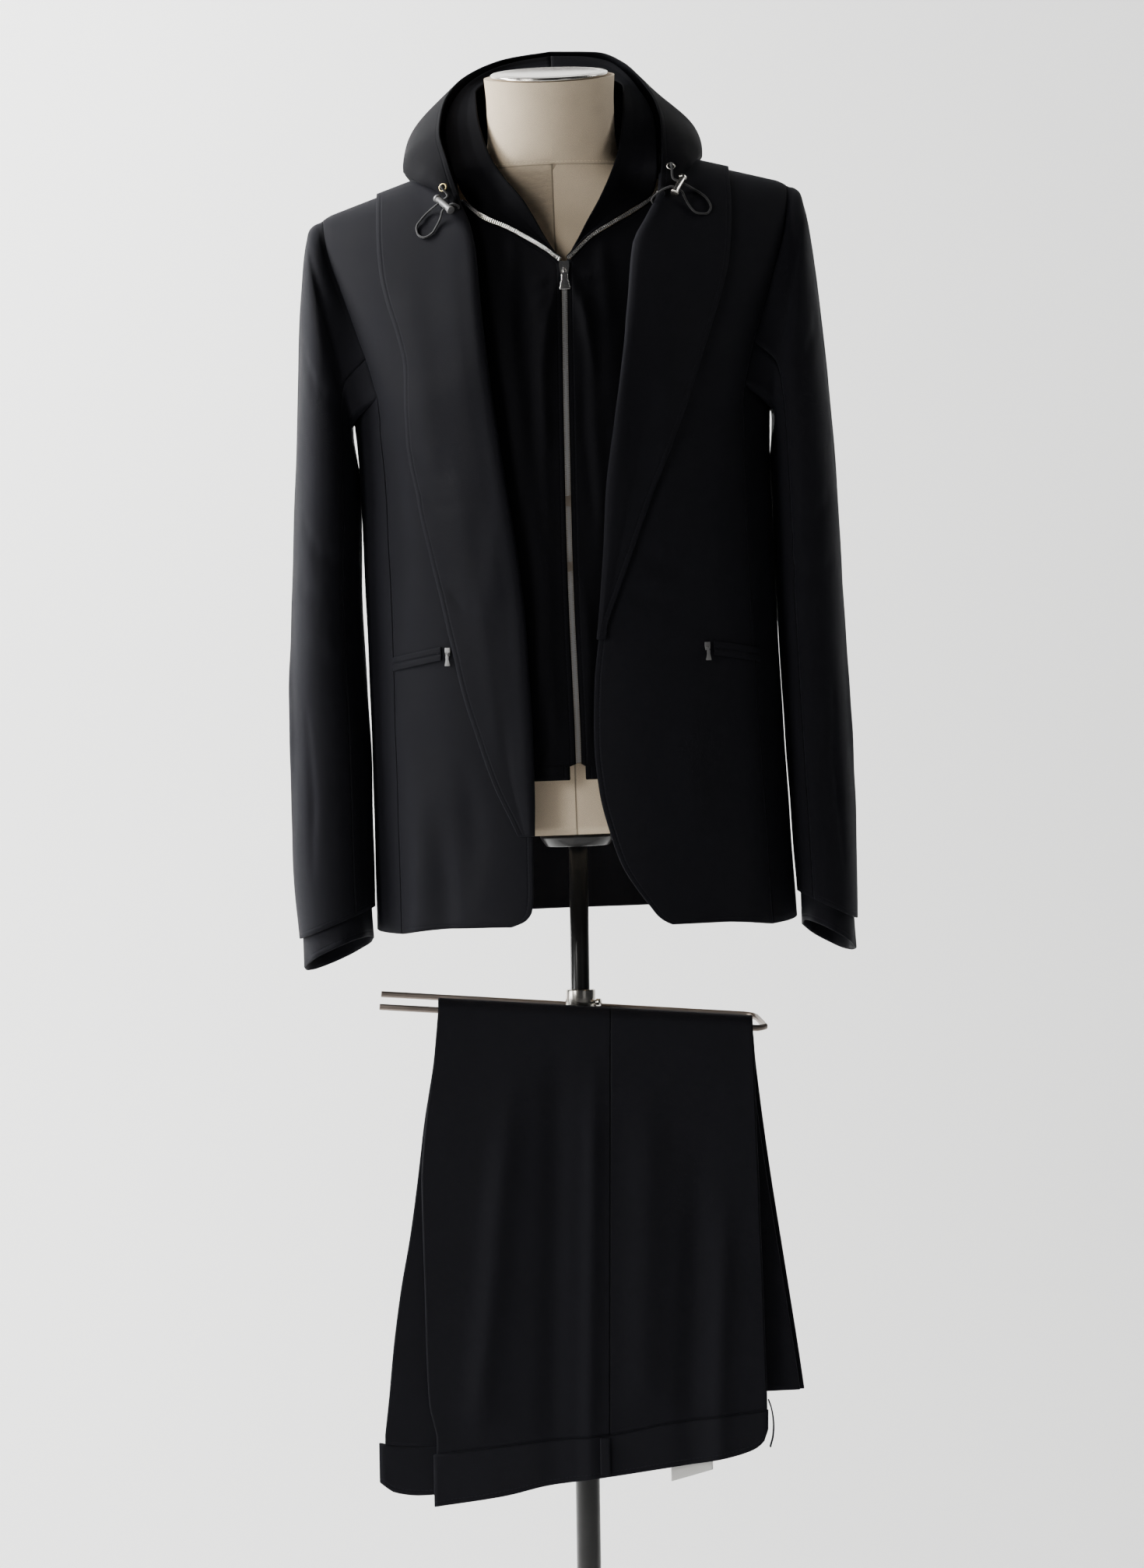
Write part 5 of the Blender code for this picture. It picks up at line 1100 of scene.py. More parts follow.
def write_layer(mesh: bpy.types.Mesh, name: str, values: np.ndarray) -> None:
    """Adds a UV map with one pair of numbers for each face corner."""
    layer = mesh.uv_layers.new(name=name)
    layer.data.foreach_set("uv", values.astype(np.float32).ravel())


def shown(mesh: bpy.types.Mesh, finish: Finish) -> bpy.types.Object:
    """Puts a mesh into the scene as an object with its finish."""
    made = bpy.data.objects.new(mesh.name, mesh)
    bpy.context.scene.collection.objects.link(made)
    mesh.materials.append(finish.build())
    return made


def close(mesh: bpy.types.Mesh) -> None:
    """Turns a closed mesh's faces outward."""
    work = bmesh.new()
    work.from_mesh(mesh)
    bmesh.ops.recalc_face_normals(work, faces=work.faces)
    if work.calc_volume(signed=True) < 0:
        bmesh.ops.reverse_faces(work, faces=work.faces)
    work.to_mesh(mesh)
    work.free()


def dress(made: bpy.types.Object, body: Body, slot: str, *nodes: str) -> bpy.types.Object:
    """Rides a piece on its body, in place of some solids.

    Args:
        made: the piece.
        body: what it moves with.
        slot: the slot that its finish belongs to; not used.
        nodes: the solids that it stands for.

    Returns:
        The piece.
    """
    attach(made, body.value)
    if nodes:
        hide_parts(*nodes)
    return made


# ---------------------------------------------------------------- the jacket's body surface
class BodySurface:
    """The jacket's outer face over places across and up, with its folds."""

    front_folds: tuple[Fold, ...] = (
        Fold(((-128, 1385), (-120, 1300), (-112, 1215)), 14, 1.7),
        Fold(((-98, 1410), (-88, 1300), (-84, 1180), (-78, 1075)), 18, 2.0),
        Fold(((-58, 1190), (-70, 1080), (-64, 970)), 12, 1.6),
        Fold(((-136, 1240), (-118, 1222), (-96, 1216)), 6, -1.3),
        Fold(((-130, 1205), (-112, 1190), (-92, 1190)), 5, -1.1),
        Fold(((-108, 1120), (-92, 1100), (-78, 1098)), 5, -1.0),
        Fold(((-152, 1250), (-146, 1150), (-150, 1068)), 12, -1.6),
        Fold(((-150, 1012), (-140, 940), (-146, 850)), 14, 1.8),
        Fold(((-98, 960), (-92, 900), (-100, 840)), 11, -1.4),
        Fold(((-176, 1300), (-160, 1270), (-138, 1262)), 7, -1.2),
        Fold(((84, 1410), (92, 1300), (86, 1190)), 14, 2.0),
        Fold(((54, 1340), (48, 1260), (40, 1190)), 8, 2.0),
        Fold(((122, 1390), (130, 1280), (122, 1180)), 15, -1.6),
        Fold(((60, 1150), (84, 1128), (112, 1124)), 8, -1.5),
        Fold(((52, 1108), (76, 1096), (98, 1098)), 6, -1.1),
        Fold(((112, 1040), (104, 960), (112, 870)), 16, 1.8),
        Fold(((150, 1230), (146, 1140), (150, 1066)), 12, -1.5),
        Fold(((152, 1010), (158, 930), (150, 850)), 14, 1.6),
        Fold(((176, 1300), (160, 1268), (136, 1262)), 7, -1.3),
    )
    back_folds: tuple[Fold, ...] = (
        Fold(((-156, 1400), (-128, 1330), (-116, 1250)), 15, -2.2),
        Fold(((154, 1402), (130, 1336), (120, 1246)), 15, -2.0),
        Fold(((-130, 1190), (-74, 1162), (-16, 1168)), 11, -1.8),
        Fold(((-120, 1140), (-60, 1124), (-8, 1134)), 9, -1.4),
        Fold(((14, 1152), (78, 1140), (132, 1172)), 12, -1.7),
        Fold(((24, 1200), (70, 1190), (110, 1206)), 8, -1.2),
        Fold(((-92, 1080), (-98, 960), (-86, 850)), 16, 2.0),
        Fold(((96, 1070), (88, 950), (100, 850)), 16, 2.0),
        Fold(((34, 1040), (28, 950), (36, 850)), 12, -1.5),
        Fold(((-36, 1020), (-30, 930), (-40, 848)), 13, -1.3),
        Fold(((-172, 1290), (-140, 1262), (-100, 1262)), 8, -1.4),
        Fold(((170, 1292), (138, 1260), (98, 1256)), 8, -1.5),
    )

    def shoulder(self, x: np.ndarray) -> np.ndarray:
        """Height of the shoulder line over a place across the body."""
        beyond = np.maximum(np.abs(x) - SHOULDER_NECK_X, 0)
        drop = SHOULDER_SLOPE * beyond + 0.02 * np.maximum(np.abs(x) - 198, 0) ** 2
        return SHOULDER_NECK_Z - drop + SHOULDER_TILT * x

    def depth(self, x: np.ndarray, z: np.ndarray, back: bool, inset: float = 0.0) -> np.ndarray:
        """Distance in y of the face from the middle, at a place seen from the front."""
        half = smooth(JACKET_SECTIONS, 2, z) - inset
        centre = smooth(JACKET_SECTIONS, 1, z)
        deep = smooth(JACKET_SECTIONS, 4 if back else 3, z) - inset
        across = np.clip(np.abs(x - centre) / half, 0, 1)
        section = (1 - across**BODY_POWER) ** (1 / BODY_POWER)
        power = RIDGE_BACK if back else RIDGE_FRONT
        top = self.shoulder(x) - inset
        up = np.clip((z - UNDERARM_ROW) / (top - UNDERARM_ROW), 0, 1)
        ridge = (1 - up**power) ** (1 / power)
        return (1.0 if back else -1.0) * deep * section * ridge

    def points(self, x: np.ndarray, z: np.ndarray, back: bool, inset: float = 0.0) -> np.ndarray:
        """Points of the face, with the jacket's folds."""
        x, z = np.broadcast_arrays(np.asarray(x, float), np.asarray(z, float))
        y = self.depth(x, z, back, inset)
        points = np.stack([x, y, z], axis=-1)
        angle = np.degrees(np.arctan2(x, -y))
        out = np.zeros_like(y)
        for at, low, high, drift, half_width, height in JACKET_FOLDS:
            middle = at + drift * (z - low) / (high - low)
            apart = (angle - middle + 180) % 360 - 180
            fade = 1 - ramp(z, low + 0.35 * (high - low), high)
            out += height * fade * hump(apart, half_width)
        for fold in self.back_folds if back else self.front_folds:
            out += fold.relief(x, z)
        out += 0.35 * ripple(points, 90.0, 5)
        points[..., 0] += out * np.sin(np.radians(angle))
        points[..., 1] -= out * np.cos(np.radians(angle))
        return points

    def normals(self, x: np.ndarray, z: np.ndarray, back: bool) -> np.ndarray:
        """Unit normals of the face, pointing away from the body."""
        step = 0.5
        x, z = np.broadcast_arrays(np.asarray(x, float), np.asarray(z, float))
        toward = np.where(np.abs(x) > 1e-6, -np.sign(x), -1.0) * step
        here = self.points(x, z, back)
        side = self.points(x + toward, z, back) - here
        down = self.points(x, z - step, back) - here
        normal = np.cross(side, down)
        normal /= np.linalg.norm(normal, axis=-1, keepdims=True)
        outward = here.copy()
        outward[..., 2] = np.maximum(here[..., 2] - 1400, 0)
        return normal * np.sign(np.sum(normal * outward, axis=-1, keepdims=True))

    def hem(self, x: np.ndarray, back: bool) -> np.ndarray:
        """Height of the hem: level in front, a little higher behind."""
        if back:
            return HEM_BACK - 6 * ramp(np.abs(x), 60, 180)
        return HEM_FRONT + 3 * ramp(-x, -60, 90) - 5 * ramp(np.abs(x - 5), 120, 180)

    def row_height(self, x: np.ndarray, low: float, up: float | None, back: bool) -> np.ndarray:
        """Height of a row: level below the underarm, then up to the shoulder."""
        if up is None:
            bottom = self.hem(x, back)
            return bottom + (UNDERARM_ROW - bottom) * low
        power = RIDGE_BACK if back else RIDGE_FRONT
        part = math.sin(up * math.pi / 2) ** (2 / power)
        return UNDERARM_ROW + (self.shoulder(x) - UNDERARM_ROW) * part

    def seam_x(self, z: float, sign: float, back: bool) -> float:
        """Where a front or back panel meets the side body."""
        centre = smooth(JACKET_SECTIONS, 1, z)
        half = smooth(JACKET_SECTIONS, 2, z)
        return float(centre + sign * (SIDE_SEAM_BACK if back else SIDE_SEAM_FRONT) * half)

    def outer_edge(self, low: float, up: float | None, sign: float, back: bool) -> float:
        """x of a panel's outer edge on a row: the side seam, then the armhole."""
        x = sign * 190.0
        for _ in range(4):
            z = float(self.row_height(np.array(x), low, up, back))
            if up is None:
                x = self.seam_x(z, sign, back)
            else:
                x = sign * float(smooth(ARMHOLE, 2 if back else 1, z))
        return x

    def inner_edge(self, low: float, up: float | None, side: Side, back: bool) -> float:
        """x of a panel's inner edge on a row: the centre back, or the roll and the front edge."""
        if back:
            return side.sign * SEAM_GAP
        x = side.sign * 60.0
        for _ in range(6):
            z = self.row_height(np.array(x), low, up, back)
            x = float(smooth(ROLL_LINE, side.column, z))
        return x

    def spread(self, inner: float, outer: float, z: float, at: np.ndarray) -> np.ndarray:
        """x places across a panel, closer together where the body turns away."""
        centre = float(smooth(JACKET_SECTIONS, 1, z))
        half = float(smooth(JACKET_SECTIONS, 2, z))

        def angle(x: float) -> float:
            part = min(abs(x - centre) / half, 1.0)
            return math.copysign(math.asin(part ** (BODY_POWER / 2)), x - centre)

        angles = angle(inner) + (angle(outer) - angle(inner)) * at
        return centre + half * np.sign(angles) * np.abs(np.sin(angles)) ** (2 / BODY_POWER)

    def side_angle(self, part: float) -> float:
        """The section's angle, part of the way round the side from front to back seam."""
        front = math.asin(SIDE_SEAM_FRONT ** (BODY_POWER / 2))
        back = math.pi - math.asin(SIDE_SEAM_BACK ** (BODY_POWER / 2))
        return front + (back - front) * part

    def side_point(self, side: Side, part: float, z: float) -> np.ndarray:
        """A point of the side body."""
        angle = self.side_angle(part)
        half = float(smooth(JACKET_SECTIONS, 2, z))
        centre = float(smooth(JACKET_SECTIONS, 1, z))
        x = centre + side.sign * half * abs(math.sin(angle)) ** (2 / BODY_POWER)
        return self.points(np.array(x), np.array(z), angle > math.pi / 2)

    def side_top(self, part: float) -> float:
        """Height of the side body's top edge, which dips under the arm."""
        return UNDERARM_ROW - UNDERARM_DIP * math.sin(math.pi * part) ** 0.8


@dataclass
class Jacket:
    """Fronts with their pockets, side bodies, backs, turned-back fronts and collar."""

    surface: BodySurface
    columns: int = 54
    low_rows: int = 96
    up_rows: int = 34

    def rows(self) -> list[tuple[float, float | None]]:
        """(part up the lower body, part up the shoulder) for each row of a panel."""
        low = np.concatenate(
            [np.linspace(0, 0.09, 26)[:-1], np.linspace(0.09, 1, self.low_rows - 25)]
        )
        up = np.append(np.linspace(0, 0.97, self.up_rows)[1:], [0.985, 0.9975])
        return [(float(part), None) for part in low] + [(1.0, float(part)) for part in up]

    def panel(self, side: Side, back: bool) -> np.ndarray:
        """Outer grid of a front or a back panel, hem to shoulder."""
        body = self.surface
        at = graded(self.columns)
        outer = []
        for low, up in self.rows():
            edge = body.outer_edge(low, up, side.sign, back) - side.sign * SEAM_GAP / 2
            start = body.inner_edge(low, up, side, back)
            middle = float(body.row_height(np.array((edge + start) / 2), low, up, back))
            x = body.spread(start, edge, middle, at)
            z = body.row_height(x, low, up, back)
            if back and up is not None:
                neck = SHOULDER_NECK_Z - BACK_NECK_DIP * np.sqrt(
                    np.clip(1 - (x / SHOULDER_NECK_X) ** 2, 0, 1)
                )
                part = (z - UNDERARM_ROW) / (body.shoulder(x) - UNDERARM_ROW)
                z = UNDERARM_ROW + (np.minimum(neck, body.shoulder(x)) - UNDERARM_ROW) * part
            outer.append(body.points(x, z, back))
        outer = np.array(outer)
        if back:
            outer[:, 0, 0] = side.sign * SEAM_GAP / 2
        wide = np.abs(outer[-1, :, 0]) > SHOULDER_NECK_X - 12
        outer[-1, wide, 1] = 0.25 if back else -0.25
        return outer

    def side_body(self, side: Side) -> np.ndarray:
        """Outer grid of a side body."""
        body = self.surface
        parts = graded(22, 0.008)
        front_x = body.seam_x(HEM_FRONT, side.sign, False)
        back_x = body.seam_x(HEM_BACK, side.sign, True)
        start = float(body.hem(np.array(front_x), False))
        end = float(body.hem(np.array(back_x), True))
        outer = []
        for low in np.linspace(0, 1, 70):
            row = []
            for part in parts:
                bottom = start + (end - start) * part
                z = bottom + (body.side_top(part) - bottom) * low
                shift = (SEAM_GAP / 190) * (1 - 2 * part) if part in (0.0, 1.0) else 0.0
                row.append(body.side_point(side, part + shift, z))
            outer.append(row)
        return np.array(outer)

    def strip(
        self, name: str, ends: tuple[float, float, float, float], rise: tuple[float, float],
        lift: float, nodes: tuple[str, ...] = ()
    ) -> str:
        """A thin strip of cloth on the jacket's front, such as one lip of a welt.

        Args:
            name: the strip's name.
            ends: x and height of its two ends.
            rise: from how far below to how far above that line it reaches.
            lift: its face's height over the front's face.
            nodes: the solids that it stands for.

        Returns:
            Its name.
        """
        part = np.linspace(0, 1, 36)
        x = ends[0] + (ends[2] - ends[0]) * part
        rows = []
        for across in np.linspace(-1, 1, 9):
            z = ends[1] + (ends[3] - ends[1]) * part
            z = z + (rise[0] + rise[1]) / 2 + across * (rise[1] - rise[0]) / 2
            high = lift - 0.3 * across**4
            normals = self.surface.normals(x, z, False)
            rows.append(self.surface.points(x, z, False) + normals * high)
        outward = (0.0, -1.0, 0.0)
        thick = min(0.9, lift)
        Cloth(name, np.array(rows), thick, SUITING, Body.FIGURE, nodes, outward, small=True).build()
        return name

    def make_trims(self, side: Side) -> tuple[str, ...]:
        """Makes a pocket's two lips with its closed zip between them."""
        name = f"pocket_{side.value}"
        ends = POCKET_LINE[side.value]
        made = [
            self.strip(f"{name}_upper_lip", ends, (0.7, 6.0), 1.45, (f"pocket_welt_{side.value}",)),
            self.strip(f"{name}_lower_lip", ends, (-6.0, -0.7), 1.45),
            self.strip(f"{name}_zip_tape", ends, (-1.2, 1.2), 0.95),
        ]
        return tuple(made)

    def make_body(self) -> None:
        """Makes the six panels of the jacket's body."""
        for side in Side:
            name = side.value
            for back in (False, True):
                outer = self.panel(side, back)
                toward = np.array([0.3 * side.sign, 1.0 if back else -1.0, 0.3])
                kind = "back" if back else "front"
                trims = () if back else self.make_trims(side)
                sew(
                    f"jacket_{kind}_{name}", outer, toward, JACKET_WALL,
                    seams=("last", "top") + (("first",) if back else ()),
                    stitched=("top",) if back else ("first", "top"), trims=trims
                )
            sew(
                f"jacket_side_{name}", self.side_body(side), (side.sign, 0.0, 0.0), JACKET_WALL,
                seams=("first", "last"),
            )

    def lapel(self, side: Side) -> np.ndarray:
        """Outer grid of a turned-back front, from its start up to the shoulder."""
        body = self.surface
        start = LAPEL_START[side.value]
        first = (start - HEM_FRONT) / (UNDERARM_ROW - HEM_FRONT)
        rows: list[tuple[float, float | None]] = [(p, None) for p in np.linspace(first, 1, 84)]
        rows += [(1.0, up) for up in np.linspace(0, 0.94, 30)[1:]]
        at = np.concatenate([np.linspace(0, 0.16, 14)[:-1], np.linspace(0.16, 1, 30)])
        outer = []
        for low, up in rows:
            roll = body.inner_edge(low, up, side, False)
            height = float(body.row_height(np.array(roll), low, up, False))
            width = side.sign * (float(smooth(LAPEL_EDGE, side.column, height)) - roll)
            width = max(width, 5.0)
            profile = self.lapel_profile(width)
            out, high = along(profile, at).T
            x = roll + side.sign * out
            z = body.row_height(x, low, up, False)
            outer.append(body.points(x, z, False) + body.normals(x, z, False) * high[:, None])
        return np.array(outer)

    def lapel_profile(self, width: float) -> np.ndarray:
        """(distance out from the roll, height over the panel) across the turned-back front."""
        room = min(1.0, max(width, 4.0) / 40.0)
        rolled = [(out * (room if out > 0 else 1.0), high) for out, high in LAPEL_PROFILE[:2]]
        for out, high in LAPEL_PROFILE[2:]:
            rolled.append((out * room, LAPEL_HEIGHT + (high - LAPEL_HEIGHT) * room))
        start = rolled[-1][0]
        flat = [(start + (width - start) * part, LAPEL_HEIGHT) for part in (0.3, 0.65, 1.0)]
        return np.array(rolled + flat)

    def make_lapels(self) -> None:
        """Makes both turned-back fronts."""
        for side in Side:
            name = f"jacket_lapel_{side.value}"
            outer = self.lapel(side)
            normals = normals_of(outer)
            if float(np.sum(normals[:, -2, 1])) > 0:
                normals = -normals
            sew(
                name, outer, normals, held="folded", rests_on=(f"jacket_front_{side.value}",),
                stitched=("last",),
            )

    def make_collar(self) -> None:
        """Makes the collar's fall, lying on the back round the neck."""
        body = self.surface
        outer = []
        for down in np.linspace(0, 40, 16):
            x = np.linspace(-SHOULDER_NECK_X, SHOULDER_NECK_X, 60)
            dip = BACK_NECK_DIP * np.sqrt(np.maximum(0.0, 1 - (x / (SHOULDER_NECK_X + 4)) ** 2))
            z = SHOULDER_NECK_Z - dip - 4 - down * (1 - 0.25 * (x / SHOULDER_NECK_X) ** 2)
            outer.append(body.points(x, z, True) + body.normals(x, z, True) * 3.2)
        sew(
            "jacket_collar", np.array(outer), (0.0, 1.0, 0.3), held="folded",
            rests_on=("jacket_back_left", "jacket_back_right"), stitched=("bottom",),
        )


# Folds in the sleeves: angle round the sleeve (0 outside, 90 degrees in front) times
# PER_DEGREE, and height.
SLEEVE_FOLDS = {
    Side.RIGHT: (
        Fold(((60, 1330), (95, 1300), (150, 1285)), 9.0, -1.8),
        Fold(((70, 1180), (110, 1150), (170, 1142)), 9.0, -2.4),
        Fold(((60, 1128), (115, 1110), (180, 1120)), 8.0, -2.0),
        Fold(((90, 1080), (140, 1068), (190, 1080)), 10.0, 1.8),
        Fold(((20, 1420), (26, 1300), (20, 1200)), 12.0, -1.6),
        Fold(((18, 1120), (30, 1000), (24, 900)), 10.0, 1.8),
        Fold(((80, 1010), (90, 940), (84, 870)), 9.0, -1.6),
        Fold(((300, 1200), (350, 1160), (390, 1150)), 11.0, -2.0),
        Fold(((320, 1120), (370, 1090), (400, 1090)), 10.0, -1.8),
        Fold(((380, 1400), (372, 1300), (384, 1220)), 12.0, -1.6),
    ),
    Side.LEFT: (
        Fold(((55, 1345), (100, 1310), (150, 1290)), 9.0, -1.9),
        Fold(((65, 1190), (115, 1160), (165, 1150)), 9.0, -2.2),
        Fold(((70, 1130), (120, 1118), (180, 1128)), 8.0, -2.2),
        Fold(((26, 1400), (22, 1290), (30, 1200)), 12.0, -1.8),
        Fold(((16, 1100), (26, 1000), (20, 890)), 10.0, 1.6),
        Fold(((86, 1020), (92, 950), (80, 860)), 9.0, -1.8),
        Fold(((305, 1210), (350, 1172), (395, 1160)), 11.0, -2.2),
        Fold(((322, 1120), (366, 1100), (400, 1096)), 10.0, -1.6),
    ),
}


@dataclass
class Sleeves:
    """Both sleeves, each of a top and an under sleeve, with their inner cuffs."""

    surface: BodySurface
    per_step: int = 7
    rows: int = 110

    def armhole(self, side: Side, gap: float, inset: float = 0.0) -> np.ndarray:
        """Points round the armhole, from the shoulder down the front, under and up the back.

        Args:
            side: the sleeve's side.
            gap: distance out from the body's edge.
            inset: distance in from the body's outer face.

        Returns:
            One point for each column.
        """
        body = self.surface
        ups = (0.9975, 0.87, 0.73, 0.58, 0.43, 0.28, 0.14, 0.0)
        ring = []
        for s in np.arange(18 * self.per_step) / self.per_step:
            if 7 <= s <= 11:
                part = (s - 7) / 4
                point = body.side_point(side, part, body.side_top(part))
                point += np.array([-side.sign * inset, 0, gap])
            else:
                back = s > 11
                up = float(np.interp(18 - s if back else s, range(8), ups))
                edge = body.outer_edge(1.0, up, side.sign, back)
                x = np.array(edge + side.sign * gap)
                z = body.row_height(x, 1.0, up, back)
                point = body.points(x, z, back)
                if inset:
                    point = point - inset * body.normals(x, z, back)
            ring.append(point)
        return np.array(ring)

    def ring(self, side: Side, row: int, angles: np.ndarray) -> np.ndarray:
        """One ring of the sleeve below the armhole: an oval between its inner and outer edges."""
        outer_x, outer_z, inner_x, inner_z, depth, centre_y = SLEEVE_RINGS[row]
        if side is Side.LEFT:
            outer_x, inner_x = LEFT_SLEEVE_OUTER[row], LEFT_SLEEVE_INNER[row]
        touching = abs(float(self.surface.side_point(side, 0.5, inner_z)[0])) + 0.9
        if side is Side.RIGHT:
            width, middle, reach = SLEEVE_OFF
            touching += width * float(hump(np.array(inner_z - middle), reach))
        inner_x = min(inner_x, touching)
        rise = SHOULDER_TILT * side.sign * 220 * (1 - row / 11)
        high = np.array([side.sign * outer_x, centre_y, outer_z + rise])
        low = np.array([side.sign * inner_x, centre_y, inner_z])
        cos, sin = np.cos(angles), np.sin(angles)
        across = np.sign(cos) * np.abs(cos) ** 0.9
        forward = np.sign(sin) * np.abs(sin) ** 0.9
        ring = (high + low) / 2 + across[:, None] * (high - low) / 2
        ring[:, 1] -= depth * forward
        return ring

    def grid(self, side: Side) -> np.ndarray:
        """Rings of the whole sleeve, shoulder to cuff, with its folds."""
        first = self.armhole(side, 2 * SEAM_GAP)
        angles = np.arange(len(first)) * 2 * math.pi / len(first)
        rings = [first] + [self.ring(side, row, angles) for row in range(len(SLEEVE_RINGS))]
        for index, keep in enumerate((0.55, 0.25, 0.08)):
            shift = rings[index + 1].mean(axis=0) - first.mean(axis=0)
            rings[index + 1] = keep * (first + shift) + (1 - keep) * rings[index + 1]
        outer = between_rows(np.array(rings), np.linspace(0, len(rings) - 1, self.rows))
        normals = normals_of(outer, wrap=True)
        if float(np.sum(normals * (outer - outer.mean(axis=1, keepdims=True)))) < 0:
            normals = -normals
        around = np.broadcast_to(np.degrees(angles) * PER_DEGREE, outer.shape[:2])
        out = 0.4 * ripple(outer, 80.0, 11 if side is Side.LEFT else 12)
        for fold in SLEEVE_FOLDS[side]:
            out = out + fold.relief(around, outer[..., 2])
        row = np.arange(self.rows, dtype=float)[:, None]
        head = 3.2 * hump(row - 6, 5.0) * ramp(np.cos(angles), -0.5, 0.3) * ramp(row, 0, 3)
        outer = outer + normals * (out * ramp(row, 0, 10) + head)[..., None]
        allowance = [self.armhole(side, -4.0, 2.6), self.armhole(side, -0.4, 2.4)]
        return np.concatenate([allowance, outer])

    def make(self) -> None:
        """Makes both sleeves and their cuffs."""
        for side in Side:
            outer = self.grid(side)
            count = outer.shape[1]
            front, back = 6 * self.per_step, 12 * self.per_step
            middle = outer.mean(axis=1, keepdims=True)
            for part, first, last in (("under", front, back), ("top", back, front + count)):
                columns = [k % count for k in range(first, last + 1)]
                skin = outer[:, columns].copy()
                for edge, neighbour in ((0, 1), (-1, -2)):
                    step = skin[:, neighbour] - skin[:, edge]
                    step /= np.linalg.norm(step, axis=1, keepdims=True)
                    skin[:, edge] += step * SEAM_GAP / 2
                sew(
                    f"sleeve_{part}_{side.value}", skin, skin - middle, held="hung",
                    rests_on=(f"jacket_front_{side.value}", f"jacket_back_{side.value}"),
                    seams=("first", "last"), stitched=("bottom",),
                )
            self.make_cuff(side, outer)

    def make_cuff(self, side: Side, sleeve: np.ndarray) -> None:
        """The inner cuff: a tube a little inside the sleeve's end, longer behind than in front."""
        inset = SLEEVE_WALL + 1.6
        last, before = sleeve[-1], sleeve[-10]
        middle = last.mean(axis=0)
        out = last - middle
        out[:, 2] = 0
        out /= np.linalg.norm(out, axis=1, keepdims=True)
        down = last - before
        down /= np.linalg.norm(down, axis=1, keepdims=True)
        outer = []
        for drop in np.linspace(-22, 22, 18):
            ring = last - out * inset + down * drop
            if drop > 0:
                behind = (ring[:, 1] - middle[1]) / 50.0
                wave = 0.6 * np.sin(np.arange(len(ring)) * 0.45 + side.sign)
                ring[:, 2] -= (6.0 + 8.0 * behind) * drop / 22.0
                ring[:, :2] += out[:, :2] * ((1.2 + wave) * drop / 22.0)[..., None]
            outer.append(ring)
        outer = np.array(outer)
        sew(
            f"cuff_inner_{side.value}", outer, outer - outer.mean(axis=1, keepdims=True),
            held="hung", rests_on=(f"sleeve_top_{side.value}",), wrap=True, stitched=("bottom",),
        )


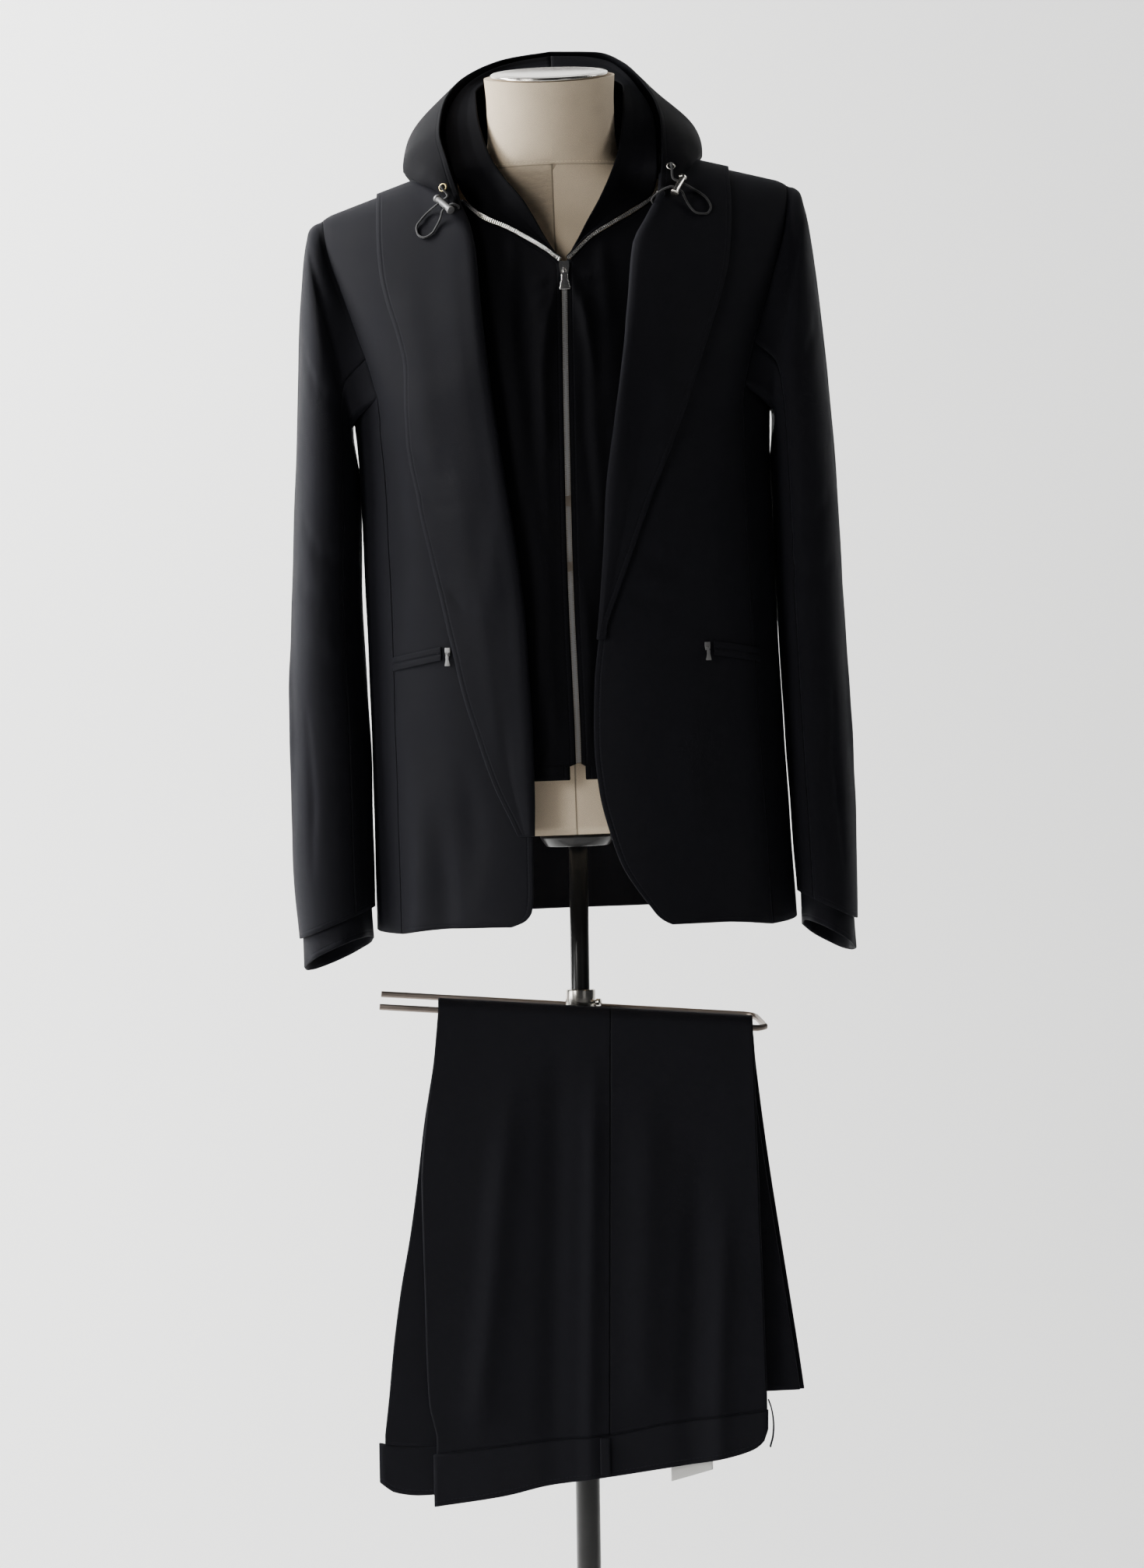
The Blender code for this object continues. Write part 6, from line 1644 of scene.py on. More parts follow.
# ---------------------------------------------------------------- insert, zip and hood
@dataclass
class Insert:
    """The hooded insert: its two fronts, the hood lying back, and the inside of the hood."""

    surface: BodySurface
    columns: int = 56
    rows: int = 100
    hood_columns: int = 84
    hood_rows: int = 40
    folds: tuple[Fold, ...] = (
        Fold(((2, 1388), (-8, 1352), (-15, 1300), (-14, 1235)), 5.5, 2.4),
        Fold(((-38, 1425), (-41, 1340), (-34, 1250), (-30, 1150)), 8, 2.6),
        Fold(((-24, 1345), (-25, 1250), (-19, 1150)), 5, -2.0),
        Fold(((-52, 1400), (-54, 1300), (-48, 1210)), 8, -1.8),
        Fold(((-16, 1130), (-19, 1060), (-14, 985)), 7, 1.8),
        Fold(((13, 1388), (24, 1352), (30, 1300)), 5, 2.2),
        Fold(((22, 1330), (20, 1250), (26, 1170)), 5, -1.8),
        Fold(((40, 1420), (44, 1340), (38, 1250)), 8, 2.0),
        Fold(((14, 1120), (16, 1050), (13, 980)), 5, 1.5),
        Fold(((-1, 1392), (-14, 1384), (-30, 1382)), 3, 1.1),
        Fold(((-2, 1380), (-13, 1368), (-26, 1362)), 3, 0.9),
        Fold(((14, 1392), (26, 1386), (40, 1386)), 3, 1.1),
        Fold(((14, 1378), (25, 1368), (36, 1364)), 3, 0.8),
        Fold(((-30, 962), (-22, 980), (-24, 1010)), 5, -1.2),
    )

    def face(self, x: np.ndarray, z: np.ndarray) -> np.ndarray:
        """Points of the insert's outer face."""
        points = self.surface.points(x, z, False, INSERT_INSET)
        for top, bottom, low, high, half_width, height in INSERT_FOLDS:
            middle = bottom + (top - bottom) * (z - low) / (high - low)
            fade = ramp(z, low - 60, low + 60) * (1 - ramp(z, high - 50, high + 10))
            points[..., 1] -= height * fade * hump(x - middle, half_width)
        clear = ramp(np.abs(x - smooth(ZIP_MIDDLE, 1, z)), 2.6, 9.0)
        for fold in self.folds:
            points[..., 1] -= clear * fold.relief(x, z)
        return points

    def front(self, side: Side) -> np.ndarray:
        """Outer grid of one front, from its lower edge up to the opened zip."""
        at = graded(self.columns, 0.003)
        outer = []
        level = LEVEL_ROWS_Z
        heights = [946.0, 950.0, 954.0, 957.4, level, *np.linspace(963, 1404, self.rows)]
        for z in heights:
            low = float(smooth(ZIP_MIDDLE, 1, z)) + side.sign * (ZIP_HALF + SEAM_GAP)
            if z < ZIP_END_Z:
                low = FRONT_LOW_X[side.value]
            x = low + (side.sign * INSERT_HALF - low) * at
            top = smooth(ZIP_V[side.value], 1, x) - 2.6
            part = max(0.0, (z - level) / (heights[-1] - level))
            height = np.full_like(x, z) if z <= level else level + (top - level) * part
            outer.append(self.face(x, height))
        return np.array(outer)

    def make_fronts(self) -> None:
        """Makes both fronts."""
        for side in Side:
            sew(
                f"insert_front_{side.value}", self.front(side), (0.0, -1.0, 0.0), INSERT_WALL,
                INSERT_CLOTH, seams=("first",), stitched=("first", "bottom"),
            )

    def hood_outer(self, side: Side) -> np.ndarray:
        """Outer grid of the hood's outer side: rim, bulge, lower edge and under it."""
        at = np.linspace(0, 1, self.hood_columns)
        rim, base = along(RIM[side.value], at), along(BASE[side.value], at)
        bulge = along(HOOD_BULGE, at) * np.array([side.sign, 1, 1])
        parts = np.concatenate([np.linspace(0, 0.08, 8)[:-1], np.linspace(0.08, 1, self.hood_rows)])
        rows = [rim * (1 - p) + base * p + bulge * 4 * p * (1 - p) for p in parts]
        amount = np.linspace(2, 22, self.hood_columns)[:, None]
        level = np.ones(self.hood_columns)
        inward = np.stack(
            [-0.5 * side.sign * level, np.linspace(0.5, -0.9, self.hood_columns), -0.2 * level],
            axis=1,
        )
        for part in (0.12, 0.3, 0.6, 1.0):
            rows.append(base + inward * amount * part)
        outer = np.array(rows)
        outer[:, -1, 0] = 2 + side.sign * SEAM_GAP / 2
        return outer

    def hood_inner(self, side: Side) -> np.ndarray:
        """Grid of the hood's inner side: from the opened zip and the rim down to the neck."""
        v_line = along(ZIP_V[side.value], np.linspace(0, 1, 5))
        lower = self.face(v_line[:, 0], v_line[:, 1])
        lower += np.array([-side.sign * 2.5, 6.5, 2.0])
        upper = along(RIM[side.value], np.linspace(0, 1, 10))[1:]
        toward = np.array([0.0, 10.0, 0.0]) - upper
        toward[:, 2] = 0
        toward /= np.linalg.norm(toward, axis=1, keepdims=True)
        upper = upper + toward * 6.0 + np.array([0, 0, -5.0])
        at = np.linspace(0, 1, self.hood_columns)
        edge = along(np.concatenate([lower, upper]), at)
        neck = along(NECK[side.value], at)
        rows = []
        for part in np.linspace(0, 1, 26):
            row = edge * (1 - part) + neck * part
            row[:, 1] += 2.0 * min(1.0, 3 * part, 3 * (1 - part))
            rows.append(row)
        outer = np.array(rows)
        outer[:, -1, 0] = 2 + side.sign * SEAM_GAP / 2
        return outer

    def make_hood(self) -> None:
        """Makes both halves of the hood, outside and inside."""
        for side in Side:
            sew(
                f"hood_outer_{side.value}", self.hood_outer(side), (side.sign, 0.6, 0.4),
                HOOD_WALL, INSERT_CLOTH, rests_on=("jacket_collar", f"jacket_back_{side.value}"),
                seams=("last",), stitched=("top", "last"),
            )
            sew(
                f"hood_inner_{side.value}", self.hood_inner(side), (-side.sign, -0.8, 0.5),
                HOOD_WALL, INSERT_CLOTH, seams=("last",),
            )


# ---------------------------------------------------------------- trousers
@dataclass
class Trousers:
    """The trousers, folded over the bar: two legs, waistbands and hidden layers."""

    def rail(self, x: np.ndarray) -> np.ndarray:
        """Height of the front rail's middle, which droops to the right."""
        return RAIL_MID_Z - np.asarray(x, float) * RAIL_DROP

    def bulge(self, x: np.ndarray, z: np.ndarray) -> np.ndarray:
        """How far the folds stand out on the front drop."""
        out = np.zeros(np.broadcast(x, z).shape)
        for top, bottom, low, high, half_width, height in TROUSER_FOLDS:
            middle = bottom + (top - bottom) * (z - low) / (high - low)
            fade = ramp(z, low - 40, low + 30) * (1 - ramp(z, high - 120, high))
            out = out + height * fade * hump(x - middle, half_width)
        return out

    def slack(self, x: np.ndarray, z: np.ndarray) -> np.ndarray:
        """How far the near leg stands off the layers behind it."""
        return NEAR_SLACK * (1 - ramp(z, 560, 735)) + self.bulge(x, z)

    def drop(
        self, reach: float, edges: tuple[Callable, Callable, Callable, Callable], bottom: Callable,
        columns: int, loose: bool
    ) -> np.ndarray:
        """Grid over the bar at one distance from it: up the front, over and down the back.

        Args:
            reach: distance from the rail's middle.
            edges: left and right edges in front, then behind, as functions of height.
            bottom: height of the front's lower edge over x.
            columns: how many points across.
            loose: whether the front hangs with the near leg's folds.

        Returns:
            Rows of points.
        """
        left, right, rear_left, rear_right = edges
        c = graded(columns, 0.003)
        rows = []
        for part in np.linspace(0.0, 0.95, 90):
            x = np.zeros(columns)
            for _ in range(5):
                z = bottom(x) + (self.rail(x) - bottom(x)) * part
                x = left(z) + (right(z) - left(z)) * c
            out = self.slack(x, z) if loose else 0.0
            rows.append(np.stack([x, RAIL_FRONT_Y - reach - out + 0 * x, z], axis=1))
        for angle in np.linspace(math.pi, 0, 15):
            x = left(OVER_BAR_Z) + (right(OVER_BAR_Z) - left(OVER_BAR_Z)) * c
            y = RAIL_FRONT_Y + reach * math.cos(angle) + 0 * x
            rows.append(np.stack([x, y, self.rail(x) + reach * math.sin(angle) + 1.0], axis=1))
        for part in np.linspace(0.03, 1.0, 60):
            x = np.full(columns, 60.0)
            for _ in range(5):
                along = (TROUSER_HEM_RIGHT - TROUSER_HEM_LEFT) * (x - HEM_LEFT_X)
                hem = TROUSER_HEM_LEFT + along / HEM_WIDTH
                z = self.rail(x) + (hem - self.rail(x)) * part
                x = rear_left(z) + (rear_right(z) - rear_left(z)) * c
            rows.append(np.stack([x, RAIL_FRONT_Y + reach + 0 * x, z], axis=1))
        return np.array(rows)

    def make(self) -> None:
        """Makes every piece of the trousers."""

        def edge(table: Table, column: int, add: float = 0.0) -> Callable:
            return lambda z: smooth(table, column, z) + add

        seam, rear = TROUSER_SEAM_FRONT, REAR_SEAM
        gap = SEAM_GAP / 2
        near = edge(WAIST_NEAR, 1, SEAM_GAP)
        far = edge(WAIST_FAR, 1, FAR_SEAM_GAP)
        pieces = (
            ("front_near", NEAR_REACH, near, 70, (TROUSER_FRONT, 1, 0), (seam, 1, -gap),
             (TROUSER_REAR, 1, 0), (rear, 1, -gap)),
            ("back_near", NEAR_REACH, near, 60, (seam, 1, gap), (TROUSER_FRONT, 2, 0),
             (rear, 1, gap), (TROUSER_REAR, 2, 0)),
            ("front_far", FAR_REACH, far, 30, (TROUSER_FRONT, 3, 0), (seam, 1, -gap),
             (TROUSER_REAR, 1, 4), (rear, 1, -gap)),
            ("back_far", FAR_REACH, far, 24, (seam, 1, gap), (TROUSER_FRONT, 2, -4),
             (rear, 1, gap), (TROUSER_REAR, 2, -4)),
        )
        for name, reach, bottom, columns, *sides in pieces:
            edges = tuple(edge(*one) for one in sides)
            loose = reach == NEAR_REACH
            outer = self.drop(reach + TROUSER_WALL, edges, bottom, columns, loose)
            inner = self.drop(reach, edges, bottom, columns, loose)
            seams = ("first", "last")
            self.piece(f"trouser_{name}", outer, inner, seams=seams, stitched=("bottom",))
        edges = (
            edge(TROUSER_FRONT, 1, 5), edge(TROUSER_FRONT, 2, -5), edge(TROUSER_REAR, 1, 6),
            edge(TROUSER_REAR, 2, -6)
        )
        outer = self.drop(LAYERS_OUTSIDE, edges, near, 20, False)
        inner = self.drop(LAYERS_INSIDE, edges, near, 20, False)
        self.piece("trouser_layers", outer, inner)
        self.make_trims()
        self.make_waistband("near", WAIST_NEAR, NEAR_REACH, 90)
        self.make_waistband("far", WAIST_FAR, FAR_REACH, 60)

    def piece(self, name: str, outer: np.ndarray, inner: np.ndarray, **more: object) -> None:
        """Builds one layer between two matching grids."""
        toward = outer - np.array([0.0, RAIL_FRONT_Y, 0.0])
        toward[..., 0] = 0
        toward[..., 2] = np.maximum(outer[..., 2] - RAIL_MID_Z, 0)
        sew(
            name, outer, toward, TROUSER_WALL, body=Body.STAND, held="folded",
            rests_on=("trouser_bar",), leaning=False, inner=inner, **more,
        )

    def strap(
        self, name: str, middle: np.ndarray, width: np.ndarray, toward: tuple[float, float, float]
    ) -> None:
        """A belt loop: a narrow strip of cloth along a path.

        Args:
            name: the solid that it stands for.
            middle: points along its middle.
            width: its width and direction across.
            toward: its outer side.
        """
        path = between_rows(middle, np.linspace(0, len(middle) - 1, 30))
        centre = path[:, None] + np.linspace(-0.5, 0.5, 7)[None, :, None] * width
        normals = normals_of(centre)
        if float(np.sum(normals * np.array(toward))) < 0:
            normals = -normals
        outer = centre + normals * LOOP_WALL / 2
        sew(name, outer, toward, LOOP_WALL, body=Body.STAND, leaning=False, small=True)

    def make_trims(self) -> None:
        """Makes the near waistband's belt loops and the blank label behind its free edge."""
        x = 16.0
        top = float(smooth(WAIST_NEAR, 1, x))
        out = float(self.slack(np.array(x), np.array(top))) + BAND_EXTRA
        face = RAIL_FRONT_Y - NEAR_REACH - TROUSER_WALL - out
        heights = ((356, 1.4), (346, 2.2), (332, 2.2), (323, 1.4))
        middle = np.array([(x, face - lift, z) for z, lift in heights])
        self.strap("belt_loop_front", middle, np.array([8.0, 0, 0]), (0.0, -1.0, 0.0))
        y = RAIL_FRONT_Y - NEAR_REACH - NEAR_SLACK
        places = ((162.6, 388), (165.2, 380), (166.8, 368), (166.2, 356), (163.6, 346))
        middle = np.array([(x, y, z) for x, z in places])
        self.strap("belt_loop_side", middle, np.array([0, 7.0, 0]), (1.0, 0.0, 0.0))
        left, right, low, climb, high = 75.0, 112.0, 316.0, 10.0, 16.0
        across = np.linspace(left, right, 24)
        y = 0 * across + RAIL_FRONT_Y - NEAR_REACH - LABEL_WALL
        rows = []
        for up in np.linspace(0, high, 9):
            z = low + climb * (across - left) / (right - left) + up
            rows.append(np.stack([across, y, z], axis=1))
        sew(
            "waist_label", np.array(rows), (0.0, -1.0, 0.0), LABEL_WALL, LABEL_CLOTH, Body.STAND,
            leaning=False, small=True,
        )

    def make_waistband(self, name: str, table: Table, reach: float, columns: int) -> None:
        """A waistband below its seam, on the same layer as its leg.

        Args:
            name: near or far.
            table: its sewn and free edges.
            reach: its layer's distance from the rail.
            columns: how many points across.
        """
        x = np.linspace(table[0][0], table[-1][0], columns)
        top, low = smooth(table, 1, x), smooth(table, 2, x)
        out = self.slack(x, top) + BAND_EXTRA if reach == NEAR_REACH else 0 * x
        outer, inner = [], []
        above = SEAM_GAP if reach == NEAR_REACH else FAR_SEAM_GAP
        for part in np.linspace(0, 1, 14):
            z = top + (low - top) * part + (0.9 * above if part == 0 else 0.0)
            y = RAIL_FRONT_Y - reach - out
            outer.append(np.stack([x, y - TROUSER_WALL, z], axis=1))
            inner.append(np.stack([x, y, z], axis=1))
        trims = ("belt_loop_front_cloth", "belt_loop_side_cloth", "waist_label_cloth")
        self.piece(
            f"waistband_{name}", np.array(outer), np.array(inner), seams=("top",),
            stitched=("bottom",), trims=trims if name == "near" else (),
        )


# ---------------------------------------------------------------- form and stand
@dataclass
class Form:
    """The dress form under its linen."""

    sides: int = 120
    rows: int = 130

    def make(self) -> None:
        """Makes the form as a closed shell with rounded edges."""
        low, high = FORM_SECTIONS[0][0], FORM_SECTIONS[-1][0]
        edge = 910
        heights = [*np.linspace(low, edge, 10)[:-1], *np.linspace(edge, high, self.rows)]
        angle = np.arange(self.sides) * 2 * math.pi / self.sides
        s, c = np.sin(angle), np.cos(angle)
        rings = []
        for z in heights:
            half, front, back, centre, tilt = (
                float(smooth(FORM_SECTIONS, k, z)) for k in range(1, 6)
            )
            power = 2 / (2.3 - 0.3 * float(ramp(z, 1460, 1495)))
            x = half * np.sign(s) * np.abs(s) ** power
            y = -np.where(c > 0, front, back) * np.sign(c) * np.abs(c) ** power
            rings.append(np.stack([x, centre + y, z + tilt * y], axis=1))
        grid = np.array(rings)
        count = grid.shape[0] * self.sides
        index = np.arange(count).reshape(grid.shape[:2])
        ring = np.concatenate([index, index[:, :1]], axis=1)
        quads = np.stack([ring[:-1, :-1], ring[:-1, 1:], ring[1:, 1:], ring[1:, :-1]], axis=-1)
        faces = list(map(tuple, quads.reshape(-1, 4).tolist()))
        faces += [tuple(index[0].tolist()), tuple(index[-1].tolist())]
        mesh = bpy.data.meshes.new("dress_form_linen")
        mesh.from_pydata((lean(grid.reshape(-1, 3)) * METRES).tolist(), [], faces)
        self.write_maps(mesh, grid)
        close(mesh)
        mesh.shade_smooth()
        mesh.set_sharp_from_angle(angle=math.radians(50))
        dress(shown(mesh, LINEN), Body.FIGURE, LINEN.slot, "dress_form")

    def write_maps(self, mesh: bpy.types.Mesh, grid: np.ndarray) -> None:
        """Gives the linen its weave, and its seams down the middle and round the neck."""
        step = np.linalg.norm(np.diff(grid[:, [*range(self.sides), 0]], axis=1), axis=2)
        across = np.concatenate([np.zeros((len(grid), 1)), np.cumsum(step, axis=1)], axis=1)
        tall = np.broadcast_to(grid[..., 2].mean(axis=1)[:, None], across.shape)
        neck = tall - NECK_SEAM_Z
        centre = np.minimum(across, across[:, -1:] - across)
        back = np.abs(across - across[:, -1:] / 2)
        front = np.where(tall < NECK_SEAM_Z, centre, FAR_AWAY)
        away = np.minimum(np.minimum(np.abs(neck), front), back)
        _, row, column = face_corners(mesh, grid.shape[0] * self.sides, self.sides, True)
        stitch = np.where(np.abs(neck) < 12, neck + 2.0, FAR_AWAY)
        for name, v in (("UVMap", tall), ("seam", away), ("stitch", stitch)):
            values = np.stack([across[row, column], v[row, column]], axis=1) * METRES
            write_layer(mesh, name, values)


# ---------------------------------------------------------------- cords
@dataclass
class Drawcords:
    """The hood's elastic drawcords, each through its eyelet and its lock."""

    diameter: float = 2 * CORD_RADIUS

    def make(self) -> None:
        """Makes both cords as smooth round tubes along their routes."""
        for side in Side:
            route = np.array(CORD_ROUTE[side.value])
            path = between_rows(route, np.linspace(0, len(route) - 1, 4 * len(route)))
            path = lean(path)
            made = self.tube(f"drawcord_{side.value}_elastic", path)
            dress(made, Body.FIGURE, ELASTIC.slot, f"drawcord_{side.value}")

    def tube(self, name: str, path: np.ndarray, sides: int = 12) -> bpy.types.Object:
        """A closed round tube along a path, with a map of its length and girth."""
        ahead = np.gradient(path, axis=0)
        ahead /= np.linalg.norm(ahead, axis=1, keepdims=True)
        across = np.cross(ahead[0], (0.0, 0.0, 1.0))
        radius = self.diameter / 2
        points = []
        for place, way in zip(path, ahead):
            across = across - way * float(across @ way)
            across /= np.linalg.norm(across)
            over = np.cross(way, across)
            for k in range(sides):
                angle = 2 * math.pi * k / sides
                points.append(place + radius * (across * math.cos(angle) + over * math.sin(angle)))
        faces = [tuple(range(sides)), tuple(range(len(points) - sides, len(points)))]
        for i in range(len(path) - 1):
            for k in range(sides):
                n = (k + 1) % sides
                a, b = i * sides, (i + 1) * sides
                faces.append((a + k, a + n, b + n, b + k))
        mesh = bpy.data.meshes.new(name)
        mesh.from_pydata((np.array(points) * METRES).tolist(), [], faces)
        run = np.concatenate([[0], np.cumsum(np.linalg.norm(np.diff(path, axis=0), axis=1))])
        _, row, column = face_corners(mesh, len(points), sides, True)
        girth = 2 * math.pi * radius
        write_layer(mesh, "UVMap", np.stack([column * girth / sides, run[row]], axis=1) * METRES)
        close(mesh)
        mesh.shade_smooth()
        return shown(mesh, ELASTIC)


# ---------------------------------------------------------------- studio
@dataclass(frozen=True)
class Studio:
    """The camera, the lights and the paper sweep behind the part."""

    camera_at: tuple[float, float, float] = (0.0, -4.5, 1.015)
    looks_at: tuple[float, float, float] = (-0.0047, 0.0, 0.9402)
    roll: float = 0.0152
    lens: float = 76.6
    ambient: float = 0.04

    def camera(self) -> None:
        """Places the camera at the photograph's angle."""
        data = bpy.data.cameras.new("photo")
        data.sensor_fit = "VERTICAL"
        data.sensor_height = 24.0
        data.lens = self.lens
        made = bpy.data.objects.new("photo", data)
        bpy.context.scene.collection.objects.link(made)
        ahead = (Vector(self.looks_at) - Vector(self.camera_at)).normalized()
        right = Vector((1.0, 0.0, -self.roll))
        right = (right - ahead * right.dot(ahead)).normalized()
        up = right.cross(ahead)
        turn = Matrix((right, up, -ahead)).transposed().to_4x4()
        made.matrix_world = Matrix.Translation(Vector(self.camera_at)) @ turn
        bpy.context.scene.camera = made

    def lamp(
        self, name: str, place: tuple[float, float, float], target: tuple[float, float, float],
        size: tuple[float, float], power: float,
        colour: tuple[float, float, float] = (1.0, 1.0, 1.0)
    ) -> None:
        """A soft rectangular lamp that faces a point."""
        data = bpy.data.lights.new(name, "AREA")
        data.shape = "RECTANGLE"
        data.size, data.size_y = size
        data.energy = power
        data.color = colour
        made = bpy.data.objects.new(name, data)
        bpy.context.scene.collection.objects.link(made)
        made.location = place
        way = Vector(target) - Vector(place)
        made.rotation_euler = way.to_track_quat("-Z", "Y").to_euler()

    def make(self) -> None:
        """Makes the lights, the world and the sweep."""
        self.lamp("key", (-2.5, -2.6, 2.1), (0.0, 0.0, 1.1), (1.0, 1.8), 74.0, (1.0, 0.98, 0.95))
        self.lamp("edge", (-2.9, -0.5, 1.5), (0.0, 0.0, 1.0), (1.2, 2.2), 95.0)
        self.lamp("fill", (1.9, -3.2, 1.3), (0.0, 0.0, 0.9), (1.2, 1.6), 1.5)
        self.lamp("wall left", (-1.8, 0.4, 2.6), (-0.8, 2.2, 1.1), (1.2, 1.2), 235.0)
        self.lamp("wall right", (1.8, 0.4, 2.6), (0.6, 2.2, 1.0), (1.2, 1.2), 28.0)
        world = bpy.data.worlds.new("studio")
        bpy.context.scene.world = world
        world.use_nodes = True
        nodes, links = world.node_tree.nodes, world.node_tree.links
        sky = nodes["Background"]
        sky.inputs["Color"].default_value = (0.92, 0.95, 1.0, 1.0)
        seen = nodes.new("ShaderNodeLightPath").outputs["Is Camera Ray"]
        strength = nodes.new("ShaderNodeMapRange")
        strength.inputs[3].default_value = self.ambient
        strength.inputs[4].default_value = 0.72
        links.new(seen, strength.inputs[0])
        links.new(strength.outputs[0], sky.inputs["Strength"])
        self.sweep()

    def sweep(self) -> None:
        """The paper: a level floor that curves up into the wall behind."""
        profile = [(-6.0, 0.0), (-2.0, 0.0), (1.1, 0.0)]
        for step in range(1, 17):
            angle = math.pi / 2 * step / 16
            profile.append((1.1 + 1.1 * math.sin(angle), 1.1 - 1.1 * math.cos(angle)))
        profile.append((2.2, 4.5))
        points = [(x, y, z) for x in (-5.0, 5.0) for y, z in profile]
        n = len(profile)
        faces = [(i, i + n, i + n + 1, i + 1) for i in range(n - 1)]
        mesh = bpy.data.meshes.new("sweep")
        mesh.from_pydata(points, [], faces)
        mesh.shade_smooth()
        shown(mesh, PAPER)


# ---------------------------------------------------------------- hard pieces
def seat(
    point: np.ndarray, out: np.ndarray, along_axis: tuple[float, float, float] = (1.0, 0.0, 0.0)
) -> Matrix:
    """A place on the leaning figure for a piece that was modelled at the origin.

    Args:
        point: where its origin goes, millimetres, upright.
        out: where its own Z goes.
        along_axis: what its own X lies near.

    Returns:
        The placing matrix, in metres.
    """
    z = Vector(out).normalized()
    x = Vector(along_axis)
    x = (x - z * x.dot(z)).normalized()
    corners = lean(np.array([point] * 4, float) + np.array([(0, 0, 0), x, z.cross(x), z]))
    axes = [Vector(corner - corners[0]) for corner in corners[1:]]
    turn = Matrix(axes).transposed().to_4x4()
    return Matrix.Translation(Vector(corners[0] * METRES)) @ turn


class Bench:
    """Where a hard piece is modelled at the origin, in millimetres, and then seated."""

    def __init__(self, name: str) -> None:
        """Starts the piece as a small upright square in edit mode."""
        self.name = name
        bpy.ops.object.select_all(action="DESELECT")
        bpy.ops.mesh.primitive_plane_add(size=2 * METRES, rotation=(math.pi / 2, 0, 0))
        bpy.ops.object.transform_apply(location=True, rotation=True, scale=True)
        self.made = bpy.context.object
        bpy.ops.object.mode_set(mode="EDIT")
        bpy.ops.mesh.select_all(action="SELECT")

    def spin(self, profile: tuple[tuple[float, float], ...], steps: int = 96) -> "Bench":
        """Turns a closed outline of (radius, height) places round the Z axis."""
        bpy.ops.mesh.merge(type="CENTER")
        here = (0.0, 0.0)
        outline = list(profile)
        if min(profile[0][0], profile[-1][0]) > 0:
            outline.append(profile[0])
        for index, (radius, height) in enumerate(outline):
            move = ((radius - here[0]) * METRES, 0.0, (height - here[1]) * METRES)
            if index:
                bpy.ops.mesh.extrude_region_move(TRANSFORM_OT_translate={"value": move})
            else:
                bpy.ops.transform.translate(value=move)
            here = (radius, height)
        bpy.ops.mesh.select_all(action="SELECT")
        bpy.ops.mesh.remove_doubles(threshold=1e-7)
        bpy.ops.mesh.select_all(action="SELECT")
        bpy.ops.mesh.spin(steps=steps, angle=2 * math.pi, center=(0, 0, 0), axis=(0, 0, 1))
        return self

    def loft(self, rows: tuple[tuple[float, float, float], ...]) -> "Bench":
        """Stacks cross-sections along Y, each (y, half width, half thickness)."""
        before = (0.0, 1.0, 1.0)
        for index, row in enumerate(rows):
            move = (0.0, (row[0] - before[0]) * METRES, 0.0)
            if index:
                bpy.ops.mesh.extrude_region_move(TRANSFORM_OT_translate={"value": move})
            else:
                bpy.ops.transform.translate(value=move)
            bpy.ops.transform.resize(
                value=(row[1] / before[1], 1.0, row[2] / before[2]),
                center_override=(0.0, row[0] * METRES, 0.0),
            )
            before = row
        return self

    def finish(self, place: Matrix, kind: Finish, bevel: float = 0.0) -> bpy.types.Object:
        """Closes the piece, rounds its edges, seats it and gives it its finish.

        Args:
            place: where it goes.
            kind: its finish.
            bevel: radius of its edges, millimetres.

        Returns:
            The piece.
        """
        bpy.ops.mesh.select_all(action="SELECT")
        bpy.ops.mesh.remove_doubles(threshold=1e-7)
        bpy.ops.mesh.normals_make_consistent(inside=False)
        bpy.ops.object.mode_set(mode="OBJECT")
        self.made.matrix_world = place
        bpy.ops.object.transform_apply(location=True, rotation=True, scale=True)
        return polish(self.made, self.name, kind, bevel)


def polish(made: bpy.types.Object, name: str, kind: Finish, bevel: float) -> bpy.types.Object:
    """Rounds the edges of the active piece, shades it and gives it its finish."""
    if bevel:
        bpy.ops.object.modifier_add(type="BEVEL")
        rounding = made.modifiers[-1]
        rounding.width = bevel * METRES
        rounding.segments = 2
        rounding.limit_method = "ANGLE"
        rounding.angle_limit = math.radians(34)
        bpy.ops.object.modifier_apply(modifier=rounding.name)
    bpy.ops.object.shade_smooth_by_angle(angle=math.radians(38))
    made.name = name
    made.data.name = name
    made.data.materials.clear()
    made.data.materials.append(kind.build())
    return made


def refined(node: str, kind: Finish, bevel: float) -> bpy.types.Object:
    """A merged copy of a solid with rounded edges.

    Args:
        node: the solid.
        kind: the copy's finish.
        bevel: radius of its edges, millimetres.

    Returns:
        The copy, still to be put on its body.
    """
    bpy.ops.object.select_all(action="DESELECT")
    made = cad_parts[node].copy()
    made.data = made.data.copy()
    made.parent = None
    made.matrix_world = Matrix.Identity(4)
    bpy.context.scene.collection.objects.link(made)
    made.hide_set(False)
    made.select_set(True)
    bpy.context.view_layer.objects.active = made
    bpy.ops.object.mode_set(mode="EDIT")
    bpy.ops.mesh.select_all(action="SELECT")
    bpy.ops.mesh.remove_doubles(threshold=1e-6)
    bpy.ops.mesh.dissolve_limited(angle_limit=math.radians(1.5))
    bpy.ops.mesh.select_all(action="SELECT")
    bpy.ops.mesh.normals_make_consistent(inside=False)
    bpy.ops.object.mode_set(mode="OBJECT")
    return polish(made, f"{node}_polished", kind, bevel)


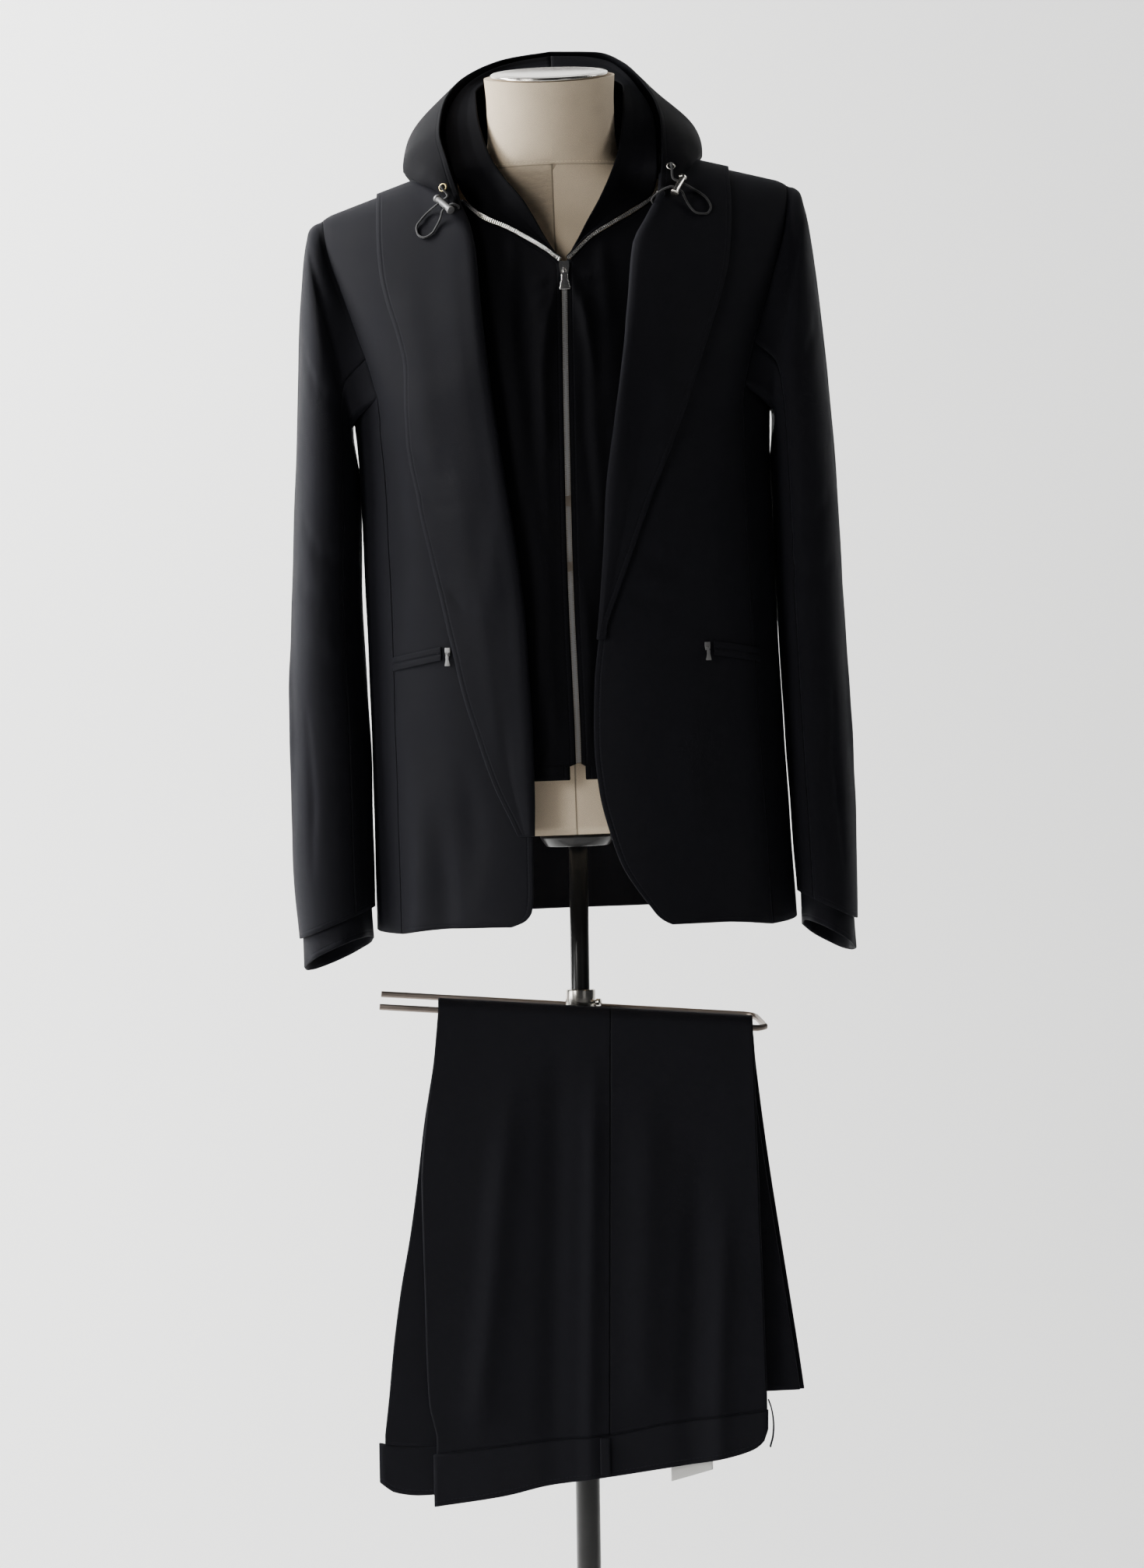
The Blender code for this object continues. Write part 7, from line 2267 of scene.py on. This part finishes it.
@dataclass(frozen=True)
class Stand:
    """The mast, its clamp collar, the base, the socket, the neck cap and the trouser bar."""

    cap_at: tuple[float, float, float] = (0.0, -11.0, 1574.4)
    cap_tilt: float = 0.22
    steps: int = 128

    def make(self) -> None:
        """Turns the round pieces and rounds the bar's and the screw's edges."""
        upright = Matrix.Identity(4)
        turned = (
            ("mast_lower", Body.STAND, ENAMEL, ((11, 8.3), (11, 752), (8.9, 752), (8.9, 8.3))),
            ("mast_upper", Body.MAST, ENAMEL, ((0, 500), (8.5, 500), (8.5, 884), (0, 884))),
            (
                "mast_collar",
                Body.STAND,
                NICKEL,
                ((11.4, 722), (12.9, 722), (13.5, 722.6), (13.5, 727), (13.1, 727.6), (13.1, 729),
                 (13.5, 729.6), (13.5, 754.9), (12.9, 755.5), (8.9, 755.5), (8.9, 752.3),
                 (11.4, 752.3)),
            ),
            (
                "stand_base",
                Body.STAND,
                ENAMEL,
                ((0, 0), (155, 0), (155, 5), (150, 8), (60, 11), (24, 16), (18, 22), (18, 40),
                 (11.4, 40), (11.4, 8), (0, 8)),
            ),
        )
        for node, body, kind, profile in turned:
            made = Bench(f"{node}_turned").spin(profile, self.steps).finish(upright, kind, 0.5)
            dress(made, body, kind.slot, node)
        leaned = seat(np.zeros(3), np.array([0.0, 0.0, 1.0]))
        profile = ((0, 884.7), (28, 884.7), (34, 892.7), (34, 896.7), (0, 896.7))
        made = Bench("form_socket_turned").spin(profile, self.steps).finish(leaned, ENAMEL, 0.8)
        dress(made, Body.FIGURE, ENAMEL.slot, "form_socket")
        tilted = seat(np.array(self.cap_at), np.array([0.0, -self.cap_tilt, 1.0]))
        profile = ((0, 0), (52, 0), (52.8, 1), (52.6, 2.6), (51, 3.4), (46.5, 3.5), (46, 3.1),
                   (45.2, 3.1), (44.6, 3.6), (0, 3.8))
        made = Bench("neck_cap_turned").spin(profile, self.steps).finish(tilted, NICKEL, 0.3)
        dress(made, Body.FIGURE, NICKEL.slot, "neck_cap")
        for node, kind, bevel in (("trouser_bar", BAR_STEEL, 0.5), ("collar_screw", NICKEL, 0.25)):
            dress(refined(node, kind, bevel), Body.STAND, kind.slot, node)


@dataclass(frozen=True)
class Zip:
    """The insert's zip: its slider, its pull, and a tooth for every step of its chains."""

    insert: Insert
    pitch: float = 2.0

    def tooth(self, kind: MetalFinish) -> bpy.types.Object:
        """One tooth at the origin: a short block, thickest in its middle."""
        bench = Bench("zip_tooth")
        bench.loft(((-0.62, 1.3, 1.1), (-0.35, 1.6, 1.3), (0.35, 1.6, 1.3), (0.62, 1.3, 1.1)))
        return bench.finish(Matrix.Identity(4), kind)

    def chain(
        self, name: str, node: str, path: np.ndarray, kind: MetalFinish, swing: float, lift: float
    ) -> None:
        """Copies the tooth along a path, turned with it, and joins the copies.

        Args:
            name: the chain's name.
            node: the solid that runs inside the teeth.
            path: points along the chain.
            kind: the teeth's finish.
            swing: how far the teeth alternate to the sides.
            lift: how far they stand out of the path.
        """
        steps = np.linalg.norm(np.diff(path, axis=0), axis=1)
        run = np.concatenate([[0], np.cumsum(steps)])
        master = self.tooth(kind)
        copies = []
        step = self.pitch / (2 if swing else 1)
        for number, at in enumerate(np.arange(1.2, run[-1] - 0.8, step)):
            here, ahead = (
                np.array([np.interp(place, run, path[:, k]) for k in range(3)])
                for place in (at, at + 0.5)
            )
            way = (ahead - here) / np.linalg.norm(ahead - here)
            out = np.array([0.0, -1.0, 0.0]) - way * -way[1]
            out /= np.linalg.norm(out)
            across = np.cross(way, out)
            side = swing * (1 if number % 2 else -1)
            copy = master.copy()
            copy.data = master.data.copy()
            bpy.context.scene.collection.objects.link(copy)
            copy.matrix_world = seat(here + across * side + out * lift, out, tuple(across))
            copies.append(copy)
        bpy.data.objects.remove(master)
        bpy.ops.object.select_all(action="DESELECT")
        for copy in copies:
            copy.select_set(True)
        bpy.context.view_layer.objects.active = copies[0]
        bpy.ops.object.join()
        bpy.ops.object.transform_apply(location=True, rotation=True, scale=True)
        copies[0].name = name
        copies[0].data.name = name
        dress(copies[0], Body.FIGURE, kind.slot)
        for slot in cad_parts[node].material_slots:
            slot.material = (DARK_COIL if swing else BRIGHT_NICKEL).build()

    def make(self) -> None:
        """Makes the teeth of all three chains, the slider and the pull."""
        heights = np.linspace(ZIP_END_Z + 2, ZIP_TOP_Z - 14, 160)
        path = self.insert.face(smooth(ZIP_MIDDLE, 1, heights), heights)
        path[:, 1] += INSERT_WALL / 2
        self.chain("zip_lower_teeth", "zip_chain_lower", path, GUNMETAL, 0.75, 0.12)
        for side in Side:
            name = side.value
            path = self.insert.front(side)[-1, :-1].copy()
            path[:, 1] += INSERT_WALL / 2 - 0.4
            path[:, 2] += 1.4 + 2 * SEAM_GAP
            self.chain(f"zip_{name}_teeth", f"zip_chain_{name}", path, BRIGHT_NICKEL, 0.0, 0.7)
        dress(refined("zip_slider", BRIGHT_NICKEL, 0.3), Body.FIGURE, "nickel", "zip_slider")
        dress(refined("zip_pull", BRIGHT_NICKEL, 0.25), Body.ZIP_PULL, "nickel", "zip_pull")


@dataclass(frozen=True)
class Fastenings:
    """The pocket sliders and pulls, and the hood's eyelets and cord locks."""

    edge: float = 0.22

    def make(self) -> None:
        """Makes each as a finer copy of its solid."""
        pulls = {Side.RIGHT: Body.RIGHT_PULL, Side.LEFT: Body.LEFT_PULL}
        locks = {Side.RIGHT: GUNMETAL, Side.LEFT: NICKEL}
        rings = {Side.RIGHT: BRASS, Side.LEFT: NICKEL}
        for side in Side:
            pieces = (
                ("pocket_slider", GUNMETAL, Body.FIGURE), ("pocket_pull", GUNMETAL, pulls[side]),
                ("cord_lock", locks[side], Body.FIGURE), ("hood_eyelet", rings[side], Body.FIGURE)
            )
            for kind, finish, body in pieces:
                node = f"{kind}_{side.value}"
                dress(refined(node, finish, self.edge), body, finish.slot, node)


def main() -> None:
    """Builds the part's looks in order."""
    logging.basicConfig(level=logging.INFO, format="%(name)s: %(message)s")
    studio = Studio()
    studio.camera()
    Drawcords().make()
    surface = BodySurface()
    jacket = Jacket(surface)
    jacket.make_body()
    jacket.make_lapels()
    jacket.make_collar()
    Sleeves(surface).make()
    insert = Insert(surface)
    insert.make_fronts()
    insert.make_hood()
    Trousers().make()
    Form().make()
    Stand().make()
    Zip(insert).make()
    Fastenings().make()
    studio.make()


if __name__ == "__main__":
    main()
